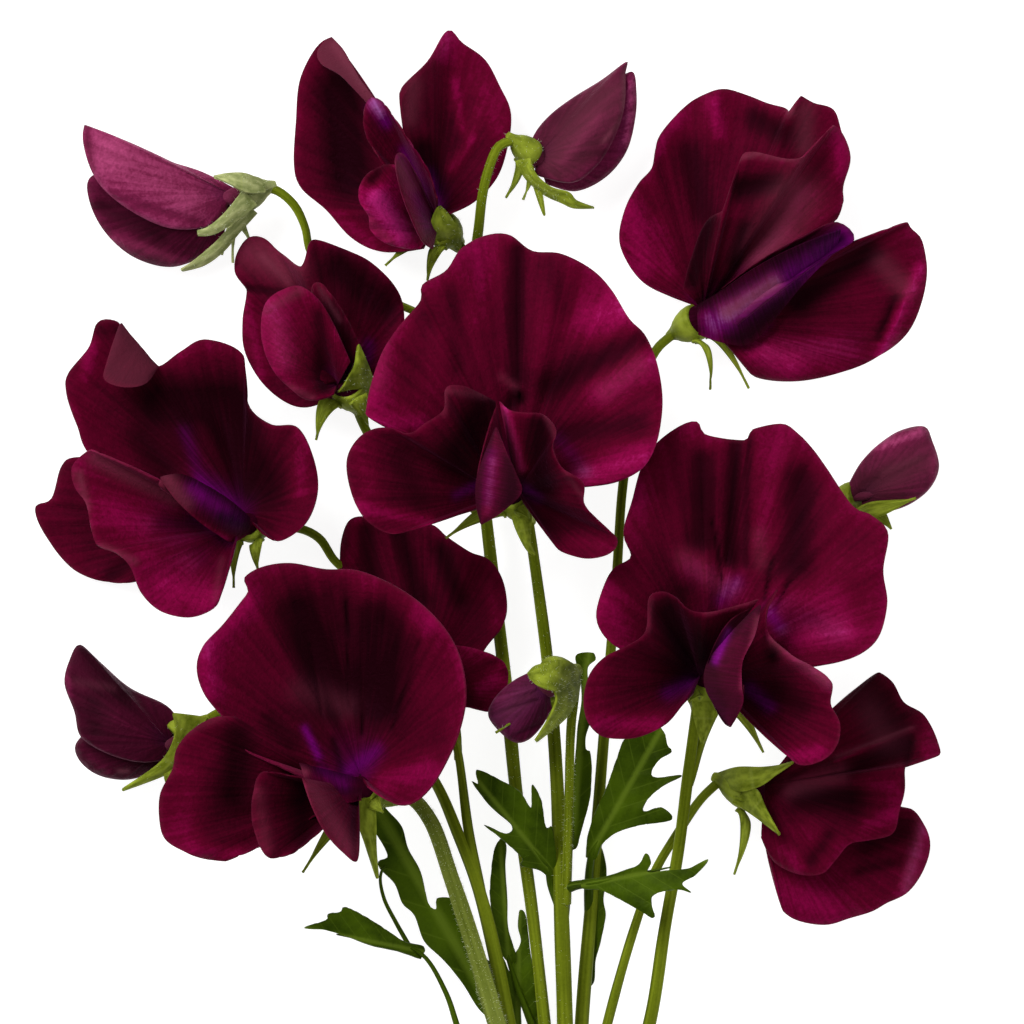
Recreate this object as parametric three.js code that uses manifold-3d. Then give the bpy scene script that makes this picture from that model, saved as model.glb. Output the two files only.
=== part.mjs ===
// A cut, branching sweet pea flower stem with open blooms, buds and lobed leaves, lying face up on a table.
// Millimetres, +Z up from the table, +Y towards the blooms.
// The origin is the middle of the stem's outline, on the table.

import * as THREE from "three";
import { mergeVertices } from "three/addons/utils/BufferGeometryUtils.js";
import Module from "manifold-3d";

const wasm = await Module();
wasm.setup();

// Driving dimensions

// One pixel of the photograph's 1024 x 1024 frame: the centre bloom, 293 pixels wide, is 47 mm across.
const MM_PER_PIXEL = 0.16;
// The pixel over the origin: the middle between the outermost petals, and between the top petal and the cut.
const ORIGIN_PIXEL = { x: 487, y: 764 };
const PETAL_THICKNESS = 0.6;
const LEAF_THICKNESS = 0.7;
const SEPAL_THICKNESS = 0.7;
// The least angle between two sepals round the rim of a calyx, in radians.
const SEPAL_SPACING = 1.15;
const SEPALS = 5;
// How often neighbouring sepals that stand too close are moved apart.
const SPACING_ROUNDS = 30;
// The rings of a calyx's cup, from the pedicel, in which the first is sunk by some mm, to the mouth.
const CUP_RINGS = [
  { share: 0, width: 0.45, sunk: 1 },
  { share: 0.25, width: 0.8 },
  { share: 0.65, width: 1 },
  { share: 1, width: 0.94 },
];
// A petal starts on a small arc round its claw, with this radius in mm.
const CLAW_RADIUS = 0.9;
// How far a petal's claw lies beyond the mouth of its calyx, in mm,
// and how far from the middle of that mouth, as a share of its radius.
const CLAW_LIFT = 0.8;
const CLAW_SPREAD = { standard: 0.6, wing: 0.5, keel: 0.15, fold: 0.1 };
// The clear space left between two pieces that would otherwise touch.
const CLEARANCE = 0.3;
// The corners of a cut piece are moved to the nearest multiple of this, in mm.
const WELD = 2e-3;
// A petal bulges and waves in full where its rim is at least this far from its claw, in mm.
const FULL_REACH = 12;
// The width of a petal's crease, as a share of its rim.
const CREASE_WIDTH = 0.04;
// Where a petal is steeper than this against the way it faces, its faces stand no further apart.
const STEEPEST = 0.35;
// The least angle between two neighbouring rays of a petal, in radians.
const LEAST_TURN = 0.03;
// How many facets lie side by side at each step out from the claw: as many as at the last step, or twice as many.
const PETAL_COLUMNS = {
  standard: [4, 8, 16, 16, 16],
  wing: [3, 6, 12, 12],
  keel: [2, 4, 8, 8],
  fold: [3, 6, 12, 12, 12],
};
const BRANCH_SIDES = 6;
const MAIN_STEM_SIDES = 8;

// Blooms and buds
// A point is [x, y, height]: x and y are pixels of the photograph, and height is millimetres above the table.
// A petal is a fan from its claw to its rim, whose points run from one side of the claw round to the other.
//   belly    how far its middle stands out towards the viewer, in mm
//   ruffle   the rim's waves: their height in mm, their number and where they start
//   crease   a groove (or a ridge, below zero) from the claw to the rim point with that index, in mm deep
//   swell    half the thickness that the middle gains, in mm, on a closed, plump petal
// A bud is made of plump folds, joined in one solid.

const BLOOMS = [
  {
    name: "centre_bloom",
    calyx: {
      base: [528, 517, 17], mouth: [513, 492, 21], radius: 3.2,
      sepals: [[530, 554, 24], [446, 538, 26]],
    },
    petals: {
      keel: {
        kind: "keel", swell: 1.3,
        rim: [
          [497, 404, 36], [488, 430, 39], [478, 470, 41], [476, 502, 41], [482, 522, 40], [497, 516, 38],
          [511, 505, 34],
        ],
      },
      wing_left: {
        kind: "wing", belly: 1.5, ruffle: [0.5, 3, 0.4],
        rim: [
          [495, 402, 32], [478, 393, 34], [460, 386, 36], [446, 389, 37], [444, 410, 38], [425, 424, 37],
          [409, 434, 36], [388, 428, 35], [366, 433, 34], [350, 452, 35], [348, 475, 36], [357, 505, 36],
          [372, 524, 35], [397, 534, 34], [432, 523, 35], [460, 514, 32], [484, 507, 28],
        ],
      },
      wing_right: {
        kind: "wing", belly: 1.2, ruffle: [0.5, 3, 2.2],
        rim: [
          [500, 402, 32], [510, 411, 34], [525, 413, 36], [543, 415, 37], [556, 430, 37], [553, 448, 37],
          [562, 468, 37], [583, 483, 38], [584, 504, 38], [600, 522, 38], [617, 540, 37], [608, 554, 36],
          [585, 558, 36], [560, 550, 36], [544, 530, 35], [532, 514, 31], [524, 503, 27],
        ],
      },
      standard: {
        kind: "standard", belly: 2, ruffle: [0.7, 6, 1.0], crease: { at: 14, depth: 1.6 },
        rim: [
          [462, 468, 28], [415, 434, 31], [371, 431, 32], [368, 402, 31], [381, 356, 29], [400, 326, 27],
          [421, 301, 26], [423, 285, 27], [446, 271, 25], [461, 249, 24], [485, 236, 22], [509, 235, 22],
          [532, 251, 21], [561, 254, 23], [592, 270, 23], [612, 291, 24], [629, 319, 26], [645, 336, 27],
          [657, 366, 28], [662, 402, 30], [657, 440, 32], [643, 467, 33], [618, 481, 34], [590, 486, 33],
          [566, 487, 30], [545, 487, 27],
        ],
      },
    },
  },
  {
    name: "right_bloom",
    calyx: {
      base: [698, 706, 16.5], mouth: [706, 676, 21], radius: 3.1,
      sepals: [[699, 742, 23], [763, 752, 26]],
    },
    petals: {
      keel: {
        kind: "keel", swell: 1.4,
        rim: [
          [752, 606, 37], [728, 620, 40], [710, 650, 42], [704, 680, 42], [714, 708, 42], [728, 725, 41],
          [741, 703, 40], [743, 684, 36],
        ],
      },
      wing_left: {
        kind: "wing", belly: 1.5, ruffle: [0.5, 3, 1.3],
        rim: [
          [757, 599, 33], [732, 606, 35], [705, 612, 37], [688, 609, 38], [674, 596, 38], [660, 591, 38],
          [648, 598, 38], [644, 632, 38], [620, 648, 37], [602, 658, 38], [588, 676, 39], [583, 700, 39],
          [588, 722, 39], [605, 736, 38], [635, 736, 38], [664, 723, 37], [681, 704, 35], [692, 693, 30],
        ],
      },
      wing_right: {
        kind: "wing", belly: 1.2, ruffle: [0.5, 3, 0.2],
        rim: [
          [777, 590, 33], [767, 606, 35], [767, 632, 37], [790, 654, 39], [813, 667, 39], [830, 682, 39],
          [829, 703, 38], [838, 722, 39], [835, 744, 39], [820, 759, 39], [797, 763, 39], [776, 747, 38],
          [758, 729, 36], [736, 706, 31],
        ],
      },
      standard: {
        kind: "standard", belly: 2, ruffle: [0.7, 6, 0.2], crease: { at: 14, depth: 2.2 },
        rim: [
          [655, 662, 28], [620, 648, 31], [603, 634, 31], [596, 614, 31], [604, 585, 30], [614, 568, 29],
          [631, 556, 28], [623, 532, 29], [632, 500, 27], [641, 468, 25], [656, 444, 24], [680, 426, 23],
          [697, 422, 23], [706, 435, 24], [746, 440, 24], [751, 430, 24], [782, 424, 23], [798, 434, 24],
          [813, 450, 24], [826, 468, 25], [852, 506, 27], [870, 515, 27], [887, 533, 29], [882, 570, 30],
          [886, 604, 31], [876, 638, 33], [851, 657, 35], [820, 664, 35], [792, 668, 32], [765, 670, 28],
        ],
      },
    },
  },
  {
    name: "lower_left_bloom",
    calyx: {
      base: [374, 802, 15.5], mouth: [360, 788, 20], radius: 3.0,
      sepals: [[376, 880, 22], [303, 872, 24]],
    },
    petals: {
      keel: {
        kind: "keel", swell: 0.9,
        rim: [
          [303, 776, 39], [312, 802, 42], [326, 830, 43], [344, 850, 43], [358, 859, 42], [361, 835, 39],
          [360, 806, 35],
        ],
      },
      wing_right: {
        kind: "wing", belly: 1.0, ruffle: [0.4, 3, 2.0],
        rim: [
          [312, 783, 35], [288, 771, 37], [263, 771, 38], [255, 790, 39], [253, 814, 39], [258, 836, 39],
          [266, 852, 39], [276, 856, 38], [300, 849, 38], [318, 833, 38], [330, 818, 36],
        ],
      },
      wing_left: {
        kind: "wing", belly: 1.5, ruffle: [0.6, 4, 0.5],
        rim: [
          [236, 716, 32], [214, 717, 34], [192, 730, 34], [178, 748, 34], [174, 768, 34], [162, 792, 35],
          [161, 818, 35], [167, 838, 34], [188, 851, 34], [212, 858, 33], [237, 858, 33], [266, 842, 33],
          [300, 826, 32], [326, 806, 29],
        ],
      },
      standard: {
        kind: "standard", belly: -2.5, ruffle: [0.6, 5, 0.6], crease: { at: 12, depth: 1.0 },
        rim: [
          [322, 786, 26], [285, 768, 29], [243, 747, 31], [228, 722, 31], [206, 694, 31], [198, 668, 31],
          [204, 646, 30], [224, 624, 29], [241, 602, 28], [249, 590, 28], [245, 578, 28], [262, 567, 26],
          [290, 563, 25], [325, 569, 25], [356, 570, 25], [388, 582, 26], [417, 600, 27], [441, 623, 29],
          [456, 646, 30], [464, 672, 32], [466, 700, 33], [459, 732, 34], [447, 760, 34], [433, 784, 34],
          [418, 799, 33], [402, 804, 32], [384, 797, 29], [368, 786, 26],
        ],
      },
    },
  },
  {
    name: "left_bloom",
    calyx: {
      base: [260, 531, 8], mouth: [247, 523, 12.5], radius: 2.9,
      sepals: [[233, 588, 12], [257, 570, 12]],
    },
    petals: {
      keel: {
        kind: "keel", swell: 1.2,
        rim: [[215, 500, 24], [190, 478, 27], [168, 476, 28], [160, 486, 28], [178, 500, 27], [205, 512, 25]],
      },
      wing_left: {
        kind: "wing", belly: 2.0, ruffle: [0.7, 4, 1.0],
        rim: [
          [212, 505, 25], [176, 492, 28], [145, 475, 30], [126, 456, 31], [101, 448, 31], [85, 454, 30],
          [73, 468, 30], [76, 487, 30], [87, 503, 30], [93, 530, 31], [99, 545, 31], [118, 553, 32],
          [132, 567, 32], [142, 592, 31], [162, 611, 30], [190, 617, 29], [214, 608, 28], [222, 592, 27],
          [230, 566, 25], [235, 548, 20],
        ],
      },
      wing_right: {
        kind: "wing", belly: -1.0, ruffle: [0.6, 4, 2.0],
        rim: [
          [170, 492, 10], [118, 462, 7], [74, 457, 5], [59, 466, 3.5], [49, 498, 2], [32, 508, 0],
          [44, 538, 0], [73, 571, 2], [110, 583, 4], [140, 580, 7], [180, 566, 10], [212, 548, 12],
        ],
      },
      standard: {
        kind: "standard", belly: -1.5, ruffle: [0.7, 5, 0.0], crease: { at: 9, depth: 1.2 },
        rim: [
          [262, 533, 17], [280, 541, 17], [306, 523, 20], [318, 490, 21], [313, 456, 21], [297, 427, 20],
          [270, 424, 18], [247, 403, 16], [243, 355, 15], [205, 339, 14], [180, 351, 14], [157, 366, 15],
          [144, 352, 15.5], [130, 334, 16], [116, 321, 16], [97, 322, 15.5], [88, 347, 14], [67, 373, 13],
          [65, 392, 13], [76, 425, 14], [90, 456, 15], [140, 494, 17],
        ],
      },
    },
  },
  {
    name: "middle_left_bloom",
    calyx: {
      base: [356, 407, 14], mouth: [347, 385, 17.5], radius: 2.9,
      sepals: [[316, 440, 18], [361, 346, 23]],
    },
    petals: {
      keel: {
        kind: "keel", swell: 0.8,
        rim: [[335, 350, 22], [318, 325, 22], [300, 318, 22], [295, 340, 22], [305, 365, 22], [325, 384, 21]],
      },
      wing_left: {
        kind: "wing", belly: 1.8, ruffle: [0.4, 3, 0.0],
        rim: [
          [350, 362, 24], [333, 324, 26], [318, 300, 27], [300, 287, 27], [282, 291, 27], [267, 303, 27],
          [262, 325, 27], [265, 350, 27], [276, 373, 26], [292, 389, 26], [306, 399, 25], [322, 399, 24],
          [334, 394, 23],
        ],
      },
      wing_right: {
        kind: "wing", belly: 0.8, ruffle: [0.3, 2, 0.5],
        rim: [
          [361, 350, 23], [350, 325, 24], [335, 300, 25], [320, 283, 24], [312, 290, 22], [318, 320, 21],
          [334, 356, 20],
        ],
      },
      standard: {
        kind: "standard", belly: -1.5, ruffle: [0.6, 5, 0.4],
        rim: [
          [377, 376, 15], [391, 355, 15], [403, 328, 15], [402, 302, 15], [391, 281, 15], [371, 262, 15],
          [350, 251, 16], [319, 240, 17], [309, 243, 18], [301, 266, 17], [282, 254, 12], [262, 237, 11],
          [246, 238, 10], [235, 256, 10], [235, 275, 10], [246, 288, 10], [242, 320, 10], [244, 350, 11],
          [260, 380, 12], [284, 401, 14], [306, 407, 15], [333, 399, 17],
        ],
      },
    },
  },
  {
    name: "top_bloom",
    calyx: {
      base: [456, 238, 8.5], mouth: [439, 226, 12.5], radius: 3.0,
      sepals: [[385, 265, 13], [427, 280, 13]],
    },
    petals: {
      keel: {
        kind: "keel", swell: 0.9,
        rim: [
          [420, 180, 24], [404, 155, 27], [395, 160, 29], [400, 190, 29], [411, 220, 28], [422, 242, 26],
          [433, 250, 23],
        ],
      },
      wing_left: {
        kind: "wing", belly: 1.5, ruffle: [0.4, 3, 0.2],
        rim: [
          [398, 166, 23], [383, 166, 25], [366, 176, 26], [359, 191, 26], [361, 204, 26], [369, 216, 26],
          [371, 230, 25], [384, 242, 24], [404, 248, 22], [420, 249, 20],
        ],
      },
      wing_right: {
        kind: "wing", belly: -0.8, ruffle: [0.4, 3, 1.0],
        rim: [
          [402, 190, 19], [384, 165, 21], [366, 135, 21], [364, 112, 22], [370, 99, 22], [382, 102, 22],
          [397, 122, 22], [412, 145, 22], [428, 170, 21], [437, 198, 19],
        ],
      },
      standard: {
        kind: "standard", belly: -1.5, ruffle: [0.5, 5, 0.3],
        rim: [
          [424, 248, 15], [402, 251, 14], [376, 250, 12], [350, 236, 10], [325, 208, 8], [300, 186, 6],
          [293, 163, 5], [295, 120, 5], [299, 78, 6], [316, 45, 8], [333, 36, 10], [345, 52, 13],
          [372, 98, 18], [392, 123, 18], [403, 135, 17], [400, 105, 18], [402, 87, 18], [428, 60, 14],
          [447, 29, 10], [462, 41, 9], [485, 58, 9], [500, 85, 10], [511, 112, 11], [507, 148, 12],
          [497, 177, 13], [476, 200, 14], [450, 213, 15],
        ],
      },
    },
  },
  {
    name: "upper_right_bloom",
    calyx: {
      base: [676, 332, 5.5], mouth: [701, 319, 9], radius: 3.0,
      sepals: [[711, 389, 8], [750, 388, 8]],
    },
    petals: {
      keel: {
        kind: "keel", swell: 1.3,
        rim: [
          [722, 288, 16], [760, 260, 19], [803, 236, 21], [836, 222, 22], [854, 240, 22], [820, 262, 20],
          [775, 296, 18], [738, 325, 15],
        ],
      },
      wing_right: {
        kind: "wing", belly: 1.5, ruffle: [0.7, 4, 1.0],
        rim: [
          [775, 283, 17], [830, 252, 21], [857, 239, 22], [884, 226, 22], [902, 216, 21], [911, 228, 21],
          [922, 240, 20], [927, 270, 18], [922, 302, 16], [909, 331, 14], [885, 352, 12], [850, 369, 11],
          [800, 380, 10], [757, 376, 10], [740, 358, 10], [724, 340, 10],
        ],
      },
      wing_left: {
        kind: "wing", belly: 2.0, ruffle: [0.4, 3, 0.0],
        rim: [
          [684, 289, 12], [692, 258, 14], [708, 220, 17], [735, 205, 20], [727, 180, 21], [733, 160, 21],
          [752, 152, 21], [790, 159, 20], [815, 151, 18], [826, 124, 16], [841, 130, 14], [851, 156, 13],
          [844, 184, 13], [842, 208, 13], [828, 228, 13], [785, 258, 12], [740, 288, 11],
        ],
      },
      standard: {
        kind: "standard", belly: -1.0, ruffle: [0.7, 5, 0.4], crease: { at: 14, depth: 1.5 },
        rim: [
          [676, 297, 9], [645, 282, 9], [625, 256, 9], [620, 234, 8], [627, 204, 7], [639, 182, 5],
          [653, 165, 4], [660, 135, 2], [687, 103, 0], [708, 91, 0], [726, 86, 0], [748, 92, 1],
          [770, 101, 3], [787, 106, 5], [794, 112, 7], [797, 93, 8], [815, 101, 8], [835, 108, 8],
          [843, 130, 8], [851, 158, 8], [844, 182, 8], [840, 212, 8], [790, 245, 8],
        ],
      },
    },
  },
  {
    name: "lower_right_bloom",
    calyx: {
      base: [722, 781, 8], mouth: [755, 795, 10.5], radius: 3.1,
      sepals: [[735, 876, 10], [780, 835, 18], [797, 762, 8]],
    },
    petals: {
      keel: {
        kind: "keel", swell: 1.2,
        rim: [
          [790, 812, 9], [830, 825, 7.5], [868, 845, 6.5], [880, 862, 6], [862, 876, 6], [820, 870, 7],
          [785, 845, 9],
        ],
      },
      wing_left: {
        kind: "wing", belly: 1.0, ruffle: [0.6, 4, 0.6],
        rim: [
          [835, 803, 12], [880, 804, 12], [902, 806, 12], [919, 816, 12], [931, 843, 12], [925, 870, 11],
          [909, 893, 11], [888, 904, 10], [874, 912, 10], [852, 919, 9], [826, 926, 9], [795, 920, 9],
          [775, 901, 10], [769, 880, 10], [775, 858, 11], [768, 842, 11],
        ],
      },
      wing_right: {
        kind: "wing", belly: -1.0, ruffle: [0.5, 3, 0.0],
        rim: [
          [800, 785, 6], [850, 790, 3], [885, 815, 1], [900, 850, 0], [885, 885, 0], [850, 903, 0],
          [812, 900, 0], [786, 875, 2], [776, 840, 5],
        ],
      },
      standard: {
        kind: "standard", belly: 1.0, ruffle: [0.5, 4, 0.8], crease: { at: 8, depth: -1.8 },
        rim: [
          [790, 756, 14], [812, 732, 12], [834, 709, 11], [857, 686, 10], [874, 672, 10], [893, 682, 11],
          [905, 703, 13], [925, 716, 15], [938, 742, 17], [938, 759, 18], [907, 764, 20], [905, 790, 20],
          [899, 812, 20], [893, 833, 20], [870, 840, 19], [850, 844, 18], [836, 860, 17], [822, 874, 16],
          [798, 874, 15], [775, 862, 13], [762, 838, 13],
        ],
      },
    },
  },
  {
    name: "back_bloom",
    calyx: {
      base: [443, 702, 6], mouth: [425, 695, 9], radius: 2.8,
      sepals: [[434, 728, 9]],
    },
    petals: {
      keel: {
        kind: "keel", swell: 1.1,
        rim: [[420, 664, 18], [405, 668, 20], [396, 690, 21], [398, 712, 20], [412, 714, 17]],
      },
      wing_left: {
        kind: "wing", belly: 1.0, ruffle: [0.5, 3, 0.5],
        rim: [
          [412, 640, 15], [385, 632, 16], [358, 645, 17], [345, 675, 17], [356, 708, 17], [384, 726, 16],
          [410, 716, 14],
        ],
      },
      wing_right: {
        kind: "wing", belly: 0.8, ruffle: [0.5, 3, 1.4],
        rim: [
          [428, 650, 15], [455, 646, 16], [484, 652, 17], [502, 661, 17], [508, 676, 17], [503, 697, 17],
          [489, 711, 17], [468, 707, 16], [446, 708, 14],
        ],
      },
      standard: {
        kind: "standard", belly: -1.5, ruffle: [0.6, 5, 0.0],
        rim: [
          [382, 700, 9], [352, 668, 7], [343, 625, 6], [339, 575, 6], [342, 536, 7], [355, 517, 8],
          [392, 521, 9], [430, 524, 10], [447, 537, 11], [470, 552, 12], [488, 559, 12], [501, 576, 12],
          [507, 602, 12], [503, 625, 12], [486, 648, 12], [463, 688, 12],
        ],
      },
    },
  },
  {
    name: "upper_left_bud",
    calyx: {
      base: [266, 186, 8], mouth: [236, 194, 9], radius: 3.0,
      sepals: [[194, 233, 15], [176, 272, 9], [229, 260, 11], [254, 247, 9]],
    },
    folds: [
      {
        kind: "fold", swell: 2.6,
        rim: [
          [232, 186, 9], [200, 170, 9], [160, 157, 9.5], [120, 138, 9.5], [96, 123, 9], [85, 119, 8.5],
          [81, 138, 9], [90, 170, 10], [108, 194, 11], [140, 216, 11.5], [172, 228, 11.5], [205, 226, 11],
          [224, 212, 10],
        ],
      },
      {
        kind: "fold", swell: 2.4,
        rim: [
          [222, 238, 8], [200, 256, 7], [168, 266, 6.5], [132, 256, 6.5], [104, 232, 6.5], [88, 202, 6.5],
          [88, 176, 7], [120, 165, 8],
        ],
      },
    ],
  },
  {
    name: "top_right_bud",
    calyx: {
      base: [514, 139, 14], mouth: [533, 154, 11], radius: 2.8,
      sepals: [[594, 206, 12.5], [545, 215, 13], [523, 197, 12]],
    },
    folds: [
      {
        kind: "fold", swell: 2.4,
        rim: [
          [544, 176, 12], [572, 181, 12.5], [598, 164, 12.5], [616, 134, 12], [625, 104, 11.5],
          [626, 72, 10.5], [627, 60, 10], [602, 78, 9.5], [576, 94, 9.5], [554, 112, 10], [540, 132, 10.5],
        ],
      },
      {
        kind: "fold", swell: 2.2,
        rim: [
          [546, 183, 9], [576, 190, 8.5], [606, 176, 8], [627, 150, 8], [636, 116, 8], [637, 88, 8.5],
          [633, 70, 9], [616, 78, 9],
        ],
      },
    ],
  },
  {
    name: "right_bud",
    calyx: {
      base: [836, 500, 5], mouth: [858, 497, 7], radius: 2.6,
      sepals: [[917, 498, 12], [893, 529, 7]],
    },
    folds: [
      {
        kind: "fold", swell: 2.6,
        rim: [
          [860, 512, 7.5], [888, 512, 7.5], [912, 504, 7.5], [932, 488, 7.5], [941, 466, 7.5],
          [934, 440, 7.5], [926, 426, 7.5], [902, 430, 7.5], [880, 444, 7.5], [864, 460, 7.5],
          [854, 476, 7.5],
        ],
      },
    ],
  },
  {
    name: "lower_left_bud",
    calyx: {
      base: [200, 724, 10], mouth: [174, 742, 11], radius: 3.1,
      sepals: [[122, 790, 13], [166, 784, 12]],
    },
    folds: [
      {
        kind: "fold", swell: 2.2,
        rim: [
          [168, 760, 12], [140, 763, 13], [108, 755, 13], [80, 738, 12.5], [73, 712, 12], [63, 684, 11],
          [68, 660, 9.5], [78, 645, 8.5], [98, 662, 9], [128, 688, 9.5], [158, 706, 10], [172, 722, 10.5],
        ],
      },
      {
        kind: "fold", swell: 2.0,
        rim: [
          [166, 766, 10], [146, 776, 9], [122, 781, 8.5], [96, 776, 8.5], [78, 762, 8.5], [74, 745, 9],
          [92, 728, 9], [124, 716, 9.5],
        ],
      },
    ],
  },
  {
    name: "centre_bud",
    calyx: {
      base: [572, 672, 20], mouth: [552, 680, 22.5], radius: 3.2,
      sepals: [[554, 728, 24], [494, 736, 26]],
    },
    folds: [
      {
        kind: "fold", swell: 2.5,
        rim: [
          [552, 708, 23], [542, 726, 23], [528, 740, 23], [514, 742, 23], [498, 730, 23], [488, 714, 23],
          [496, 696, 23], [514, 680, 23], [534, 670, 23],
        ],
      },
    ],
  },
];

// Branches
// Each runs from the foot towards the blooms. Its radii, in mm, are spread evenly along it.

const BRANCHES = [
  { to: "lower_left_bloom", radii: [1.9, 1.7, 1.45, 1.1],
    route: [
      [566, 1335, 3.2], [550, 1210, 8], [524, 1100, 13], [497, 1024, 16], [475, 950, 16], [452, 880, 16],
      [430, 820, 15.6], [410, 798, 15], [391, 800, 15],
    ] },
  { to: "lower_left_bud", radii: [1.7, 1.4, 1.05, 0.8, 0.8],
    route: [
      [565, 1290, 4], [545, 1180, 8], [515, 1060, 11], [496, 960, 12], [478, 888, 13], [458, 835, 12],
      [436, 785, 9.5], [402, 738, 6.5], [345, 706, 5], [278, 702, 6], [222, 712, 8],
    ] },
  { to: "left_bloom", radii: [1.0, 0.65, 0.65, 0.75],
    route: [
      [481, 900, 12.8], [468, 830, 12], [457, 750, 10], [446, 716, 7.5], [438, 660, 4], [400, 612, 3.2],
      [360, 582, 4], [334, 561, 6], [318, 538, 7.5], [296, 528, 8.8],
    ] },
  { to: "back_bloom", radii: [0.7, 0.7],
    route: [[458, 760, 10], [456, 730, 8], [451, 712, 6.6]] },
  { to: "top_right_bud", radii: [1.3, 1.0, 1.1, 0.95, 0.75],
    route: [
      [566, 1250, 4.8], [558, 1160, 6.5], [546, 1040, 8], [533, 920, 8.5], [517, 800, 7], [505, 680, 5],
      [492, 570, 4.5], [482, 480, 5], [474, 390, 6], [472, 300, 7], [475, 258, 9.5], [479, 225, 13.5],
      [483, 192, 15.8], [490, 165, 15.6], [499, 146, 15],
    ] },
  { to: "middle_left_bloom", radii: [0.75, 0.75],
    route: [[486, 520, 4.8], [450, 490, 6.5], [400, 466, 8.5], [372, 440, 10.5], [362, 422, 12]] },
  { to: "top_bloom", radii: [0.75, 0.75],
    route: [[472, 320, 6.8], [471, 285, 7], [467, 262, 7.8], [462, 248, 8.5]] },
  { to: "upper_left_bud", radii: [0.75, 0.6, 0.75],
    route: [
      [473, 345, 6.4], [430, 318, 5.5], [370, 292, 5.5], [330, 272, 6], [310, 252, 7], [304, 226, 8],
      [294, 205, 8], [279, 191, 8],
    ] },
  { to: "centre_bloom", radii: [1.6, 1.4, 1.25, 1.05, 0.85],
    route: [
      [566, 1310, 3.8], [567, 1170, 7], [565, 1024, 10], [561, 900, 12], [558, 800, 12], [553, 720, 12.5],
      [547, 655, 13.5], [540, 600, 14.5], [533, 550, 15.8],
    ] },
  { to: "centre_bud", radii: [0.85, 0.75, 0.75, 0.85],
    route: [[566, 905, 12.5], [569, 800, 15], [571, 730, 17], [575, 690, 18.2], [576, 680, 19]] },
  { to: "upper_right_bloom", radii: [1.4, 1.2, 0.95, 0.8, 0.75],
    route: [
      [567, 1275, 4.2], [575, 1180, 5], [582, 1024, 6], [592, 900, 6], [601, 780, 6], [609, 680, 6],
      [617, 580, 5.5], [623, 490, 5.5], [632, 430, 6], [645, 375, 6.5], [658, 348, 6.7],
    ] },
  { to: "lower_right_bloom", radii: [1.1, 0.85, 0.75, 0.75],
    route: [
      [574, 1200, 4.8], [586, 1120, 6.8], [608, 1024, 9], [634, 932, 9.5], [656, 872, 9], [680, 832, 8.5],
      [702, 800, 8.5],
    ] },
  { to: "right_bloom", radii: [1.4, 1.15, 1.0, 0.9],
    route: [
      [566, 1320, 3.4], [608, 1170, 8], [650, 1024, 12], [665, 930, 14], [679, 850, 14], [688, 780, 14.5],
      [694, 735, 15.4],
    ] },
  { to: "right_bud", radii: [0.9, 0.7, 0.7],
    route: [
      [688, 785, 14.3], [706, 730, 13], [740, 670, 9.5], [778, 605, 7], [808, 545, 5.5], [824, 512, 5],
    ] },
];

const MAIN_STEM = {
  radii: [2.65, 2.65, 2.65, 2.4],
  route: [[566, 1500, 2.448], [566, 1450, 2.448], [566, 1400, 2.448], [566, 1350, 2.8], [566, 1300, 3.8]],
};

// Leaves
// A leaf is a lobed blade on a stalk. The points of its outline are pixels. The blade rises from its base
// to its tip, arched by some mm along the way, and folded up on both sides of its midrib by a slope.

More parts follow.
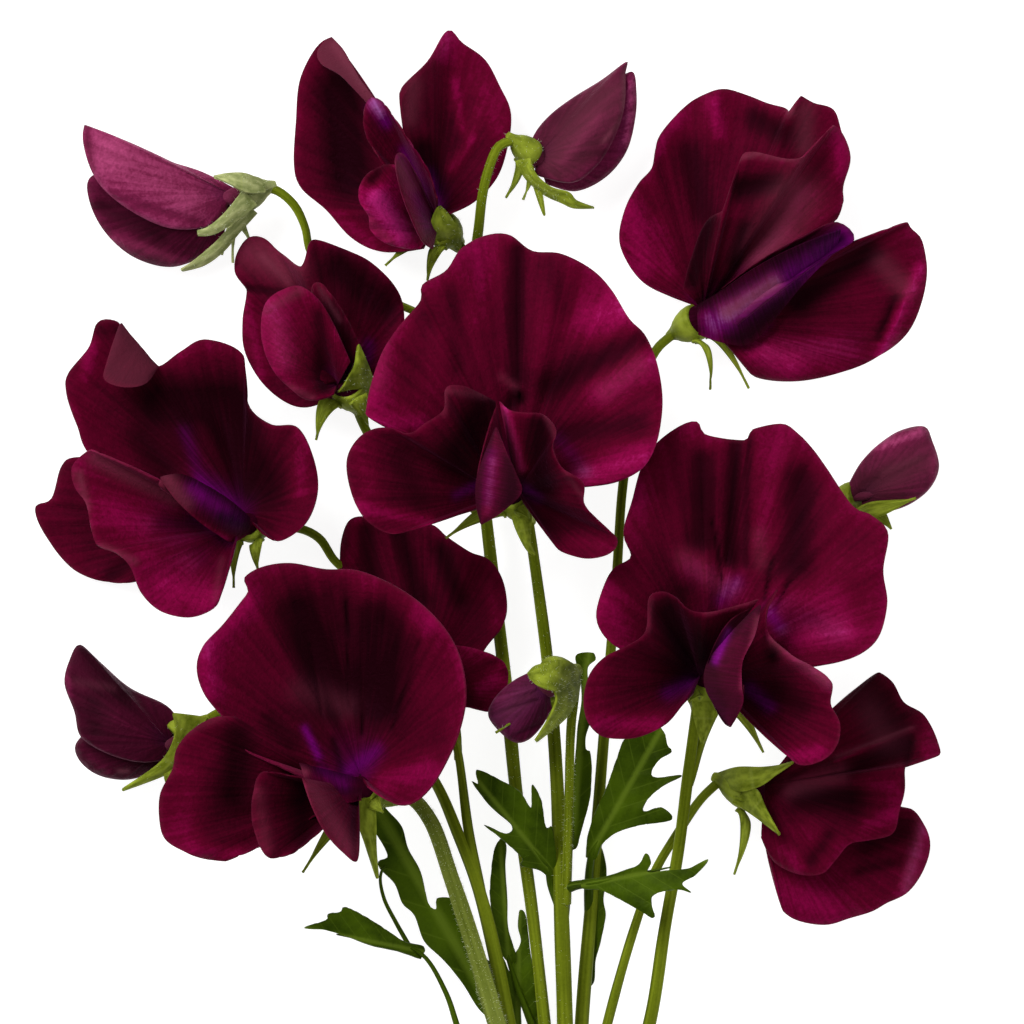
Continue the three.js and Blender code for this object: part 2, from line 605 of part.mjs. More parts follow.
const LEAVES = [
  {
    name: "leaf_right_front",
    stalk: [[564, 893, 13], [578, 886, 16.5], [600, 883, 19.5]],
    base: [584, 885, 18], tip: [708, 859, 24], arch: 1.5, fold: 0.15,
    outline: [
      [582, 880], [604, 877], [625, 870], [639, 864], [646, 853], [651, 862], [648, 872], [668, 870],
      [688, 868], [708, 859], [696, 874], [682, 883], [691, 892], [676, 889], [652, 896], [654, 917],
      [640, 910], [618, 898], [600, 890], [583, 889],
    ],
  },
  {
    name: "leaf_left_front",
    stalk: [[560, 908, 12], [552, 886, 11.5], [548, 866, 12.5]],
    base: [552, 872, 12.5], tip: [474, 776, 18], arch: 1.5, fold: 0.12,
    outline: [
      [553, 884], [541, 872], [521, 866], [522, 858], [500, 838], [484, 825], [506, 834], [512, 826],
      [490, 806], [472, 782], [478, 784], [477, 770], [500, 780], [520, 792], [531, 808], [532, 785],
      [541, 800], [546, 828], [552, 828], [556, 858],
    ],
  },
  {
    name: "leaf_right_back",
    stalk: [[587, 950, 6.5], [588, 880, 8.5], [592, 852, 10]],
    base: [590, 856, 10], tip: [662, 728, 13], arch: 2, fold: 0.1,
    outline: [
      [586, 858], [588, 836], [596, 812], [606, 790], [616, 762], [626, 738], [650, 722], [664, 732],
      [668, 746], [672, 752], [660, 760], [652, 772], [656, 778], [682, 776], [664, 786], [648, 800],
      [644, 812], [662, 808], [672, 820], [640, 826], [616, 834], [602, 846], [596, 860],
    ],
  },
  {
    name: "leaf_left_long",
    stalk: [[528, 1130, 10], [512, 1070, 11], [494, 1010, 9]],
    base: [500, 1024, 9.5], tip: [372, 800, 12], arch: 2, fold: 0.12,
    outline: [
      [506, 1032], [480, 1012], [462, 984], [444, 962], [424, 942], [414, 916], [402, 904], [394, 884],
      [380, 870], [378, 862], [387, 858], [384, 848], [374, 830], [372, 806], [378, 802], [390, 814],
      [402, 828], [408, 850], [420, 872], [428, 904], [436, 910], [437, 899], [456, 902], [468, 930],
      [484, 958], [502, 972], [512, 1010],
    ],
  },
  {
    name: "leaf_left_low",
    stalk: [
      [541, 1180, 10.3], [500, 1110, 12.5], [462, 1040, 15], [446, 994, 15], [424, 957, 15], [404, 946, 15],
    ],
    base: [412, 950, 15], tip: [304, 928, 19], arch: 1.5, fold: 0.15,
    outline: [
      [420, 960], [398, 952], [372, 946], [350, 938], [326, 930], [304, 928], [326, 920], [328, 914],
      [340, 912], [345, 907], [364, 916], [386, 930], [404, 942], [424, 948],
    ],
  },
  {
    name: "leaf_narrow",
    stalk: [[552, 1110, 7.1], [536, 1040, 7.6], [516, 985, 7.6], [508, 958, 7.5]],
    base: [509, 964, 7.5], tip: [500, 842, 7], arch: 2, fold: 0.2,
    outline: [
      [514, 970], [502, 956], [495, 930], [490, 900], [491, 874], [494, 852], [500, 841], [506, 846],
      [505, 868], [507, 900], [508, 930], [516, 958],
    ],
  },
  {
    name: "leaf_tall_back",
    stalk: [[562, 942, 11], [567, 890, 10], [571, 832, 9.5]],
    base: [572, 842, 9.5], tip: [588, 654, 11], arch: 1, fold: 0.12,
    outline: [
      [566, 848], [568, 800], [575, 764], [578, 728], [582, 700], [580, 676], [576, 656], [592, 653],
      [596, 660], [588, 668], [589, 690], [592, 716], [586, 736], [586, 750], [590, 752], [592, 768],
      [590, 800], [582, 830], [576, 850],
    ],
  },
];

// Shapes

const UP = new THREE.Vector3(0, 0, 1);

/** A point of the part, in mm, from a pixel of the photograph and a height above the table. */
function at([x, y, height = 0]) {
  return new THREE.Vector3((x - ORIGIN_PIXEL.x) * MM_PER_PIXEL, (ORIGIN_PIXEL.y - y) * MM_PER_PIXEL, height);
}

/** The share of a row's length that lies before each of its points. */
function sharesOf(points) {
  const shares = [0];
  for (let i = 1; i < points.length; i++) shares.push(shares[i - 1] + points[i].distanceTo(points[i - 1]));
  return shares.map((share) => share / shares[points.length - 1]);
}

/** The point at a share of the way along a smooth row of points. */
function along(points, shares, share) {
  let i = 0;
  while (i < points.length - 2 && share > shares[i + 1]) i++;
  const t = (share - shares[i]) / (shares[i + 1] - shares[i]);
  const [before, from] = [points[Math.max(i - 1, 0)], points[i]];
  const [to, after] = [points[i + 1], points[Math.min(i + 2, points.length - 1)]];
  const blend = (a, b, c, d) => {
    const [slope, bend, twist] = [c - a, 2 * a - 5 * b + 4 * c - d, 3 * b - a - 3 * c + d];
    return b + 0.5 * (slope * t + bend * t ** 2 + twist * t ** 3);
  };
  return new THREE.Vector3(
    blend(before.x, from.x, to.x, after.x),
    blend(before.y, from.y, to.y, after.y),
    blend(before.z, from.z, to.z, after.z),
  );
}

/** Where a petal leaves the mouth of its calyx: on the side that it leans to. */
function clawOf(petal, calyx, rim) {
  const mouth = at(calyx.mouth);
  const axis = mouth.clone().sub(at(calyx.base)).normalize();
  const middle = rim.reduce((sum, point) => sum.add(point), new THREE.Vector3()).divideScalar(rim.length);
  const lean = middle.sub(mouth);
  lean.addScaledVector(axis, -lean.dot(axis)).normalize();
  return mouth.addScaledVector(axis, CLAW_LIFT).addScaledVector(lean, CLAW_SPREAD[petal.kind] * calyx.radius);
}

/** Angles turned as little as it takes to run on in one sense, each at least a step after the last. */
function inOrder(angles, step) {
  const sense = Math.sign(angles.at(-1) - angles[0]);
  const runs = [];
  const mean = (run) => run.sum / run.count;
  angles.forEach((angle, i) => {
    runs.push({ sum: angle * sense - i * step, count: 1 });
    while (runs.length > 1 && mean(runs.at(-2)) > mean(runs.at(-1))) {
      const last = runs.pop();
      runs.at(-1).sum += last.sum;
      runs.at(-1).count += last.count;
    }
  });
  const levels = runs.flatMap((run) => Array(run.count).fill(mean(run)));
  return levels.map((level, i) => (level + i * step) * sense);
}

/** The rays of a petal from its claw to its rim, spread evenly along it. From above, none crosses another. */
function petalRays(petal, calyx, count) {
  const rim = petal.rim.map(at);
  const shares = sharesOf(rim);
  const claw = clawOf(petal, calyx, rim);
  const rays = [];
  const angles = [];
  for (let j = 0; j <= count; j++) {
    const ray = along(rim, shares, j / count).sub(claw);
    const angle = Math.atan2(ray.y, ray.x);
    const last = angles.at(-1) ?? angle;
    rays.push(ray);
    angles.push(angle + 2 * Math.PI * Math.round((last - angle) / (2 * Math.PI)));
  }
  inOrder(angles, LEAST_TURN).forEach((angle, j) => rays[j].applyAxisAngle(UP, angle - angles[j]));
  return { claw, rays, shares };
}

/** A closed solid of a petal: a surface with a face on either side. `extra` makes it larger all round. */
function petalSolid(petal, calyx, extra = 0) {
  const columns = PETAL_COLUMNS[petal.kind];
  const most = columns.at(-1);
  const { claw, rays, shares } = petalRays(petal, calyx, most);
  const [height = 0, waves = 0, start = 0] = petal.ruffle ?? [];
  const turn = Math.sign(rays[0].clone().cross(rays[1]).z);
  if (extra > 0) {
    rays[0].applyAxisAngle(UP, (-turn * LEAST_TURN) / 3);
    rays[most].applyAxisAngle(UP, (turn * LEAST_TURN) / 3);
  }
  const faces = [[], []];
  columns.forEach((count, i) => {
    const out = i / (columns.length - 1);
    for (let j = 0; j <= count; j++) {
      const share = j / count;
      const ray = rays[(j * most) / count];
      const length = ray.length();
      const reach = Math.min(1, length / FULL_REACH);
      let lift = 4 * (petal.belly ?? 0) * reach * out * (1 - out);
      lift += height * reach * out ** 3 * Math.sin(2 * Math.PI * waves * share + start);
      if (petal.crease) {
        const away = (share - shares[petal.crease.at]) / CREASE_WIDTH;
        lift -= petal.crease.depth * Math.exp(-(away ** 2)) * Math.sin(Math.PI * out);
      }
      const plump = (petal.swell ?? 0) * Math.sin(Math.PI * out) ** 0.7 * Math.sin(Math.PI * share);
      const rise = ray.z / length;
      const offset = (PETAL_THICKNESS / 2 + extra) / Math.max(Math.sqrt(1 - rise * rise), STEEPEST) + plump;
      const distance = THREE.MathUtils.lerp(CLAW_RADIUS - extra, length + extra, out);
      const centre = claw.clone().addScaledVector(ray, distance / length).addScaledVector(UP, lift);
      faces[0].push(centre.clone().addScaledVector(UP, offset));
      faces[1].push(centre.addScaledVector(UP, -offset));
    }
  });
  settle(faces, extra);
  return closedSheet(faces, columns);
}

/** Presses both faces of a sheet flat on the table where they would reach below it. */
function settle([front, back], extra) {
  front.forEach((a, i) => {
    const b = back[i];
    const low = Math.min(a.z, b.z) + extra;
    if (low < 0) {
      a.z -= low;
      b.z -= low;
    }
  });
}

/** A solid between two faces whose rows of points hold more and more columns, closed along all four sides. */
function closedSheet([front, back], columns) {
  const total = front.length;
  const starts = columns.map((_, i) => columns.slice(0, i).reduce((sum, count) => sum + count + 1, 0));
  const triangles = [];
  const facet = (a, b, c) => triangles.push(a, b, c, total + a, total + c, total + b);
  for (let i = 0; i < columns.length - 1; i++) {
    const [near, far] = [starts[i], starts[i + 1]];
    const twice = columns[i + 1] > columns[i];
    for (let j = 0; j < columns[i]; j++) {
      if (twice) {
        facet(near + j, far + 2 * j, far + 2 * j + 1);
        facet(near + j, far + 2 * j + 1, near + j + 1);
        facet(near + j + 1, far + 2 * j + 1, far + 2 * j + 2);
      } else {
        facet(near + j, far + j, far + j + 1);
        facet(near + j, far + j + 1, near + j + 1);
      }
    }
  }
  const last = columns.length - 1;
  const border = [];
  for (let j = 0; j < columns[0]; j++) border.push(j);
  for (let i = 0; i < last; i++) border.push(starts[i] + columns[i]);
  for (let j = columns[last]; j > 0; j--) border.push(starts[last] + j);
  for (let i = last; i > 0; i--) border.push(starts[i]);
  border.forEach((a, n) => {
    const b = border[(n + 1) % border.length];
    triangles.push(a, b, total + b, a, total + b, total + a);
  });
  return solidFrom([...front, ...back], triangles);
}

/** A solid through rings of points, with a flat cap at both ends. */
function loft(rings) {
  const sides = rings[0].length;
  const points = rings.flat();
  const triangles = [];
  for (let i = 0; i < rings.length - 1; i++) {
    for (let j = 0; j < sides; j++) {
      const [a, b] = [i * sides + j, i * sides + ((j + 1) % sides)];
      triangles.push(a, b, b + sides, a, b + sides, a + sides);
    }
  }
  const last = (rings.length - 1) * sides;
  for (let j = 1; j < sides - 1; j++) {
    triangles.push(0, j + 1, j, last, last + j, last + j + 1);
  }
  return solidFrom(points, triangles);
}

/** A manifold solid from points and triangles, turned the right way out. */
function solidFrom(points, triangles) {
  const geometry = new THREE.BufferGeometry().setFromPoints(points);
  geometry.setIndex(triangles);
  const merged = mergeVertices(geometry, 1e-4);
  const mesh = (order) => new wasm.Mesh({
    numProp: 3,
    vertProperties: new Float32Array(merged.attributes.position.array),
    triVerts: new Uint32Array(order),
  });
  const made = new wasm.Manifold(mesh(merged.index.array));
  if (made.volume() > 0) return made;
  const turned = Array.from(merged.index.array);
  for (let i = 0; i < turned.length; i += 3) [turned[i + 1], turned[i + 2]] = [turned[i + 2], turned[i + 1]];
  return new wasm.Manifold(mesh(turned));
}

/** A round limb along a route, whose radii are spread evenly along it. */
function limb(route, radii, sides, extra = 0) {
  const curve = new THREE.CatmullRomCurve3(route.map(at), false, "centripetal");
  const steps = Math.max(3, Math.round(curve.getLength() / 11) + (route.length > 6 ? 2 : 1));
  const flat = Math.PI / sides;
  const across = new THREE.Vector3(1, 0, 0);
  const rings = [];
  for (let i = 0; i <= steps; i++) {
    const share = (i / steps) * (radii.length - 1);
    const span = Math.min(Math.floor(share), radii.length - 2);
    const radius = THREE.MathUtils.lerp(radii[span], radii[span + 1], share - span) + extra;
    const centre = curve.getPointAt(i / steps);
    const tangent = curve.getTangentAt(i / steps);
    across.addScaledVector(tangent, -across.dot(tangent)).normalize();
    const up = tangent.clone().cross(across);
    rings.push(Array.from({ length: sides }, (_, j) => {
      const angle = flat + (2 * Math.PI * j) / sides;
      const [aside, above] = [radius * Math.cos(angle), radius * Math.sin(angle)];
      return centre.clone().addScaledVector(across, aside).addScaledVector(up, above);
    }));
  }
  return loft(rings);
}

/** The frame of a calyx: its two ends, its direction, and a point at an angle round it, share of the way up. */
function calyxFrame(calyx) {
  const base = at(calyx.base);
  const mouth = at(calyx.mouth);
  const direction = mouth.clone().sub(base).normalize();
  const turn = new THREE.Quaternion().setFromUnitVectors(UP, direction);
  const right = new THREE.Vector3(1, 0, 0).applyQuaternion(turn);
  const up = new THREE.Vector3(0, 1, 0).applyQuaternion(turn);
  const spot = (angle, radius, share, lift = 0) =>
    base.clone().lerp(mouth, share).addScaledVector(direction, lift)
      .addScaledVector(right, radius * Math.cos(angle)).addScaledVector(up, radius * Math.sin(angle));
  return { mouth, direction, right, up, spot };
}

/** The sepals of a calyx in order round it: those that show in the photograph, and short ones in the gaps. */
function sepalsOf(calyx, { mouth, right, up, spot }) {
  const sepals = calyx.sepals.map((pixel) => {
    const tip = at(pixel);
    const away = tip.clone().sub(mouth);
    return { tip, angle: Math.atan2(away.dot(up), away.dot(right)) };
  });
  const inTurn = () => sepals.sort((a, b) => a.angle - b.angle);
  const gapAfter = (k) => {
    const next = k + 1 < sepals.length ? sepals[k + 1].angle : sepals[0].angle + 2 * Math.PI;
    return next - sepals[k].angle;
  };
  while (sepals.length < SEPALS) {
    const gaps = inTurn().map((_, k) => gapAfter(k));
    const widest = gaps.indexOf(Math.max(...gaps));
    const part = gaps[widest] > 3 && sepals.length < 4 ? 0.4 : 0.5;
    const angle = sepals[widest].angle + gaps[widest] * part;
    const tip = spot(angle, calyx.radius * 2, 1, -calyx.radius * 0.3);
    sepals.push({ tip, angle: Math.atan2(Math.sin(angle), Math.cos(angle)) });
  }
  inTurn();
  for (let round = 0; round < SPACING_ROUNDS; round++) {
    sepals.forEach((sepal, k) => {
      const push = Math.max(0, SEPAL_SPACING - gapAfter(k)) / 2;
      sepal.angle -= push;
      sepals[(k + 1) % sepals.length].angle += push;
    });
  }
  return sepals;
}

/** The curve of a sepal from the rim of its calyx to its tip, bent clear of the cup where it hangs back. */
function sepalCurve(calyx, { mouth, direction, spot }, { tip, angle }) {
  const { radius } = calyx;
  const rise = tip.clone().sub(mouth).dot(direction);
  const bend = rise < -radius
    ? spot(angle, radius * 1.6, 1, radius * 0.8)
    : spot(angle, radius * 1.15, 1, THREE.MathUtils.clamp(rise * 0.5, radius * 0.4, radius));
  return new THREE.QuadraticBezierCurve3(spot(angle, radius * 0.8, 1), bend, tip);
}

/** A calyx: a cup whose rim runs out into five pointed sepals. */
function calyxSolid(calyx, extra = 0) {
  const frame = calyxFrame(calyx);
  const { spot } = frame;
  const sepals = sepalsOf(calyx, frame);
  const notches = sepals.map(({ angle }, k) => {
    const before = k > 0 ? sepals[k - 1].angle : sepals.at(-1).angle - 2 * Math.PI;
    return (angle + before) / 2;
  });
  const points = [];
  const triangles = [];
  const around = 2 * sepals.length;
  const quad = (a, b, c, d) => triangles.push(a, b, c, a, c, d);
  CUP_RINGS.forEach(({ share, width, sunk }) => {
    const lift = sunk ? -sunk - extra : 0;
    sepals.forEach(({ angle }, k) => {
      const radius = calyx.radius * width + extra;
      points.push(spot(notches[k], radius, share, lift), spot(angle, radius, share, lift));
    });
  });
  for (let i = 0; i < CUP_RINGS.length - 1; i++) {
    for (let j = 0; j < around; j++) {
      const [a, b] = [i * around + j, i * around + ((j + 1) % around)];
      quad(a, b, b + around, a + around);
    }
  }
  for (let j = 1; j < around - 1; j++) triangles.push(0, j + 1, j);

  const rim = (CUP_RINGS.length - 1) * around;
  const middle = points.push(spot(0, 0, 1, extra)) - 1;
  sepals.forEach((sepal, k) => {
    const [left, outer, next] = [rim + 2 * k, rim + 2 * k + 1, rim + ((2 * k + 2) % around)];
    const inner = points.push(spot(sepal.angle, calyx.radius * 0.6 - extra, 1, extra)) - 1;
    triangles.push(middle, left, inner, middle, inner, next);
    const curve = sepalCurve(calyx, frame, sepal);
    const across = points[next].clone().sub(points[left]).normalize();
    let loop = [left, outer, next, inner];
    for (const share of [0.3, 0.68]) {
      const tangent = curve.getTangent(share);
      const flat = across.clone().addScaledVector(tangent, -across.dot(tangent)).normalize();
      const through = flat.clone().cross(tangent);
      const width = calyx.radius * 0.5 * (1 - share) + 0.15 + extra;
      const thick = SEPAL_THICKNESS / 2 + extra;
      const centre = curve.getPoint(share);
      const ring = [[flat, -width], [through, thick], [flat, width], [through, -thick]]
        .map(([way, size]) => points.push(centre.clone().addScaledVector(way, size)) - 1);
      loop.forEach((a, n) => quad(a, loop[(n + 1) % 4], ring[(n + 1) % 4], ring[n]));
      loop = ring;
    }
    const end = points.push(sepal.tip.clone().addScaledVector(curve.getTangent(1), extra)) - 1;
    loop.forEach((a, n) => triangles.push(a, loop[(n + 1) % 4], end));
  });
  return solidFrom(points, triangles);
}

/** A lobed blade on its stalk. */
function leafSolids(leaf, extra = 0) {
  const base = at(leaf.base);
  const tip = at(leaf.tip);
  const run = new THREE.Vector2(tip.x - base.x, tip.y - base.y);
  const length = run.length();
  run.normalize();
  const height = (point) => {
    const [dx, dy] = [point.x - base.x, point.y - base.y];
    const share = (dx * run.x + dy * run.y) / length;
    const aside = Math.abs(dy * run.x - dx * run.y);
    const arch = 4 * leaf.arch * share * (1 - share);
    return THREE.MathUtils.lerp(base.z, tip.z, share) + arch + leaf.fold * aside;
  };
  const outline = leaf.outline.map((pixel) => at(pixel));
  const flat = outline.map((point) => new THREE.Vector2(point.x, point.y));
  const inner = THREE.ShapeUtils.triangulateShape(flat, []);
  const half = LEAF_THICKNESS / 2 + extra;
  const lifted = (point, lift) => new THREE.Vector3(point.x, point.y, height(point) + lift);
  const face = (sign) => outline.map((point) => lifted(point, sign * half));
  const count = outline.length;
  const triangles = [];
  for (const [a, b, c] of inner) triangles.push(a, b, c, count + a, count + c, count + b);
  for (let i = 0; i < count; i++) {
    const next = (i + 1) % count;
    triangles.push(i, count + next, next, i, count + i, count + next);
  }
  const clockwise = THREE.ShapeUtils.isClockWise(flat);
  if (clockwise) {
    for (let i = inner.length * 6; i < triangles.length; i += 3) {
      [triangles[i + 1], triangles[i + 2]] = [triangles[i + 2], triangles[i + 1]];
    }
  }
  const blade = solidFrom([...face(1), ...face(-1)], triangles);
  return [blade, limb(leaf.stalk, [0.9, 0.8, 0.6], 5, extra)];
}

// Assembly

const FINISHES = {
  stem: { color: 0x6f8f2c, roughness: 0.6, metalness: 0 },
  leaf: { color: 0x3f6420, roughness: 0.55, metalness: 0 },
  petal: { color: 0x5c0a2c, roughness: 0.75, metalness: 0 },
  bud: { color: 0x8c2a50, roughness: 0.7, metalness: 0 },
};

/** The solid as a named mesh with a material of its own. */
function meshOf(name, solid, finish) {
  const { vertProperties, triVerts, numProp } = solid.getMesh();
  const positions = new Float32Array((vertProperties.length / numProp) * 3);
  for (let i = 0; i < positions.length / 3; i++) {
    positions.set(vertProperties.subarray(i * numProp, i * numProp + 3), i * 3);
  }
  const geometry = new THREE.BufferGeometry();
  geometry.setAttribute("position", new THREE.BufferAttribute(positions, 3));
  geometry.setIndex(new THREE.BufferAttribute(triVerts, 1));
  geometry.computeVertexNormals();
  const mesh = new THREE.Mesh(geometry, new THREE.MeshStandardMaterial(finish));
  mesh.name = name;
  return mesh;
}

/** The largest body of a solid, without the slivers that a cut leaves along its edges. */
function largest(solid) {
  const larger = (best, body) => (body.volume() > best.volume() ? body : best);
  const biggest = (whole) => whole.decompose().reduce(larger);
  const { vertProperties, triVerts, numProp } = biggest(solid).getMesh();
  const points = [];
  for (let i = 0; i < vertProperties.length; i += numProp) {
    const corner = new THREE.Vector3().fromArray(vertProperties, i);
    points.push(corner.divideScalar(WELD).round().multiplyScalar(WELD));
  }
  return biggest(solidFrom(points, Array.from(triVerts)));
}

/** The solid, cut clear of whatever is already in place and would touch it. */
function clearOf(solid, placed) {
  let left = solid;
  for (const { near, grown } of placed) {
    if (left.intersect(near).volume() > 0) left = left.subtract(grown);
  }
  return largest(left);
}

/** What later pieces keep clear of: a shape that shows whether they touch it, and the shape that cuts them. */
function keepClear(shape) {
  return { near: shape(CLEARANCE / 4), grown: shape(CLEARANCE) };
}

/** Every branch, pedicel and calyx, grown together. */
function stemSolid(extra = 0) {
  const pieces = [limb(MAIN_STEM.route, MAIN_STEM.radii, MAIN_STEM_SIDES, extra)];
  for (const branch of BRANCHES) {
    const { calyx } = BLOOMS.find((bloom) => bloom.name === branch.to);
    pieces.push(limb([...branch.route, calyx.base], branch.radii, BRANCH_SIDES, extra));
    pieces.push(calyxSolid(calyx, extra));
  }
  return largest(wasm.Manifold.union(pieces));
}

const sweetPea = new THREE.Group();
const placed = [keepClear(stemSolid)];
sweetPea.add(meshOf("flower_stem", stemSolid(), FINISHES.stem));

for (const leaf of LEAVES) {
  const solid = clearOf(wasm.Manifold.union(leafSolids(leaf)), placed);
  placed.push(keepClear((extra) => wasm.Manifold.union(leafSolids(leaf, extra))));
  sweetPea.add(meshOf(leaf.name, solid, FINISHES.leaf));
}

for (const bloom of BLOOMS) {
  const group = new THREE.Group();
  if (bloom.folds) {
    const folds = (extra) => bloom.folds.map((fold) => petalSolid(fold, bloom.calyx, extra));
    const bud = (extra) => wasm.Manifold.union(folds(extra));
    const solid = clearOf(bud(0), placed);
    placed.push(keepClear(bud));
    group.add(meshOf(bloom.name, solid, FINISHES.bud));
  }
  for (const [part, petal] of Object.entries(bloom.petals ?? {})) {
    const solid = clearOf(petalSolid(petal, bloom.calyx), placed);
    placed.push(keepClear((extra) => petalSolid(petal, bloom.calyx, extra)));
    group.add(meshOf(`${bloom.name}_${part}`, solid, FINISHES.petal));
  }
  sweetPea.add(group);
}

export default sweetPea;
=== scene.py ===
"""A cut, branching sweet pea stem with open blooms, buds and lobed leaves, lying face up on a pale table.

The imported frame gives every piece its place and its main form. Each petal, bud, calyx, branch and leaf is
modelled here once more, finely, over its solid: velvety petals with fan veins, thin rolled rims and folds,
calyces with long pointed sepals, ribbed and hairy stems, and lobed leaves with veins. Pixels are those of the
photograph's 1024 x 1024 frame, seen from straight above, and heights are millimetres above the table.
"""

import logging
import math
import random
from collections.abc import Callable, Sequence
from dataclasses import dataclass, field
from enum import Enum
from typing import NamedTuple

import bpy
import numpy as np
from mathutils import Matrix, Vector


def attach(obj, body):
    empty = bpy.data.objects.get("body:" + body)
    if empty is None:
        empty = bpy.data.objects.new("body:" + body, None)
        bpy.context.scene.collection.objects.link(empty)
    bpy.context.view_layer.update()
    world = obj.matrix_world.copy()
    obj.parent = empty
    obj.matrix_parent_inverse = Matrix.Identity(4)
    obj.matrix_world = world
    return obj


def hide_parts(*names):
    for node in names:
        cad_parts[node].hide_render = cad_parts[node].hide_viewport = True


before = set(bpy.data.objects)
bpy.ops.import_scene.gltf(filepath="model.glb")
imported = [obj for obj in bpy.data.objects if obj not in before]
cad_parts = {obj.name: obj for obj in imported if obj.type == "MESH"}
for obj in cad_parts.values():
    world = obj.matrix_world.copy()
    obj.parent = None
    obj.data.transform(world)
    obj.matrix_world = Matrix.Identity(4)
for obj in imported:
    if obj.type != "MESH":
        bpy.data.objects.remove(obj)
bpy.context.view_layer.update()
LOG = logging.getLogger("sweet_pea")

Pixel = tuple[float, ...]
Colour = tuple[float, float, float]
Stops = tuple[tuple[float, Colour], ...]
Shape = Callable[..., np.ndarray]
Piece = bpy.types.Object
Material = bpy.types.Material
Socket = bpy.types.NodeSocket

# Sizes that the solids share

MM = 0.001
MM_PER_PIXEL = 0.16
ORIGIN_PIXEL = (487, 764)
# A petal's ray of this length or more bellies and ruffles in full.
FULL_REACH = 12 * MM
# Half the width of a crease, as a share of the rim.
CREASE_WIDTH = 0.04
# The flattest that a steep petal's wall may count as, when it gets its thickness.
STEEPEST = 0.35
# The least turn from one ray of a petal to the next.
LEAST_TURN = 0.0035
CLAW_RADIUS = 0.25 * MM
CLAW_LIFT = 0.8 * MM
SEPALS = 5
# The least angle between two sepals, and how often they are pushed apart.
SEPAL_SPACING = 1.15
SPACING_ROUNDS = 30

# Sizes of the fine forms

PETAL_THICKNESS = 0.3 * MM
SEPAL_THICKNESS = 0.4 * MM
LEAF_THICKNESS = 0.34 * MM
# How far a petal stands out where its light strokes are at full strength.
RELIEF = 2.3 * MM
# Where a petal's rim starts to roll over, from its claw to its edge.
ROLL_START = 0.93
STEM_FILL = 0.97
WELD = 0.004 * MM
SMOOTH_ANGLE = math.radians(60)
HAIR_RADIUS = 0.026 * MM
HAIR_LENGTH = 0.6 * MM
HAIR_LEAN = 0.45
# A branch with more hairs than this has a downy skin.
DOWNY_HAIRS = 1000
# How far a leaf's side veins lean towards its tip.
VEIN_SLANT = 1.1
FULLEST_PAINT = 1.2
FLAP_FACETS = (48, 16)
CUP_FACETS = (60, 30)
SEPAL_FACETS = (10, 28)
THROAT_FACETS = (24, 24)


class Kind(Enum):
    """What a petal is."""

    STANDARD = "standard"
    WING = "wing"
    KEEL = "keel"
    FOLD = "fold"


# How far from the middle of its calyx's mouth a petal starts, as a share of the mouth's radius.
CLAW_SPREAD = {Kind.STANDARD: 0.6, Kind.WING: 0.5, Kind.KEEL: 0.15, Kind.FOLD: 0.1}
# Facets along the rim and from the claw to the rim.
FACETS = {Kind.STANDARD: (152, 50), Kind.WING: (104, 36), Kind.KEEL: (52, 30), Kind.FOLD: (66, 33)}


class Ruffle(NamedTuple):
    """The waves of a rim: their height in mm, their number and where they start."""

    height: float
    waves: float
    start: float


class Crease(NamedTuple):
    """A groove (a ridge, below zero) from the claw to the rim point with an index, in mm deep."""

    at: int
    depth: float


def pixels_of(points: np.ndarray) -> tuple[np.ndarray, np.ndarray]:
    """The pixels that points of the part are seen at."""
    scale = MM_PER_PIXEL * MM
    return points[:, 0] / scale + ORIGIN_PIXEL[0], ORIGIN_PIXEL[1] - points[:, 1] / scale


def at(pixel: Pixel) -> np.ndarray:
    """A point of the part, in metres, from a pixel of the photograph and a height in mm."""
    x, y, height = (*pixel, 0.0)[:3]
    return np.array([(x - ORIGIN_PIXEL[0]) * MM_PER_PIXEL, (ORIGIN_PIXEL[1] - y) * MM_PER_PIXEL, height]) * MM


def unit(vector: np.ndarray) -> np.ndarray:
    """The vector with a length of one."""
    return vector / np.linalg.norm(vector)


def smooth(low: float, high: float, value: np.ndarray) -> np.ndarray:
    """A smooth step from 0 below low to 1 above high."""
    share = np.clip((value - low) / (high - low), 0, 1)
    return share * share * (3 - 2 * share)


def turned_round(share: np.ndarray) -> np.ndarray:
    """The angles of the shares of a turn, where a whole turn is none."""
    return 2 * math.pi * np.where(share > 1 - 1e-6, 0, share)


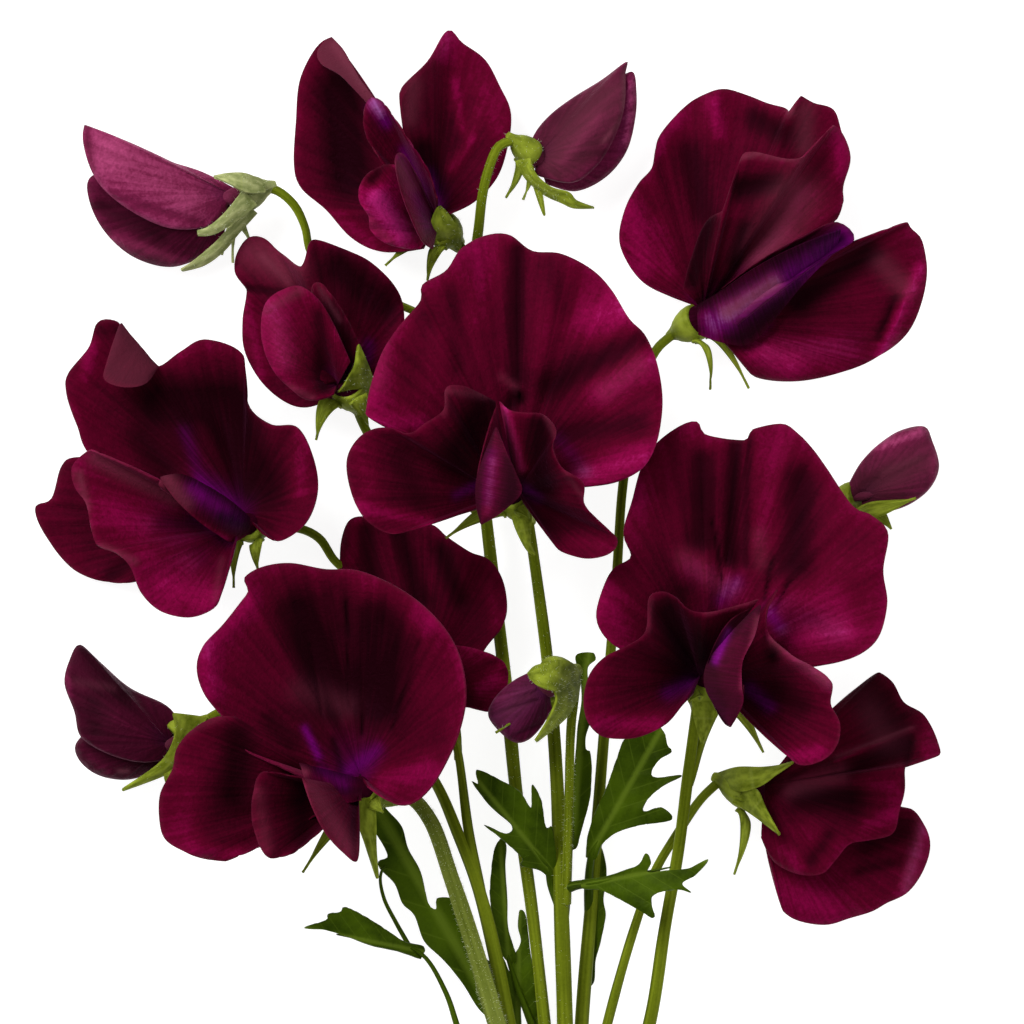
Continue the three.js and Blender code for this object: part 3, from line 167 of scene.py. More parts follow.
@dataclass(frozen=True)
class Strokes:
    """Soft strokes on a petal: (x, y, end x, end y, half width, strength), in pixels. The light strokes paint
    light and shade, darker where the petal folds into shade and lighter where it is lit, along with its own
    darker and lighter tones; the violet strokes add its own violet; the pale strokes paint a sheen and
    highlights, here and there with the petal's own paler tone.
    """

    light: Sequence[tuple[float, ...]] = ()
    violet: Sequence[tuple[float, ...]] = ()
    sheen_and_pale_tone: Sequence[tuple[float, ...]] = ()

    @staticmethod
    def strength(stroke: tuple[float, ...], x: np.ndarray, y: np.ndarray) -> np.ndarray:
        """How strong a stroke is at some pixels.

        Args:
            stroke: The stroke.
            x: The pixels' columns.
            y: The pixels' rows.

        Returns:
            Its strength at each pixel, which fades away from its line.
        """
        start_x, start_y, end_x, end_y, width, amount = stroke
        run_x, run_y = end_x - start_x, end_y - start_y
        share = ((x - start_x) * run_x + (y - start_y) * run_y) / max(run_x**2 + run_y**2, 1e-9)
        share = np.clip(share, 0, 1)
        away = np.hypot(x - start_x - share * run_x, y - start_y - share * run_y)
        return amount * np.exp(-((away / width) ** 2))

    def relief(self, points: np.ndarray) -> np.ndarray:
        """The folds of the petal at some points: what is dark lies lower, and what is light stands out."""
        x, y = pixels_of(points)
        return sum((self.strength(stroke, x, y) for stroke in self.light), np.zeros(len(x)))

    def tint(self, paint: np.ndarray, points: np.ndarray) -> None:
        """Adds the strokes to a petal's paint.

        Args:
            paint: The light shares, with painted light and shade, the violet shares, and the shares of
                painted sheen and paler tone of some points, one point in a row.
            points: The places of the points.
        """
        x, y = pixels_of(points)
        for column, strokes in enumerate((self.light, self.violet, self.sheen_and_pale_tone)):
            for stroke in strokes:
                paint[:, column] += self.strength(stroke, x, y)


class Line:
    """A smooth line through points, read by a share of its length."""

    def __init__(self, points: Sequence[np.ndarray]) -> None:
        """Measures the line.

        Args:
            points: The points that it passes through.
        """
        self.points = np.array(points)
        steps = np.linalg.norm(np.diff(self.points, axis=0), axis=1)
        self.shares = np.concatenate([[0], np.cumsum(steps)]) / steps.sum()

    def read(self, shares: np.ndarray) -> np.ndarray:
        """The points at some shares of the way along.

        Args:
            shares: Where along the line, from 0 to 1.

        Returns:
            One point in a row for each share.
        """
        last = len(self.points) - 2
        i = np.clip(np.searchsorted(self.shares, shares, side="right") - 1, 0, last)
        t = ((shares - self.shares[i]) / (self.shares[i + 1] - self.shares[i]))[:, None]
        before, start = self.points[np.maximum(i - 1, 0)], self.points[i]
        end, after = self.points[i + 1], self.points[np.minimum(i + 2, last + 1)]
        slope, bend = end - before, 2 * before - 5 * start + 4 * end - after
        twist = 3 * start - before - 3 * end + after
        return start + 0.5 * (slope * t + bend * t**2 + twist * t**3)


class Route:
    """The middle line of a limb: a centripetal curve through its points, read at even lengths."""

    DENSE = 24

    def __init__(self, points: Sequence[np.ndarray]) -> None:
        """Lays the curve out in short straight steps.

        Args:
            points: The points that it passes through.
        """
        pts = np.array(points)
        pts = np.vstack([2 * pts[0] - pts[1], pts, 2 * pts[-1] - pts[-2]])
        laid = []
        for a, b, c, d in zip(pts, pts[1:], pts[2:], pts[3:]):
            near, here, far = (math.sqrt(np.linalg.norm(q - p)) for p, q in ((a, b), (b, c), (c, d)))
            start = ((b - a) / near - (c - a) / (near + here) + (c - b) / here) * here
            end = ((c - b) / here - (d - b) / (here + far) + (d - c) / far) * here
            t = np.linspace(0, 1, self.DENSE, endpoint=False)[:, None]
            bend, twist = 3 * (c - b) - 2 * start - end, 2 * (b - c) + start + end
            laid.extend(b + start * t + bend * t**2 + twist * t**3)
        laid.append(pts[-2])
        self.laid = np.array(laid)
        steps = np.linalg.norm(np.diff(self.laid, axis=0), axis=1)
        self.length = steps.sum()
        self.shares = np.concatenate([[0], np.cumsum(steps)]) / self.length

    def read(self, shares: np.ndarray) -> np.ndarray:
        """The points at some shares of the way along, one in a row."""
        return np.stack([np.interp(shares, self.shares, self.laid[:, k]) for k in range(3)], axis=1)


# Making pieces


def deselect() -> None:
    bpy.ops.object.select_all(action="DESELECT")


def only(piece: Piece) -> None:
    """Selects one piece and makes it the active one.

    Args:
        piece: The piece.
    """
    deselect()
    piece.select_set(True)
    bpy.context.view_layer.objects.active = piece


def places_of(piece: Piece) -> np.ndarray:
    """The places of a piece's vertices.

    Args:
        piece: The piece.

    Returns:
        One place in a row.
    """
    flat = np.empty(len(piece.data.vertices) * 3)
    piece.data.vertices.foreach_get("co", flat)
    return flat.reshape(-1, 3)


def shaped_grid(name: str, facets: tuple[int, int], shape: Shape) -> Piece:
    """A grid, added as a primitive and shaped by a formula.

    Args:
        name: The piece's name.
        facets: How many facets it has across and along.
        shape: Gives the points, one in a row, for the grid's places across and along, both from 0 to 1.

    Returns:
        The new piece, whose UV map still holds the places across and along.
    """
    deselect()
    bpy.ops.mesh.primitive_grid_add(x_subdivisions=facets[0], y_subdivisions=facets[1], size=1)
    piece = bpy.context.object
    piece.name = piece.data.name = name
    across, along = np.clip(places_of(piece)[:, :2] + 0.5, 0, 1).T
    piece.data.vertices.foreach_set("co", shape(across, along).ravel())
    piece.data.update()
    return piece


def closed(piece: Piece) -> Piece:
    """Welds the seams and poles of a piece, closes its open ends and turns its faces outwards.

    Args:
        piece: The piece.

    Returns:
        The same piece.
    """
    only(piece)
    bpy.ops.object.mode_set(mode="EDIT")
    bpy.ops.mesh.select_all(action="SELECT")
    bpy.ops.mesh.remove_doubles(threshold=WELD)
    bpy.ops.mesh.select_all(action="DESELECT")
    bpy.ops.mesh.select_non_manifold(extend=False, use_wire=False, use_multi_face=False, use_verts=False)
    bpy.ops.mesh.edge_face_add()
    bpy.ops.mesh.select_all(action="SELECT")
    bpy.ops.mesh.normals_make_consistent(inside=False)
    bpy.ops.object.mode_set(mode="OBJECT")
    return piece


def faced_up(piece: Piece) -> Piece:
    """Turns the faces of an open sheet to the viewer above, where they look down on the whole.

    Args:
        piece: The sheet.

    Returns:
        The same piece.
    """
    mesh = piece.data
    normals = np.empty(len(mesh.polygons) * 3)
    areas = np.empty(len(mesh.polygons))
    mesh.polygons.foreach_get("normal", normals)
    mesh.polygons.foreach_get("area", areas)
    if (normals.reshape(-1, 3)[:, 2] * areas).sum() < 0:
        mesh.flip_normals()
    return piece


def thickened(piece: Piece, thickness: float, back: int = 0, rim: int = 0) -> Piece:
    """Gives a sheet its thickness, with other finishes on its back and its rim.

    Args:
        piece: The sheet.
        thickness: How thick it gets, half on either side.
        back: How many material slots further on the back's finish is.
        rim: How many material slots further on the rim's finish is.

    Returns:
        The same piece.
    """
    only(piece)
    wall = piece.modifiers.new("thickness", "SOLIDIFY")
    wall.thickness = thickness
    wall.offset = 0
    wall.use_even_offset = False
    wall.material_offset = back
    wall.material_offset_rim = rim
    bpy.ops.object.modifier_apply(modifier=wall.name)
    return piece


def painted(piece: Piece, paint: np.ndarray) -> None:
    """Writes the light share, with its painted light and shade, the violet share, and the share of painted
    sheen and paler tone that the petals' finishes read.

    Args:
        piece: The piece.
        paint: The shares of its vertices, one vertex in a row.
    """
    attribute = piece.data.attributes.new("paint", "FLOAT_VECTOR", "POINT")
    attribute.data.foreach_set("vector", np.clip(paint, 0, FULLEST_PAINT).ravel())


def dressed(piece: Piece, materials: Sequence[Material]) -> Piece:
    """Gives a piece its finishes.

    Args:
        piece: The piece.
        materials: The finishes, in the order of its slots.

    Returns:
        The same piece.
    """
    for material in materials:
        piece.data.materials.append(material)
    return piece


def joined(pieces: Sequence[Piece], name: str) -> Piece:
    """Joins pieces into the first of them and names it.

    Args:
        pieces: The pieces.
        name: The name of the whole.

    Returns:
        The first piece, which now holds them all.
    """
    only(pieces[0])
    for piece in pieces[1:]:
        piece.select_set(True)
    if len(pieces) > 1:
        bpy.ops.object.join()
    pieces[0].name = pieces[0].data.name = name
    return pieces[0]


def finished(piece: Piece, slot: str, *nodes: str) -> Piece:
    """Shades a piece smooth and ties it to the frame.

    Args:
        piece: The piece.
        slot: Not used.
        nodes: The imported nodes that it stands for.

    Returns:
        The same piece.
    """
    only(piece)
    bpy.ops.object.shade_smooth_by_angle(angle=SMOOTH_ANGLE)
    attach(piece, "root")
    if nodes:
        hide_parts(*nodes)
    LOG.info("%s: %d faces", piece.name, len(piece.data.polygons))
    return piece


def tube(
    name: str, route: Route, radii: np.ndarray, facets: tuple[int, int], rib: Shape | None = None
) -> Piece:
    """A limb with a round section along a route.

    Args:
        name: The piece's name.
        route: Its middle line.
        radii: Its radii in metres, spread evenly along it.
        facets: How many facets it has round and along.
        rib: Multiplies the radius by a value for each angle round and share along.

    Returns:
        The closed limb.
    """
    centres = route.read(np.linspace(0, 1, facets[1] + 1))
    tangents = np.gradient(centres, axis=0)
    tangents /= np.linalg.norm(tangents, axis=1)[:, None]
    across = np.array([1.0, 0.0, 0.0])
    sides = []
    for tangent in tangents:
        across = unit(across - tangent * across.dot(tangent))
        sides.append(across)
    sides = np.array(sides)
    ups = np.cross(tangents, sides)

    def shape(share: np.ndarray, along: np.ndarray) -> np.ndarray:
        """The limb's skin, which doesn't sink into the table.

        Args:
            share: The places round the limb.
            along: The places along it.

        Returns:
            The points of the skin.
        """
        step = np.rint(along * facets[1]).astype(int)
        angle = turned_round(share)
        radius = np.interp(along, np.linspace(0, 1, len(radii)), radii)
        if rib:
            radius = radius * rib(angle, along)
        skin = centres[step] + sides[step] * (radius * np.cos(angle))[:, None]
        skin += ups[step] * (radius * np.sin(angle))[:, None]
        skin[:, 2] = np.maximum(skin[:, 2], 0)
        return skin

    return closed(shaped_grid(name, facets, shape))


def haired(piece: Piece, count: int, finish: Material) -> Piece:
    """Sets fine hairs on a piece: one thin cone, copied, each leaning its own way.

    Args:
        piece: The piece, with its own material.
        count: How many hairs there are.
        finish: The finish of the hairs.

    Returns:
        The piece with its hairs.
    """
    rng = random.Random(piece.name)
    faces = list(piece.data.polygons)
    deselect()
    bpy.ops.mesh.primitive_cone_add(vertices=3, radius1=HAIR_RADIUS, depth=1, end_fill_type="NOTHING")
    model = bpy.context.object
    model.data.materials.append(finish)
    model.data.transform(Matrix.Scale(HAIR_LENGTH, 4, (0, 0, 1)) @ Matrix.Translation((0, 0, 0.5)))
    made = []
    for face in rng.choices(faces, [face.area for face in faces], k=count):
        first, second, third = (piece.data.vertices[k].co for k in rng.sample(list(face.vertices), 3))
        place = first.lerp(second, rng.random()).lerp(third, rng.random() / 2)
        lean = face.normal + Vector([rng.uniform(-HAIR_LEAN, HAIR_LEAN) for _ in range(3)])
        turn = lean.to_track_quat("Z", "Y").to_matrix().to_4x4()
        mesh = model.data.copy()
        mesh.transform(Matrix.Translation(place) @ turn @ Matrix.Scale(rng.uniform(0.5, 1), 4))
        made.append(bpy.data.objects.new("hair", mesh))
        bpy.context.collection.objects.link(made[-1])
    bpy.data.objects.remove(model)
    return joined([piece, *made], piece.name)


# Finishes


class Nodes:
    """Adds and links the nodes of one tree."""

    def __init__(self, tree: bpy.types.NodeTree) -> None:
        """Takes the tree that the nodes go into."""
        self.tree = tree

    def feed(self, node: bpy.types.Node, **values: object) -> None:
        """Sets or links the inputs of a node.

        Args:
            node: The node.
            values: Its inputs by name, with an underscore for each space, or by i and their number: a value,
                or the output that feeds it.
        """
        for name, value in values.items():
            key = int(name[1:]) if name[1:].isdigit() else name.replace("_", " ")
            if isinstance(value, Socket):
                self.tree.links.new(value, node.inputs[key])
            else:
                node.inputs[key].default_value = value

    def add(self, kind: str, settings: dict | None = None, **values: object) -> bpy.types.Node:
        """Adds a node.

        Args:
            kind: The node's type.
            settings: Its properties by name.
            values: Its inputs, as feed takes them.

        Returns:
            The new node.
        """
        node = self.tree.nodes.new(kind)
        for name, value in (settings or {}).items():
            setattr(node, name, value)
        self.feed(node, **values)
        return node

    def maths(self, operation: str, *values: object, clamp: bool = False) -> Socket:
        """The result of a Math node."""
        inputs = {f"i{k}": value for k, value in enumerate(values)}
        return self.add("ShaderNodeMath", {"operation": operation, "use_clamp": clamp}, **inputs).outputs[0]

    def mix(self, share: object, first: object, second: object) -> Socket:
        """The result of mixing two colours."""
        return self.add("ShaderNodeMix", {"data_type": "RGBA"}, i0=share, i6=first, i7=second).outputs[2]

    def effect(self, group: bpy.types.NodeTree) -> bpy.types.bpy_prop_collection:
        """The outputs of a shared effect that is placed in the tree."""
        return self.add("ShaderNodeGroup", {"node_tree": group}).outputs

    def ramp(self, share: object, stops: Stops) -> Socket:
        """The colour of a ramp at a share.

        Args:
            share: The share, or the output that gives it.
            stops: The places and colours of the ramp's stops.

        Returns:
            The output with the colour.
        """
        node = self.add("ShaderNodeValToRGB", i0=share)
        ramp = node.color_ramp
        for _ in stops[2:]:
            ramp.elements.new(0.5)
        for element, (place, colour) in zip(ramp.elements, stops):
            element.position = place
            element.color = rgba(colour)
        return node.outputs[0]


def rgba(colour: Colour) -> tuple[float, float, float, float]:
    """A colour with full alpha."""
    return (*colour, 1.0)


def shared_effect(
    name: str, inputs: dict[str, float], outputs: Sequence[str], build: Callable[..., dict[str, Socket]]
) -> bpy.types.NodeTree:
    """A node group that several finishes use, made the first time that it is asked for.

    Args:
        name: The group's name.
        inputs: Its inputs with their default values.
        outputs: The names of its outputs.
        build: Adds the nodes, given their tree and the group's inputs, and returns what feeds each output.

    Returns:
        The group.
    """
    group = bpy.data.node_groups.get(name)
    if group:
        return group
    group = bpy.data.node_groups.new(name, "ShaderNodeTree")
    for label, value in inputs.items():
        socket = group.interface.new_socket(label, in_out="INPUT", socket_type="NodeSocketFloat")
        socket.default_value = value
    for label in outputs:
        group.interface.new_socket(label, in_out="OUTPUT", socket_type="NodeSocketFloat")
    nodes = Nodes(group)
    given = nodes.add("NodeGroupInput")
    result = nodes.add("NodeGroupOutput")
    for label, socket in build(nodes, {label: given.outputs[label] for label in inputs}).items():
        group.links.new(socket, result.inputs[label])
    return group


def fan_veins() -> bpy.types.NodeTree:
    """Fine veins that fan out from a petal's claw, by its UV map.

    Returns:
        The group, which gives a mask and a height.
    """

    def build(nodes: Nodes, given: dict[str, Socket]) -> dict[str, Socket]:
        """Stretches noise along the way from the claw to the rim.

        Args:
            nodes: The group's nodes.
            given: The group's inputs.

        Returns:
            What feeds its outputs.
        """
        place = nodes.add("ShaderNodeUVMap", {"uv_map": "UVMap"}).outputs[0]
        spread = nodes.add("ShaderNodeCombineXYZ", X=given["Count"], Y=given["Length"]).outputs[0]
        place = nodes.add("ShaderNodeVectorMath", {"operation": "MULTIPLY"}, i0=place, i1=spread).outputs[0]
        flat = {"noise_dimensions": "2D"}
        streaks = nodes.add("ShaderNodeTexNoise", flat, Vector=place, Scale=1, Detail=3, Distortion=0.35)
        step = {"interpolation_type": "SMOOTHSTEP"}
        mask = nodes.add("ShaderNodeMapRange", step, Value=streaks.outputs[0], From_Min=0.3, From_Max=0.7)
        return {"Mask": mask.outputs[0], "Height": streaks.outputs[0]}

    return shared_effect("fan_veins", {"Count": 74, "Length": 1.3}, ["Mask", "Height"], build)


def cell_mottle() -> bpy.types.NodeTree:
    """Soft patches, fine cells and wrinkles of plant skin, by Object coordinates.

    Returns:
        The group, which gives all three, each around 0.5.
    """

    def build(nodes: Nodes, given: dict[str, Socket]) -> dict[str, Socket]:
        """Reads noise at three scales.

        Args:
            nodes: The group's nodes.
            given: The group's inputs.

        Returns:
            What feeds its outputs.
        """
        place = nodes.add("ShaderNodeTexCoord").outputs["Object"]
        found = {}
        for label, detail, distortion in (("Patches", 3, 0), ("Cells", 1, 0), ("Wrinkles", 3, 0.5)):
            inputs = {"Vector": place, "Scale": given[label], "Detail": detail, "Distortion": distortion}
            found[label] = nodes.add("ShaderNodeTexNoise", **inputs).outputs[0]
        return found

    inputs = {"Patches": 90, "Cells": 2600, "Wrinkles": 1250}
    return shared_effect("cell_mottle", inputs, list(inputs), build)


def new_material(name: str) -> tuple[Material, Nodes, bpy.types.Node]:
    """A new material with its nodes and its Principled BSDF.

    Args:
        name: The material's name.

    Returns:
        The material, the nodes of its tree, and the Principled BSDF.
    """
    material = bpy.data.materials.new(name)
    material.use_nodes = True
    return material, Nodes(material.node_tree), material.node_tree.nodes["Principled BSDF"]


@dataclass(frozen=True)
class PetalFinish:
    """Velvety petal skin, from nearly black through burgundy to magenta, by the paint on the petal, which
    holds painted light, shade and sheen along with its own colour.
    """

    name: str
    stops: Stops
    violets: Stops
    sheen_and_pale_tone: Colour
    sheen: float
    sheen_tint: Colour
    roughness: float
    vein_contrast: float
    vein_height: float

    # What patches, cells and wrinkles add to the light share: how strongly, and from what on. Cells and
    # wrinkles are scaled by the light share, so they paint the light and shade of fine crinkles where the
    # petal is lit.
    PATCHES = (0.3, -0.15)
    CELLS = (0.3, -0.15)
    WRINKLES = (0.45, -0.22)
    GLOW_VEINS = 0.3
    CELL_HEIGHT = 0.3
    WRINKLE_HEIGHT = 3.0
    BUMP = 0.6
    GLOSS = 0.03
    SHEEN_ROUGHNESS = 0.38

    def build(self) -> Material:
        """Makes the material.

        Returns:
            The material, which reads the paint attribute for the light share, with its painted light and
            shade, the violet share, and the share of painted sheen and paler tone.
        """
        material, nodes, skin = new_material(self.name)
        paint = nodes.add("ShaderNodeAttribute", {"attribute_name": "paint"}).outputs["Vector"]
        light, violet, sheen_and_pale_tone = nodes.add("ShaderNodeSeparateXYZ", Vector=paint).outputs
        veins, mottle = nodes.effect(fan_veins()), nodes.effect(cell_mottle())
        streaked = nodes.maths("MULTIPLY_ADD", veins["Mask"], self.vein_contrast, -self.vein_contrast / 2)
        patched = nodes.maths("MULTIPLY_ADD", mottle["Patches"], *self.PATCHES)
        speckled = nodes.maths("MULTIPLY_ADD", mottle["Cells"], *self.CELLS)
        wrinkled = nodes.maths("MULTIPLY_ADD", mottle["Wrinkles"], *self.WRINKLES)
        wrinkled = nodes.maths("MULTIPLY", nodes.maths("ADD", wrinkled, speckled), light)
        tone = nodes.maths("ADD", nodes.maths("ADD", light, streaked), patched)
        tone = nodes.maths("ADD", tone, wrinkled, clamp=True)
        glow = nodes.maths("MULTIPLY_ADD", veins["Mask"], self.GLOW_VEINS, violet)
        glow = nodes.maths("MULTIPLY", glow, violet, clamp=True)
        colour = nodes.mix(glow, nodes.ramp(tone, self.stops), nodes.ramp(tone, self.violets))
        # Mixes in the pale colour of the painted sheen and paler tone.
        colour = nodes.mix(sheen_and_pale_tone, colour, rgba(self.sheen_and_pale_tone))
        height = nodes.maths("MULTIPLY_ADD", mottle["Cells"], self.CELL_HEIGHT, veins["Height"])
        height = nodes.maths("MULTIPLY_ADD", mottle["Wrinkles"], self.WRINKLE_HEIGHT, height)
        bump = nodes.add("ShaderNodeBump", Height=height, Strength=self.BUMP, Distance=self.vein_height)
        nodes.feed(skin, Base_Color=colour, Normal=bump.outputs[0], Roughness=self.roughness)
        nodes.feed(skin, Specular_IOR_Level=self.GLOSS, Specular_Tint=rgba(self.sheen_tint))
        nodes.feed(skin, Sheen_Weight=self.sheen, Sheen_Roughness=self.SHEEN_ROUGHNESS)
        nodes.feed(skin, Sheen_Tint=rgba(self.sheen_tint))
        return material


@dataclass(frozen=True)
class GreenFinish:
    """Green skin of a stem, a sepal or a leaf, mottled, streaked along its length, and paler on its veins."""

    name: str
    dark: Colour
    light: Colour
    roughness: float
    streaks: float
    vein: Colour = (0.3, 0.34, 0.08)
    vein_share: float = 0.0
    vein_count: float = 1
    bump: float = 0.0001

    # What the streaks add to the tone, how strongly and from what on, and then the patches and the cells.
    STREAKS = (0.9, -0.15)
    PATCHES = 0.5
    CELLS = 0.2
    SHADE = -0.2
    STREAK_LENGTH = 3.0
    # From the middle of a vein, as a share of the way between two veins, and of the leaf's length.
    SIDE_VEIN = 0.06
    SIDE_VEIN_STRENGTH = 0.45
    MIDRIB = (0.008, 0.03)
    VEIN_HEIGHT = -0.8
    CELL_HEIGHT = 0.4
    BUMP = 0.5
    GLOSS = 0.05
    GLOSS_TINT = (0.85, 1.0, 0.35)

    def build(self) -> Material:
        """Makes the material.

        Returns:
            The material, whose veins leave the midrib at an angle where vein_share is above 0.
        """
        material, nodes, skin = new_material(self.name)
        place = nodes.add("ShaderNodeUVMap", {"uv_map": "UVMap"}).outputs[0]
        across, along, _ = nodes.add("ShaderNodeSeparateXYZ", Vector=place).outputs
        mottle = nodes.effect(cell_mottle())
        spread = (self.streaks, self.STREAK_LENGTH, 1.0)
        place = nodes.add("ShaderNodeVectorMath", {"operation": "MULTIPLY"}, i0=place, i1=spread).outputs[0]
        flat = {"noise_dimensions": "2D"}
        lines = nodes.add("ShaderNodeTexNoise", flat, Vector=place, Scale=1.0).outputs[0]
        tone = nodes.maths("MULTIPLY_ADD", lines, *self.STREAKS)
        tone = nodes.maths("MULTIPLY_ADD", mottle["Patches"], self.PATCHES, tone)
        tone = nodes.maths("MULTIPLY_ADD", mottle["Cells"], self.CELLS, tone)
        tone = nodes.maths("ADD", tone, self.SHADE, clamp=True)
        colour = nodes.ramp(tone, ((0.15, self.dark), (0.85, self.light)))
        aside = nodes.maths("ABSOLUTE", nodes.maths("SUBTRACT", across, 0.5))
        slanted = nodes.maths("MULTIPLY_ADD", aside, -VEIN_SLANT, along)
        wave = nodes.maths("FRACT", nodes.maths("MULTIPLY", slanted, self.vein_count))
        wave = nodes.maths("ABSOLUTE", nodes.maths("SUBTRACT", wave, 0.5))
        side_vein = nodes.add("ShaderNodeMapRange", Value=wave, From_Min=self.SIDE_VEIN, From_Max=0.0)
        inner, outer = self.MIDRIB
        midrib = nodes.add("ShaderNodeMapRange", Value=aside, From_Min=outer, From_Max=inner)
        faint = nodes.maths("MULTIPLY", side_vein.outputs[0], self.SIDE_VEIN_STRENGTH)
        vein = nodes.maths("MAXIMUM", faint, midrib.outputs[0])
        vein = nodes.maths("MULTIPLY", vein, self.vein_share, clamp=True)
        height = nodes.maths("MULTIPLY_ADD", vein, self.VEIN_HEIGHT, lines)
        height = nodes.maths("MULTIPLY_ADD", mottle["Cells"], self.CELL_HEIGHT, height)
        bump = nodes.add("ShaderNodeBump", Height=height, Strength=self.BUMP, Distance=self.bump)
        nodes.feed(skin, Base_Color=nodes.mix(vein, colour, rgba(self.vein)), Normal=bump.outputs[0])
        nodes.feed(skin, Roughness=self.roughness, Specular_IOR_Level=self.GLOSS)
        nodes.feed(skin, Specular_Tint=rgba(self.GLOSS_TINT))
        return material


@dataclass(frozen=True)
class HairFinish:
    """Fine, pale hairs."""

    name: str
    dark: Colour
    light: Colour
    roughness: float = 0.5

    def build(self) -> Material:
        """Makes the material.

        Returns:
            The material, mottled from one colour to the other.
        """
        material, nodes, skin = new_material(self.name)
        patches = nodes.effect(cell_mottle())["Patches"]
        tone = nodes.mix(patches, rgba(self.dark), rgba(self.light))
        nodes.feed(skin, Base_Color=tone, Roughness=self.roughness)
        return material


class Finishes:
    """Every finish of the flower stem, made once."""

    def __init__(self) -> None:
        """Makes the materials."""
        self.petal = PetalFinish(
            name="petal_front",
            stops=((0.0, (0.0085, 0.0004, 0.0018)), (0.22, (0.026, 0.0006, 0.0045)),
                   (0.45, (0.074, 0.0008, 0.0115)), (0.7, (0.17, 0.0014, 0.038)), (1.0, (0.33, 0.011, 0.12))),
            violets=((0.0, (0.03, 0.0003, 0.036)), (0.4, (0.125, 0.0008, 0.125)), (0.95, (0.36, 0.14, 0.4))),
            sheen_and_pale_tone=(0.13, 0.022, 0.042), sheen=0.06, sheen_tint=(1.0, 0.2, 0.5), roughness=0.6,
            vein_contrast=0.09, vein_height=0.0001,
        ).build()
        self.petal_back = PetalFinish(
            name="petal_back",
            stops=((0.0, (0.014, 0.0016, 0.0045)), (0.3, (0.04, 0.004, 0.011)), (0.6, (0.1, 0.01, 0.03)),
                   (1.0, (0.24, 0.04, 0.1))),
            violets=((0.0, (0.03, 0.001, 0.036)), (0.4, (0.1, 0.003, 0.1)), (0.95, (0.34, 0.15, 0.38))),
            sheen_and_pale_tone=(0.13, 0.03, 0.05), sheen=0.12, sheen_tint=(1.0, 0.45, 0.65), roughness=0.64,
            vein_contrast=0.12, vein_height=0.00012,
        ).build()
        # A lighter copy of the petal skin for the petals' cut rims: a painted highlight along their edges.
        self.petal_rim = PetalFinish(
            name="petal_rim",
            stops=((0.0, (0.05, 0.001, 0.012)), (0.5, (0.18, 0.006, 0.05)), (1.0, (0.42, 0.04, 0.18))),
            violets=((0.0, (0.06, 0.001, 0.07)), (1.0, (0.3, 0.06, 0.32))),
            sheen_and_pale_tone=(0.34, 0.1, 0.16), sheen=0.12, sheen_tint=(1.0, 0.5, 0.65), roughness=0.6,
            vein_contrast=0.1, vein_height=0.00005,
        ).build()
        self.bud = PetalFinish(
            name="bud_skin",
            stops=((0.0, (0.011, 0.0008, 0.003)), (0.3, (0.04, 0.002, 0.011)), (0.6, (0.12, 0.007, 0.038)),
                   (1.0, (0.36, 0.05, 0.15))),
            violets=((0.0, (0.02, 0.001, 0.02)), (0.4, (0.065, 0.005, 0.06)), (1.0, (0.24, 0.08, 0.2))),
            sheen_and_pale_tone=(0.12, 0.026, 0.045), sheen=0.12, sheen_tint=(1.0, 0.5, 0.7), roughness=0.6,
            vein_contrast=0.12, vein_height=0.00013,
        ).build()
        self.stem = GreenFinish(
            name="stem_skin", dark=(0.05, 0.068, 0.0012), light=(0.19, 0.235, 0.012), roughness=0.45,
            streaks=9,
        ).build()
        self.downy = GreenFinish(
            name="downy_stem", dark=(0.06, 0.078, 0.006), light=(0.21, 0.25, 0.045), roughness=0.6,
            streaks=9,
        ).build()
        self.calyx = GreenFinish(
            name="calyx_skin", dark=(0.07, 0.092, 0.004), light=(0.27, 0.325, 0.03), roughness=0.5,
            streaks=6, vein_share=0.15,
        ).build()
        self.downy_calyx = GreenFinish(
            name="downy_calyx", dark=(0.13, 0.16, 0.045), light=(0.43, 0.45, 0.2), roughness=0.6,
            streaks=6, vein_share=0.15,
        ).build()
        self.leaf = GreenFinish(
            name="leaf_skin", dark=(0.011, 0.023, 0.0005), light=(0.052, 0.09, 0.0024), roughness=0.48,
            streaks=5, vein=(0.09, 0.135, 0.01), vein_share=0.7, vein_count=7, bump=0.00014,
        ).build()
        self.hair = HairFinish(name="fine_hair", dark=(0.45, 0.5, 0.24), light=(0.8, 0.85, 0.7)).build()

    def petals(self) -> list[Material]:
        """The finishes of a petal's front, back and rim."""
        return [self.petal, self.petal_back, self.petal_rim]

    def buds(self) -> list[Material]:
        """The finishes of a bud fold's front, back and rim."""
        return [self.bud, self.petal_back, self.petal_rim]


# Blooms and buds


def in_order(angles: np.ndarray, step: float) -> np.ndarray:
    """Angles turned as little as it takes to run on in one sense, each at least a step after the last.

    Args:
        angles: The angles of a petal's rays.
        step: The least turn from one to the next.

    Returns:
        The new angles.
    """
    sense = math.copysign(1, angles[-1] - angles[0])
    runs: list[list[float]] = []
    for i, angle in enumerate(angles):
        runs.append([angle * sense - i * step, 1])
        while len(runs) > 1 and runs[-2][0] / runs[-2][1] > runs[-1][0] / runs[-1][1]:
            total, count = runs.pop()
            runs[-1][0] += total
            runs[-1][1] += count
    levels = np.concatenate([np.full(int(count), total / count) for total, count in runs])
    return (levels + np.arange(len(angles)) * step) * sense


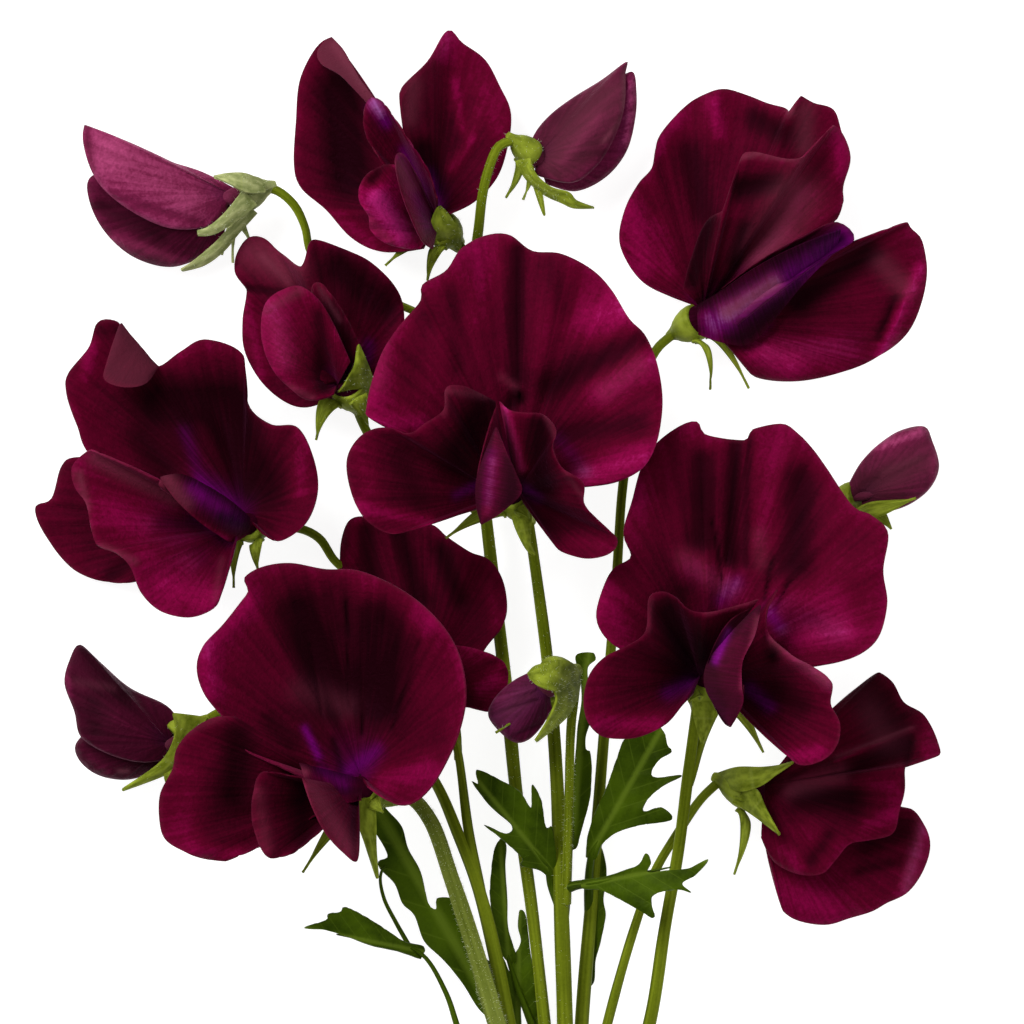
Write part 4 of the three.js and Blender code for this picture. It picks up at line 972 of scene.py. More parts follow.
@dataclass
class Flap:
    """A part of a petal that is turned over: a sheet between its fold and its free edge."""

    fold: list[Pixel]
    edge: list[Pixel]
    bulge: float = 0.6
    # Its paint: a base light share that holds painted light and shade, its violet, and a painted sheen with
    # the paler tone of the petal's back.
    light: float = 0.42
    violet: float = 0.0
    sheen_and_pale_tone: float = 0.6
    front: bool = False

    # How much lighter the free edge is (a painted highlight on the turned rim) and how much darker the fold
    # is (painted shade in the crease), and where both begin, from fold to edge.
    EDGE_LIGHT = 0.15
    EDGE_START = 0.85
    FOLD_SHADE = 0.2
    FOLD_REACH = 0.4

    def sheet(self, name: str) -> Piece:
        """Lays a bare sheet between the two lines, raised in its middle.

        Args:
            name: The piece's name.

        Returns:
            The sheet, faced up.
        """
        fold, edge = Line([at(p) for p in self.fold]), Line([at(p) for p in self.edge])

        def shape(across: np.ndarray, along: np.ndarray) -> np.ndarray:
            """Between the two lines, and up.

            Args:
                across: The places along both lines.
                along: The places from the fold to the edge.

            Returns:
                The points of the sheet.
            """
            points = fold.read(across) * (1 - along)[:, None] + edge.read(across) * along[:, None]
            points[:, 2] += self.bulge * MM * np.sin(math.pi * along) * np.sin(math.pi * across) ** 0.5
            return points

        return faced_up(shaped_grid(name, FLAP_FACETS, shape))

    def build(self, name: str, strokes: Strokes) -> Piece:
        """Models the flap.

        Args:
            name: The piece's name.
            strokes: The strokes of its petal.

        Returns:
            The sheet with its thickness and its paint.
        """
        sheet = self.sheet(name)
        for _ in range(3):
            sheet.data.materials.append(None)
        steps_across, steps_along = FLAP_FACETS
        along = np.repeat(np.linspace(0, 1, steps_along + 1), steps_across + 1)
        points = places_of(sheet)
        paint = np.tile([self.light, self.violet, self.sheen_and_pale_tone], (len(points), 1))
        # Painted highlight along the free edge and painted shade in the fold.
        edge_light = self.EDGE_LIGHT * smooth(self.EDGE_START, 1.0, along)
        paint[:, 0] += edge_light - self.FOLD_SHADE * smooth(self.FOLD_REACH, 0.0, along)
        strokes.tint(paint, points)
        painted(sheet, paint)
        first = 0 if self.front else 1
        sheet.data.polygons.foreach_set("material_index", [first] * len(sheet.data.polygons))
        return thickened(sheet, PETAL_THICKNESS, first, 2)


@dataclass
class Sepal:
    """One sepal: its angle round the calyx and its tip."""

    angle: float
    tip: np.ndarray


@dataclass
class Calyx:
    """A green cup whose rim runs out into long pointed sepals."""

    base: Pixel
    mouth: Pixel
    radius: float
    sepals: list[Pixel]
    lean: float = 0.0
    breadth: float = 0.6
    hairs: int = 0
    core: float = 1.0
    bare: bool = False
    downy: bool = False
    hoods: list[Flap] = field(default_factory=list)

    # Along the cup's skin: the share of its height, the share of its radius, and mm along its axis.
    PROFILE = (
        (0, 0.24, -1.5), (0, 0.36, -0.4), (0.08, 0.5, 0), (0.2, 0.66, 0), (0.38, 0.83, 0), (0.6, 0.96, 0),
        (0.8, 1, 0), (0.93, 0.96, 0), (0.97, 0.86, 0), (0.95, 0.6, 0), (0.92, 0.0, 0),
    )
    # The height of a rib as a share of the radius, and half its width in radians.
    RIB = 0.035
    RIB_WIDTH = 0.14
    # A sepal that the photograph doesn't show stands in the widest gap: in its middle, or to one side where
    # the gap is very wide. Its tip reaches out and up by some radii, less and more as the calyx leans.
    VERY_WIDE = 3
    MIDDLE = 0.5
    ASIDE = 0.4
    TIP_OUT = 2
    TIP_OUT_LEAN = (0.8, 0.5)
    TIP_UP = -0.3
    TIP_UP_LEAN = 1.9
    # Where a sepal leaves the cup, in radii out and in shares of the cup's height, and how it bends in radii.
    SEPAL_START = (0.93, 0.72)
    BACK_BEND = (1.6, 0.8)
    BEND_OUT = 1.15
    BEND_UP = (0.4, 0.5)
    # The blade: the angle of the widest, how far it turns to the viewer and where, and how it swells from its
    # foot to its point, and then its point, channel and wave.
    WIDEST_SEPAL = 0.7
    TURN_TO_VIEW = 0.8
    TURN_REACH = (0.05, 0.6)
    BLADE_SWELL = (0.3, 0.7)
    POINT_WIDTH = 0.05 * MM
    CHANNEL = (0.2, 0.06)
    BLADE_WAVE = 0.05 * MM

    def __post_init__(self) -> None:
        """Works out the calyx's own frame."""
        self.foot, self.top = at(self.base), at(self.mouth)
        self.reach = self.radius * MM
        self.direction = unit(self.top - self.foot)
        turn = Vector((0, 0, 1)).rotation_difference(Vector(self.direction))
        self.right = np.array(turn @ Vector((1, 0, 0)))
        self.up = np.array(turn @ Vector((0, 1, 0)))

    def spot(self, angle: float, radius: float, share: float, lift: float = 0.0) -> np.ndarray:
        """A point at an angle and radius round the calyx, a share of the way up it and lifted on."""
        middle = self.foot + (self.top - self.foot) * share + self.direction * lift
        return middle + self.right * radius * math.cos(angle) + self.up * radius * math.sin(angle)

    def claw(self, kind: Kind, rim: np.ndarray) -> np.ndarray:
        """Where a petal leaves the mouth: on the side that it leans to.

        Args:
            kind: What the petal is.
            rim: The points of its rim.

        Returns:
            The point that its rays start from.
        """
        lean = rim.mean(axis=0) - self.top
        lean = unit(lean - self.direction * lean.dot(self.direction))
        return self.top + self.direction * CLAW_LIFT + lean * CLAW_SPREAD[kind] * self.reach

    def all_sepals(self) -> list[Sepal]:
        """Finds the sepals that show in the photograph, and adds short ones in the gaps.

        Returns:
            The sepals in order round the calyx.
        """
        found = []
        for pixel in self.sepals:
            away = at(pixel) - self.top
            found.append(Sepal(math.atan2(away.dot(self.up), away.dot(self.right)), at(pixel)))
        while len(found) < (0 if self.bare else SEPALS):
            found.sort(key=lambda sepal: sepal.angle)
            gaps = [self._gap_after(found, k) for k in range(len(found))]
            widest = gaps.index(max(gaps))
            part = self.ASIDE if gaps[widest] > self.VERY_WIDE and len(found) < SEPALS - 1 else self.MIDDLE
            angle = found[widest].angle + gaps[widest] * part
            out = self.right * math.cos(angle) + self.up * math.sin(angle)
            less, more = self.TIP_OUT_LEAN
            spread = self.TIP_OUT - self.lean * (less - more * math.hypot(*out[:2]))
            rise = self.TIP_UP_LEAN * self.lean + self.TIP_UP
            tip = self.spot(angle, self.reach * spread, 1, self.reach * rise)
            found.append(Sepal(math.atan2(math.sin(angle), math.cos(angle)), tip))
        found.sort(key=lambda sepal: sepal.angle)
        for _ in range(SPACING_ROUNDS):
            for k, sepal in enumerate(found):
                push = max(0.0, SEPAL_SPACING - self._gap_after(found, k)) / 2
                sepal.angle -= push
                found[(k + 1) % len(found)].angle += push
        return found

    @staticmethod
    def _gap_after(sepals: list[Sepal], k: int) -> float:
        """The angle from one sepal to the next."""
        onward = sepals[k + 1].angle if k + 1 < len(sepals) else sepals[0].angle + 2 * math.pi
        return onward - sepals[k].angle

    def cup(self, name: str, angles: list[float]) -> Piece:
        """Models the ribbed cup.

        Args:
            name: The piece's name.
            angles: Where the sepals stand, each in line with a rib.

        Returns:
            The closed cup.
        """
        heights, widths, lifts = (np.array(column) for column in zip(*self.PROFILE))
        rows = np.linspace(0, 1, len(heights))

        def shape(share: np.ndarray, along: np.ndarray) -> np.ndarray:
            """The cup's skin, in over the rim and down to the middle.

            Args:
                share: The places round the cup.
                along: The places along its profile.

            Returns:
                The points of the skin.
            """
            angle = turned_round(share)
            near = np.min([np.abs((angle - a + math.pi) % (2 * math.pi) - math.pi) for a in angles], axis=0)
            rib = self.RIB * np.exp(-((near / self.RIB_WIDTH) ** 2))
            rib = 1 + rib * np.interp(along, [0, 0.2, 0.7, 0.8], [0, 1, 1, 0])
            radius = self.reach * np.interp(along, rows, widths) * rib
            middle = self.foot + np.outer(np.interp(along, rows, heights), self.top - self.foot)
            middle += np.outer(np.interp(along, rows, lifts) * MM, self.direction)
            out = np.outer(radius * np.cos(angle), self.right)
            return middle + out + np.outer(radius * np.sin(angle), self.up)

        return closed(shaped_grid(name, CUP_FACETS, shape))

    def sepal(self, name: str, sepal: Sepal, width: float) -> Piece:
        """Models one sepal: a channelled blade that narrows to a long point and bends clear of the cup.

        Args:
            name: The piece's name.
            sepal: Its angle and tip.
            width: Half its width where it leaves the cup.

        Returns:
            The sheet, not yet thick.
        """
        reach = self.reach
        rise = (sepal.tip - self.top).dot(self.direction)
        out, share = self.SEPAL_START
        start = self.spot(sepal.angle, reach * out, share)
        if rise < -reach:
            out, up = self.BACK_BEND
            bend = self.spot(sepal.angle, reach * out, 1, reach * up)
        else:
            least, part = self.BEND_UP
            up = min(max(rise * part, reach * least), reach)
            bend = self.spot(sepal.angle, reach * self.BEND_OUT, 1, up)
        side = -self.right * math.sin(sepal.angle) + self.up * math.cos(sepal.angle)
        seen = np.cross((0, 0, 1), sepal.tip - start)
        seen = unit(seen) * math.copysign(1, seen.dot(side))

        def shape(across: np.ndarray, along: np.ndarray) -> np.ndarray:
            """The blade round its bent middle line.

            Args:
                across: The places from one edge to the other.
                along: The places from the cup to the tip.

            Returns:
                The points of the blade.
            """
            t = along[:, None]
            middle = start * (1 - t) ** 2 + bend * 2 * t * (1 - t) + sepal.tip * t**2
            tangent = (bend - start) * (1 - t) + (sepal.tip - bend) * t
            tangent /= np.linalg.norm(tangent, axis=1)[:, None]
            turned = side + np.outer(self.TURN_TO_VIEW * smooth(*self.TURN_REACH, along), seen - side)
            flat = turned - tangent * np.sum(tangent * turned, axis=1)[:, None]
            flat /= np.linalg.norm(flat, axis=1)[:, None]
            outward = np.cross(flat, tangent)
            place = 2 * across - 1
            foot, rest = self.BLADE_SWELL
            half = width * np.sin(math.pi * (foot + rest * along)) + self.POINT_WIDTH
            deep, shallow = self.CHANNEL
            channel = reach * (deep * (1 - along) ** 2 + shallow) * place**2 * (1 - along)
            wave = self.BLADE_WAVE * np.sin(8 * along + 2 * place) * along
            return middle + flat * (half * place)[:, None] + outward * (channel + wave)[:, None]

        return shaped_grid(name, SEPAL_FACETS, shape)

    def build(self, owner: str, finishes: Finishes) -> Piece:
        """Models the whole calyx.

        Args:
            owner: The bloom or bud that it belongs to.
            finishes: The finishes.

        Returns:
            The finished calyx.
        """
        sepals = self.all_sepals()
        pieces = [self.cup(f"{owner}_calyx", [sepal.angle for sepal in sepals])]
        for k, sepal in enumerate(sepals):
            gap = min(self._gap_after(sepals, k), self._gap_after(sepals, k - 1))
            width = self.breadth * self.reach * math.sin(min(gap / 2, self.WIDEST_SEPAL))
            pieces.append(thickened(self.sepal(f"{owner}_sepal_{k}", sepal, width), SEPAL_THICKNESS))
        for k, hood in enumerate(self.hoods):
            pieces.append(thickened(hood.sheet(f"{owner}_hood_{k}"), SEPAL_THICKNESS))
        calyx = joined(pieces, f"{owner}_calyx")
        dressed(calyx, [finishes.downy_calyx if self.downy else finishes.calyx])
        return finished(haired(calyx, self.hairs, finishes.hair), "stem", "flower_stem")


@dataclass
class Petal:
    """One petal: a fan of rays from its claw at the calyx to its rim."""

    kind: Kind
    rim: list[Pixel]
    belly: float = 0.0
    swell: float = 0.0
    ruffle: Ruffle = Ruffle(0, 0, 0)
    crease: Crease | None = None
    frill: Ruffle = Ruffle(0.2, 11, 0.4)
    roll: float = 0.5
    lift: float = 0.0
    # The base light share: the petal's own tone together with painted light and shade, higher for lit petals
    # and lower for shaded ones.
    light: float = 0.42
    strokes: Strokes = Strokes()
    flaps: list[Flap] = field(default_factory=list)

    # How steeply ruffle and frill grow from the claw to the rim.
    RUFFLE_POWER = 3
    FRILL_POWER = 7
    # The paint: what claw, rim and roll add to the light share, which is painted shade towards the claw,
    # where the petals close into the throat, painted light towards the rim, where light shines through the
    # thin petal, and a painted highlight on the rolled rim; then the violet of the claw and the painted sheen
    # along the rim.
    CLAW_LIGHT = -0.14
    RIM_LIGHT = 0.16
    ROLL_LIGHT = 0.05
    CLAW_VIOLET = 0.3
    RIM_SHEEN = 0.15
    # Where the violet ends and begins, and where the painted sheen of the rim begins, from the claw to the
    # rim.
    VIOLET_REACH = (0.3, 0.04)
    SHEEN_START = 0.985
    # How quickly a plump petal gets its full thickness from its edges in, and how round it is each way.
    EDGE_TAPER = 8
    PLUMP_ALONG = 0.7
    PLUMP_ACROSS = 0.8
    # Where the relief of the strokes is at its full height, from the claw to the rim.
    FULL_RELIEF = 0.25

    def rays(self, calyx: Calyx, count: int) -> tuple[np.ndarray, np.ndarray, np.ndarray]:
        """The petal's rays, spread evenly along its rim.

        Args:
            calyx: The calyx that it grows from.
            count: How many steps there are along the rim.

        Returns:
            The claw, the rays, and the shares of the rim's own points.
        """
        rim = Line([at(pixel) for pixel in self.rim])
        claw = calyx.claw(self.kind, rim.points)
        rays = rim.read(np.linspace(0, 1, count + 1)) - claw
        angles = np.unwrap(np.arctan2(rays[:, 1], rays[:, 0]))
        ordered = in_order(angles, LEAST_TURN)
        length = np.hypot(rays[:, 0], rays[:, 1])
        rays[:, 0], rays[:, 1] = length * np.cos(ordered), length * np.sin(ordered)
        return claw, rays, rim.shares

    def sheet(
        self, calyx: Calyx, count: int, share: np.ndarray, out: np.ndarray
    ) -> tuple[np.ndarray, np.ndarray]:
        """The middle surface of the petal, as in the solid, with finer waves and a rolled rim.

        Args:
            calyx: The calyx that it grows from.
            count: How many steps there are along the rim.
            share: The places along the rim, from 0 to 1.
            out: The places from the claw to the rim, from 0 to 1.

        Returns:
            The points of the surface, and the steepness of each one's ray.
        """
        claw, rays, shares = self.rays(calyx, count)
        ray = rays[np.rint(share * count).astype(int)]
        length = np.linalg.norm(ray, axis=1)
        reach = np.minimum(1, length / FULL_REACH)
        lift = 4 * self.belly * reach * out * (1 - out) + self.lift * out
        for waves, power in ((self.ruffle, self.RUFFLE_POWER), (self.frill, self.FRILL_POWER)):
            turn = 2 * math.pi * waves.waves * share + waves.start
            lift += waves.height * reach * out**power * np.sin(turn)
        if self.crease:
            away = (share - shares[self.crease.at]) / CREASE_WIDTH
            lift -= self.crease.depth * np.exp(-(away**2)) * np.sin(math.pi * out)
        lift -= self.roll * reach * smooth(ROLL_START, 1.0, out) ** 2
        distance = CLAW_RADIUS + (length - CLAW_RADIUS) * out
        points = claw + ray * (distance / length)[:, None]
        relief = RELIEF * self.strokes.relief(points) * smooth(0.0, self.FULL_RELIEF, out)
        points[:, 2] += lift * MM + relief
        return points, ray[:, 2] / length

    def paint(self, piece: Piece, out: np.ndarray) -> None:
        """Paints the petal: painted shade inwards, painted light and sheen at the rim, and its strokes.

        Args:
            piece: The petal's sheet.
            out: The places of its vertices from the claw to the rim.
        """
        points = places_of(piece)
        paint = np.zeros((len(points), 3))
        # Painted shade towards the claw, painted light towards the rim and on its roll.
        paint[:, 0] = self.light + self.CLAW_LIGHT + self.RIM_LIGHT * out**1.5
        paint[:, 0] += self.ROLL_LIGHT * smooth(ROLL_START, 1.0, out)
        paint[:, 1] = self.CLAW_VIOLET * smooth(*self.VIOLET_REACH, out)
        # Painted sheen along the rim.
        paint[:, 2] = self.RIM_SHEEN * smooth(self.SHEEN_START, 1.0, out)
        self.strokes.tint(paint, points)
        painted(piece, paint)

    def plump(self, name: str, calyx: Calyx) -> Piece:
        """Models a closed, plump petal: the front and the back of a fold, welded along its edges.

        Args:
            name: The piece's name.
            calyx: The calyx that it grows from.

        Returns:
            The closed petal with its paint.
        """
        count, rows = FACETS[self.kind]
        places = []

        def shape(way: np.ndarray, out: np.ndarray) -> np.ndarray:
            """Runs along the front of the fold and back along its underside.

            Args:
                way: The places along the front and then along the back.
                out: The places from the claw to the rim.

            Returns:
                The points of the skin.
            """
            places.append(out)
            share = 1 - np.abs(2 * way - 1)
            share = np.rint(share * count) / count
            side = np.where(way < 0.5, 1, -1)
            points, rise = self.sheet(calyx, count, share, out)
            along, across = np.sin(math.pi * out), np.sin(math.pi * share)
            plump = self.swell * along**self.PLUMP_ALONG * across**self.PLUMP_ACROSS
            half = PETAL_THICKNESS / 2 / np.maximum(np.sqrt(1 - rise**2), STEEPEST)
            taper = np.minimum(1, across * self.EDGE_TAPER) * np.minimum(1, along * self.EDGE_TAPER)
            points[:, 2] += side * (half * taper + plump * MM)
            return points

        piece = shaped_grid(name, (2 * count, rows), shape)
        self.paint(piece, places[0])
        return closed(piece)

    def thin(self, name: str, calyx: Calyx) -> Piece:
        """Models a thin petal: a sheet that gets its thickness.

        Args:
            name: The piece's name.
            calyx: The calyx that it grows from.

        Returns:
            The petal with its paint.
        """
        count = FACETS[self.kind][0]
        places = []

        def shape(share: np.ndarray, out: np.ndarray) -> np.ndarray:
            """The middle surface, which doesn't sink into the table.

            Args:
                share: The places along the rim.
                out: The places from the claw to the rim.

            Returns:
                The points of the surface.
            """
            places.append(out)
            points = self.sheet(calyx, count, share, out)[0]
            points[:, 2] = np.maximum(points[:, 2], PETAL_THICKNESS / 2)
            return points

        piece = shaped_grid(name, FACETS[self.kind], shape)
        self.paint(piece, places[0])
        return thickened(faced_up(piece), PETAL_THICKNESS, 1, 2)

    def build(self, name: str, calyx: Calyx, materials: list[Material]) -> Piece:
        """Models the petal.

        Args:
            name: The piece's name.
            calyx: The calyx that it grows from.
            materials: The finishes of its front, back and rim.

        Returns:
            The petal with its flaps, dressed.
        """
        piece = self.plump(name, calyx) if self.swell else self.thin(name, calyx)
        flaps = [flap.build(f"{name}_flap", self.strokes) for flap in self.flaps]
        return dressed(joined([piece, *flaps], name), materials)


@dataclass
class Bloom:
    """An open bloom with its petals, or a bud with its folds, on a calyx."""

    name: str
    calyx: Calyx
    petals: dict[str, Petal] = field(default_factory=dict)
    folds: list[Petal] = field(default_factory=list)

    # The throat: where it starts in its calyx, its radii as shares of the calyx's, how far it stands out of
    # the mouth in mm, and its paint: dark on a bloom, a painted shade in the mouth, and on a bud a painted
    # sheen.
    THROAT_START = 0.6
    THROAT = (0.7, 0.82, 0.86, 0.86, 0.82, 0.74, 0.58, 0.34, 0.03)
    THROAT_RISE = 2.0
    THROAT_PAINT = (0.12, 0.12, 0.0)
    BUD_THROAT = (0.7, 0.84, 0.92, 0.97, 0.99, 0.96, 0.84, 0.56, 0.05)
    BUD_THROAT_RISE = 3.2
    BUD_THROAT_DUST = 0.4

    def build(self, finishes: Finishes) -> None:
        """Models the calyx and every petal or fold.

        Args:
            finishes: The finishes.
        """
        self.calyx.build(self.name, finishes)
        for part, petal in self.petals.items():
            node = f"{self.name}_{part}"
            piece = petal.build(f"{node}_fine", self.calyx, finishes.petals())
            if petal.kind is Kind.KEEL:
                throat = self.throat(finishes.petals(), self.THROAT, self.THROAT_RISE, self.THROAT_PAINT)
                piece = joined([piece, throat], f"{node}_fine")
            finished(piece, "petal", node)
        if self.folds:
            skins = finishes.buds()
            folds = []
            for k, fold in enumerate(self.folds):
                folds.append(fold.build(f"{self.name}_fold_{k}", self.calyx, skins))
            # The bud's throat takes the light of its first fold and a painted sheen.
            paint = (self.folds[0].light, 0.0, self.BUD_THROAT_DUST)
            folds.append(self.throat(skins, self.BUD_THROAT, self.BUD_THROAT_RISE, paint))
            finished(joined(folds, f"{self.name}_fine"), "bud", self.name)

    def throat(self, materials: list[Material], radii: Sequence[float], rise: float, paint: Colour) -> Piece:
        """Models the narrow feet of the petals, closed together in the calyx's mouth.

        Args:
            materials: The finishes of the petals.
            radii: The radii along it, as shares of the calyx's.
            rise: How far it stands out of the mouth, in mm.
            paint: Its light share, with painted shade, its violet share, and its painted sheen.

        Returns:
            The closed dome.
        """
        calyx = self.calyx
        top = calyx.top + calyx.direction * rise * MM
        start = calyx.foot * (1 - self.THROAT_START) + calyx.top * self.THROAT_START
        route = Route([start, calyx.top, top])
        widths = np.array(radii) * calyx.reach * calyx.core
        dome = tube(f"{self.name}_throat", route, widths, THROAT_FACETS)
        painted(dome, np.tile(paint, (len(dome.data.vertices), 1)))
        return dressed(dome, materials)


# Stem and leaves


@dataclass
class Branch:
    """A branch from its foot to the calyx that it carries."""

    to: str
    radii: list[float]
    route: list[Pixel]
    hairs: int = 0

    # Facets round a branch, and the length of one along it.
    ROUND = 20
    STEP = 0.9 * MM
    FEWEST_STEPS = 24
    # Low ribs that wind a little, and a slow unevenness, as shares of the radius.
    RIBS = 5
    WIND = 3
    RIB_HEIGHT = 0.045
    UNEVENNESS = 0.03

    def rib(self, angle: np.ndarray, along: np.ndarray) -> np.ndarray:
        """What the radius is multiplied by at some angles and shares of the length."""
        ribs = self.RIB_HEIGHT * np.cos(self.RIBS * angle + self.WIND * along)
        return 1 + ribs + self.UNEVENNESS * np.sin(17 * along) * np.sin(29 * along + 1)

    def build(self, name: str, end: Pixel | None, finishes: Finishes) -> Piece:
        """Models the branch.

        Args:
            name: The piece's name.
            end: The foot of the calyx that it runs on to, if any.
            finishes: The finishes.

        Returns:
            The closed, ribbed limb, with its hairs.
        """
        points = [at(pixel) for pixel in self.route] + ([at(end)] if end else [])
        route = Route(points)
        radii = np.array(self.radii) * MM * STEM_FILL
        steps = max(self.FEWEST_STEPS, round(route.length / self.STEP))
        limb = tube(name, route, radii, (self.ROUND, steps), self.rib)
        dressed(limb, [finishes.downy if self.hairs > DOWNY_HAIRS else finishes.stem])
        return haired(limb, self.hairs, finishes.hair)


@dataclass
class Leaf:
    """A lobed leaf blade on its stalk."""

    name: str
    stalk: list[Pixel]
    base: Pixel
    tip: Pixel
    arch: float
    fold: float
    outline: list[Pixel]
    veins: int = 7
    node: str = ""
    tendril: list[Pixel] = field(default_factory=list)
    ribbed: float = 0.7

    OUTLINE_STEPS = 170
    CELL = 1.1 * MM
    # Radii in mm, facets round and along, and the shares of the midrib that the stalk runs on to.
    STALK_RADII = (0.85, 0.75, 0.6, 0.42, 0.28, 0.12)
    STALK_FACETS = (12, 60)
    TENDRIL_RADII = (0.4, 0.34, 0.3, 0.22)
    TENDRIL_FACETS = (10, 40)
    MIDRIB = (0.14, 0.43, 0.71, 1)
    MIDRIB_DEPTH = 0.55
    VEIN_HEIGHT = 0.16 * MM
    GROOVE = 0.25 * MM
    GROOVE_WIDTH = 0.5 * MM
    # How far from the midrib the side veins reach their full height.
    VEIN_START = 2 * MM

    def __post_init__(self) -> None:
        """Works out the leaf's own frame, as seen from above: along its midrib and across it."""
        run = (at(self.tip) - at(self.base))[:2]
        self.length = float(np.linalg.norm(run))
        self.run = unit(run)
        self.side = np.array([-self.run[1], self.run[0]])

    def measured(self, points: np.ndarray) -> tuple[np.ndarray, np.ndarray]:
        """How far along the midrib and aside from it some points lie."""
        away = points[:, :2] - at(self.base)[:2]
        return away @ self.run, away @ self.side

    def flat_blade(self) -> Piece:
        """Lays the blade's outline out as a face and cuts it into small cells along and across its midrib.

        Returns:
            The flat blade.
        """
        edge = Line([at(pixel) for pixel in (*self.outline, self.outline[0])])
        points = edge.read(np.arange(self.OUTLINE_STEPS) / self.OUTLINE_STEPS)
        points[:, 2] = 0
        deselect()
        bpy.ops.mesh.primitive_circle_add(vertices=self.OUTLINE_STEPS, radius=1, fill_type="NGON")
        blade = bpy.context.object
        blade.data.vertices.foreach_set("co", points.ravel())
        blade.data.update()
        bpy.ops.object.mode_set(mode="EDIT")
        bpy.ops.mesh.select_all(action="SELECT")
        bpy.ops.mesh.quads_convert_to_tris()
        for normal, places in zip((self.run, self.side), self.measured(points)):
            first, last = math.ceil(places.min() / self.CELL), math.floor(places.max() / self.CELL)
            for step in range(first, last + 1):
                cut = at(self.base)[:2] + normal * step * self.CELL
                bpy.ops.mesh.select_all(action="SELECT")
                bpy.ops.mesh.bisect(plane_co=(*cut, 0), plane_no=(*normal, 0), threshold=1e-7)
        bpy.ops.object.mode_set(mode="OBJECT")
        return blade

    def blade(self) -> Piece:
        """Models the blade, arched, folded up on both sides of its midrib and relieved along its veins.

        Returns:
            The blade, thick, with a UV map across and along its midrib.
        """
        piece = self.flat_blade()
        points = places_of(piece)
        along, aside = self.measured(points)
        share, beside = along / self.length, np.abs(aside)
        low, high = at(self.base)[2], at(self.tip)[2]
        z = low + (high - low) * share + 4 * self.arch * MM * share * (1 - share) + self.fold * beside
        slant = share - VEIN_SLANT * beside / self.length
        z += self.VEIN_HEIGHT * np.cos(2 * math.pi * self.veins * slant) * smooth(0, self.VEIN_START, beside)
        z -= self.GROOVE * np.exp(-((aside / self.GROOVE_WIDTH) ** 2))
        points[:, 2] = z
        piece.data.vertices.foreach_set("co", points.ravel())
        corners = np.empty(len(piece.data.loops), dtype=int)
        piece.data.loops.foreach_get("vertex_index", corners)
        places = np.stack([0.5 + aside / self.length, share], axis=1)
        layer = piece.data.uv_layers.active or piece.data.uv_layers.new(name="UVMap")
        layer.name = "UVMap"
        layer.data.foreach_set("uv", places[corners].ravel())
        piece.data.update()
        return thickened(faced_up(piece), LEAF_THICKNESS)

    def build(self, finishes: Finishes) -> Piece:
        """Models the leaf.

        Args:
            finishes: The finishes.

        Returns:
            The finished leaf.
        """
        limbs = [self.blade()]
        if self.stalk:
            points = [at(pixel) for pixel in self.stalk]
            route = Route(points + [self.midrib(share * self.ribbed) for share in self.MIDRIB])
            radii = np.array(self.STALK_RADII) * MM
            limbs.append(tube(f"{self.name}_stalk", route, radii, self.STALK_FACETS))
        if self.tendril:
            route = Route([at(pixel) for pixel in self.tendril])
            radii = np.array(self.TENDRIL_RADII) * MM
            limbs.append(tube(f"{self.name}_tendril", route, radii, self.TENDRIL_FACETS))
        leaf = dressed(joined(limbs, f"{self.name}_fine"), [finishes.leaf])
        return finished(leaf, "leaf", self.node or self.name)

    def midrib(self, share: float) -> np.ndarray:
        """A point of the midrib, just under the blade.

        Args:
            share: How far along the midrib it is.

        Returns:
            The point.
        """
        point = at(self.base) + (at(self.tip) - at(self.base)) * share
        point[2] += (4 * self.arch * share * (1 - share) - self.MIDRIB_DEPTH) * MM
        return point


# Places in the photograph
# A point is (x, y, height): x and y are pixels of the photograph, and height is millimetres above the table.


CENTRE_KEEL = Petal(
    kind=Kind.KEEL, swell=1.3, light=0.3,
    rim=[(497, 404, 36), (488, 430, 39), (478, 470, 41), (476, 502, 41), (482, 522, 40), (497, 516, 38),
         (511, 505, 34)],
    strokes=Strokes(
        light=[(512, 462, 512, 505, 9, -0.3), (492, 462, 488, 510, 7, 0.24)],
        violet=[(492, 455, 488, 500, 7, 0.3)],
    ),
    flaps=[Flap(
        bulge=0.9, light=0.3, violet=0.1, sheen_and_pale_tone=0.08, front=True,
        fold=[(496, 428, 40), (486, 452, 41.8), (477, 478, 42.4), (476, 500, 42.2), (481, 523, 41)],
        edge=[(497, 430, 40), (506, 452, 42), (516, 474, 42.2), (521, 493, 41.4), (501, 512, 40.8),
              (482, 524, 41)],
    )],
)

CENTRE_WING_LEFT = Petal(
    kind=Kind.WING, belly=1.5, ruffle=Ruffle(0.5, 3, 0.4), light=0.34,
    rim=[(495, 402, 32), (478, 393, 34), (460, 386, 36), (446, 389, 37), (444, 410, 38), (425, 424, 37),
         (409, 434, 36), (388, 428, 35), (366, 433, 34), (350, 452, 35), (348, 475, 36), (357, 505, 36),
         (372, 524, 35), (397, 534, 34), (432, 523, 35), (460, 514, 32), (484, 507, 28)],
    strokes=Strokes(
        light=[
            (488, 400, 460, 455, 18, -0.34), (364, 452, 372, 488, 13, 0.16), (362, 508, 428, 522, 8, 0.25),
            (400, 455, 420, 500, 12, -0.12),
        ],
        violet=[(478, 483, 456, 496, 6, 0.5)],
        sheen_and_pale_tone=[(482, 396, 448, 391, 4, 0.25), (446, 392, 445, 415, 3, 0.2)],
    ),
)

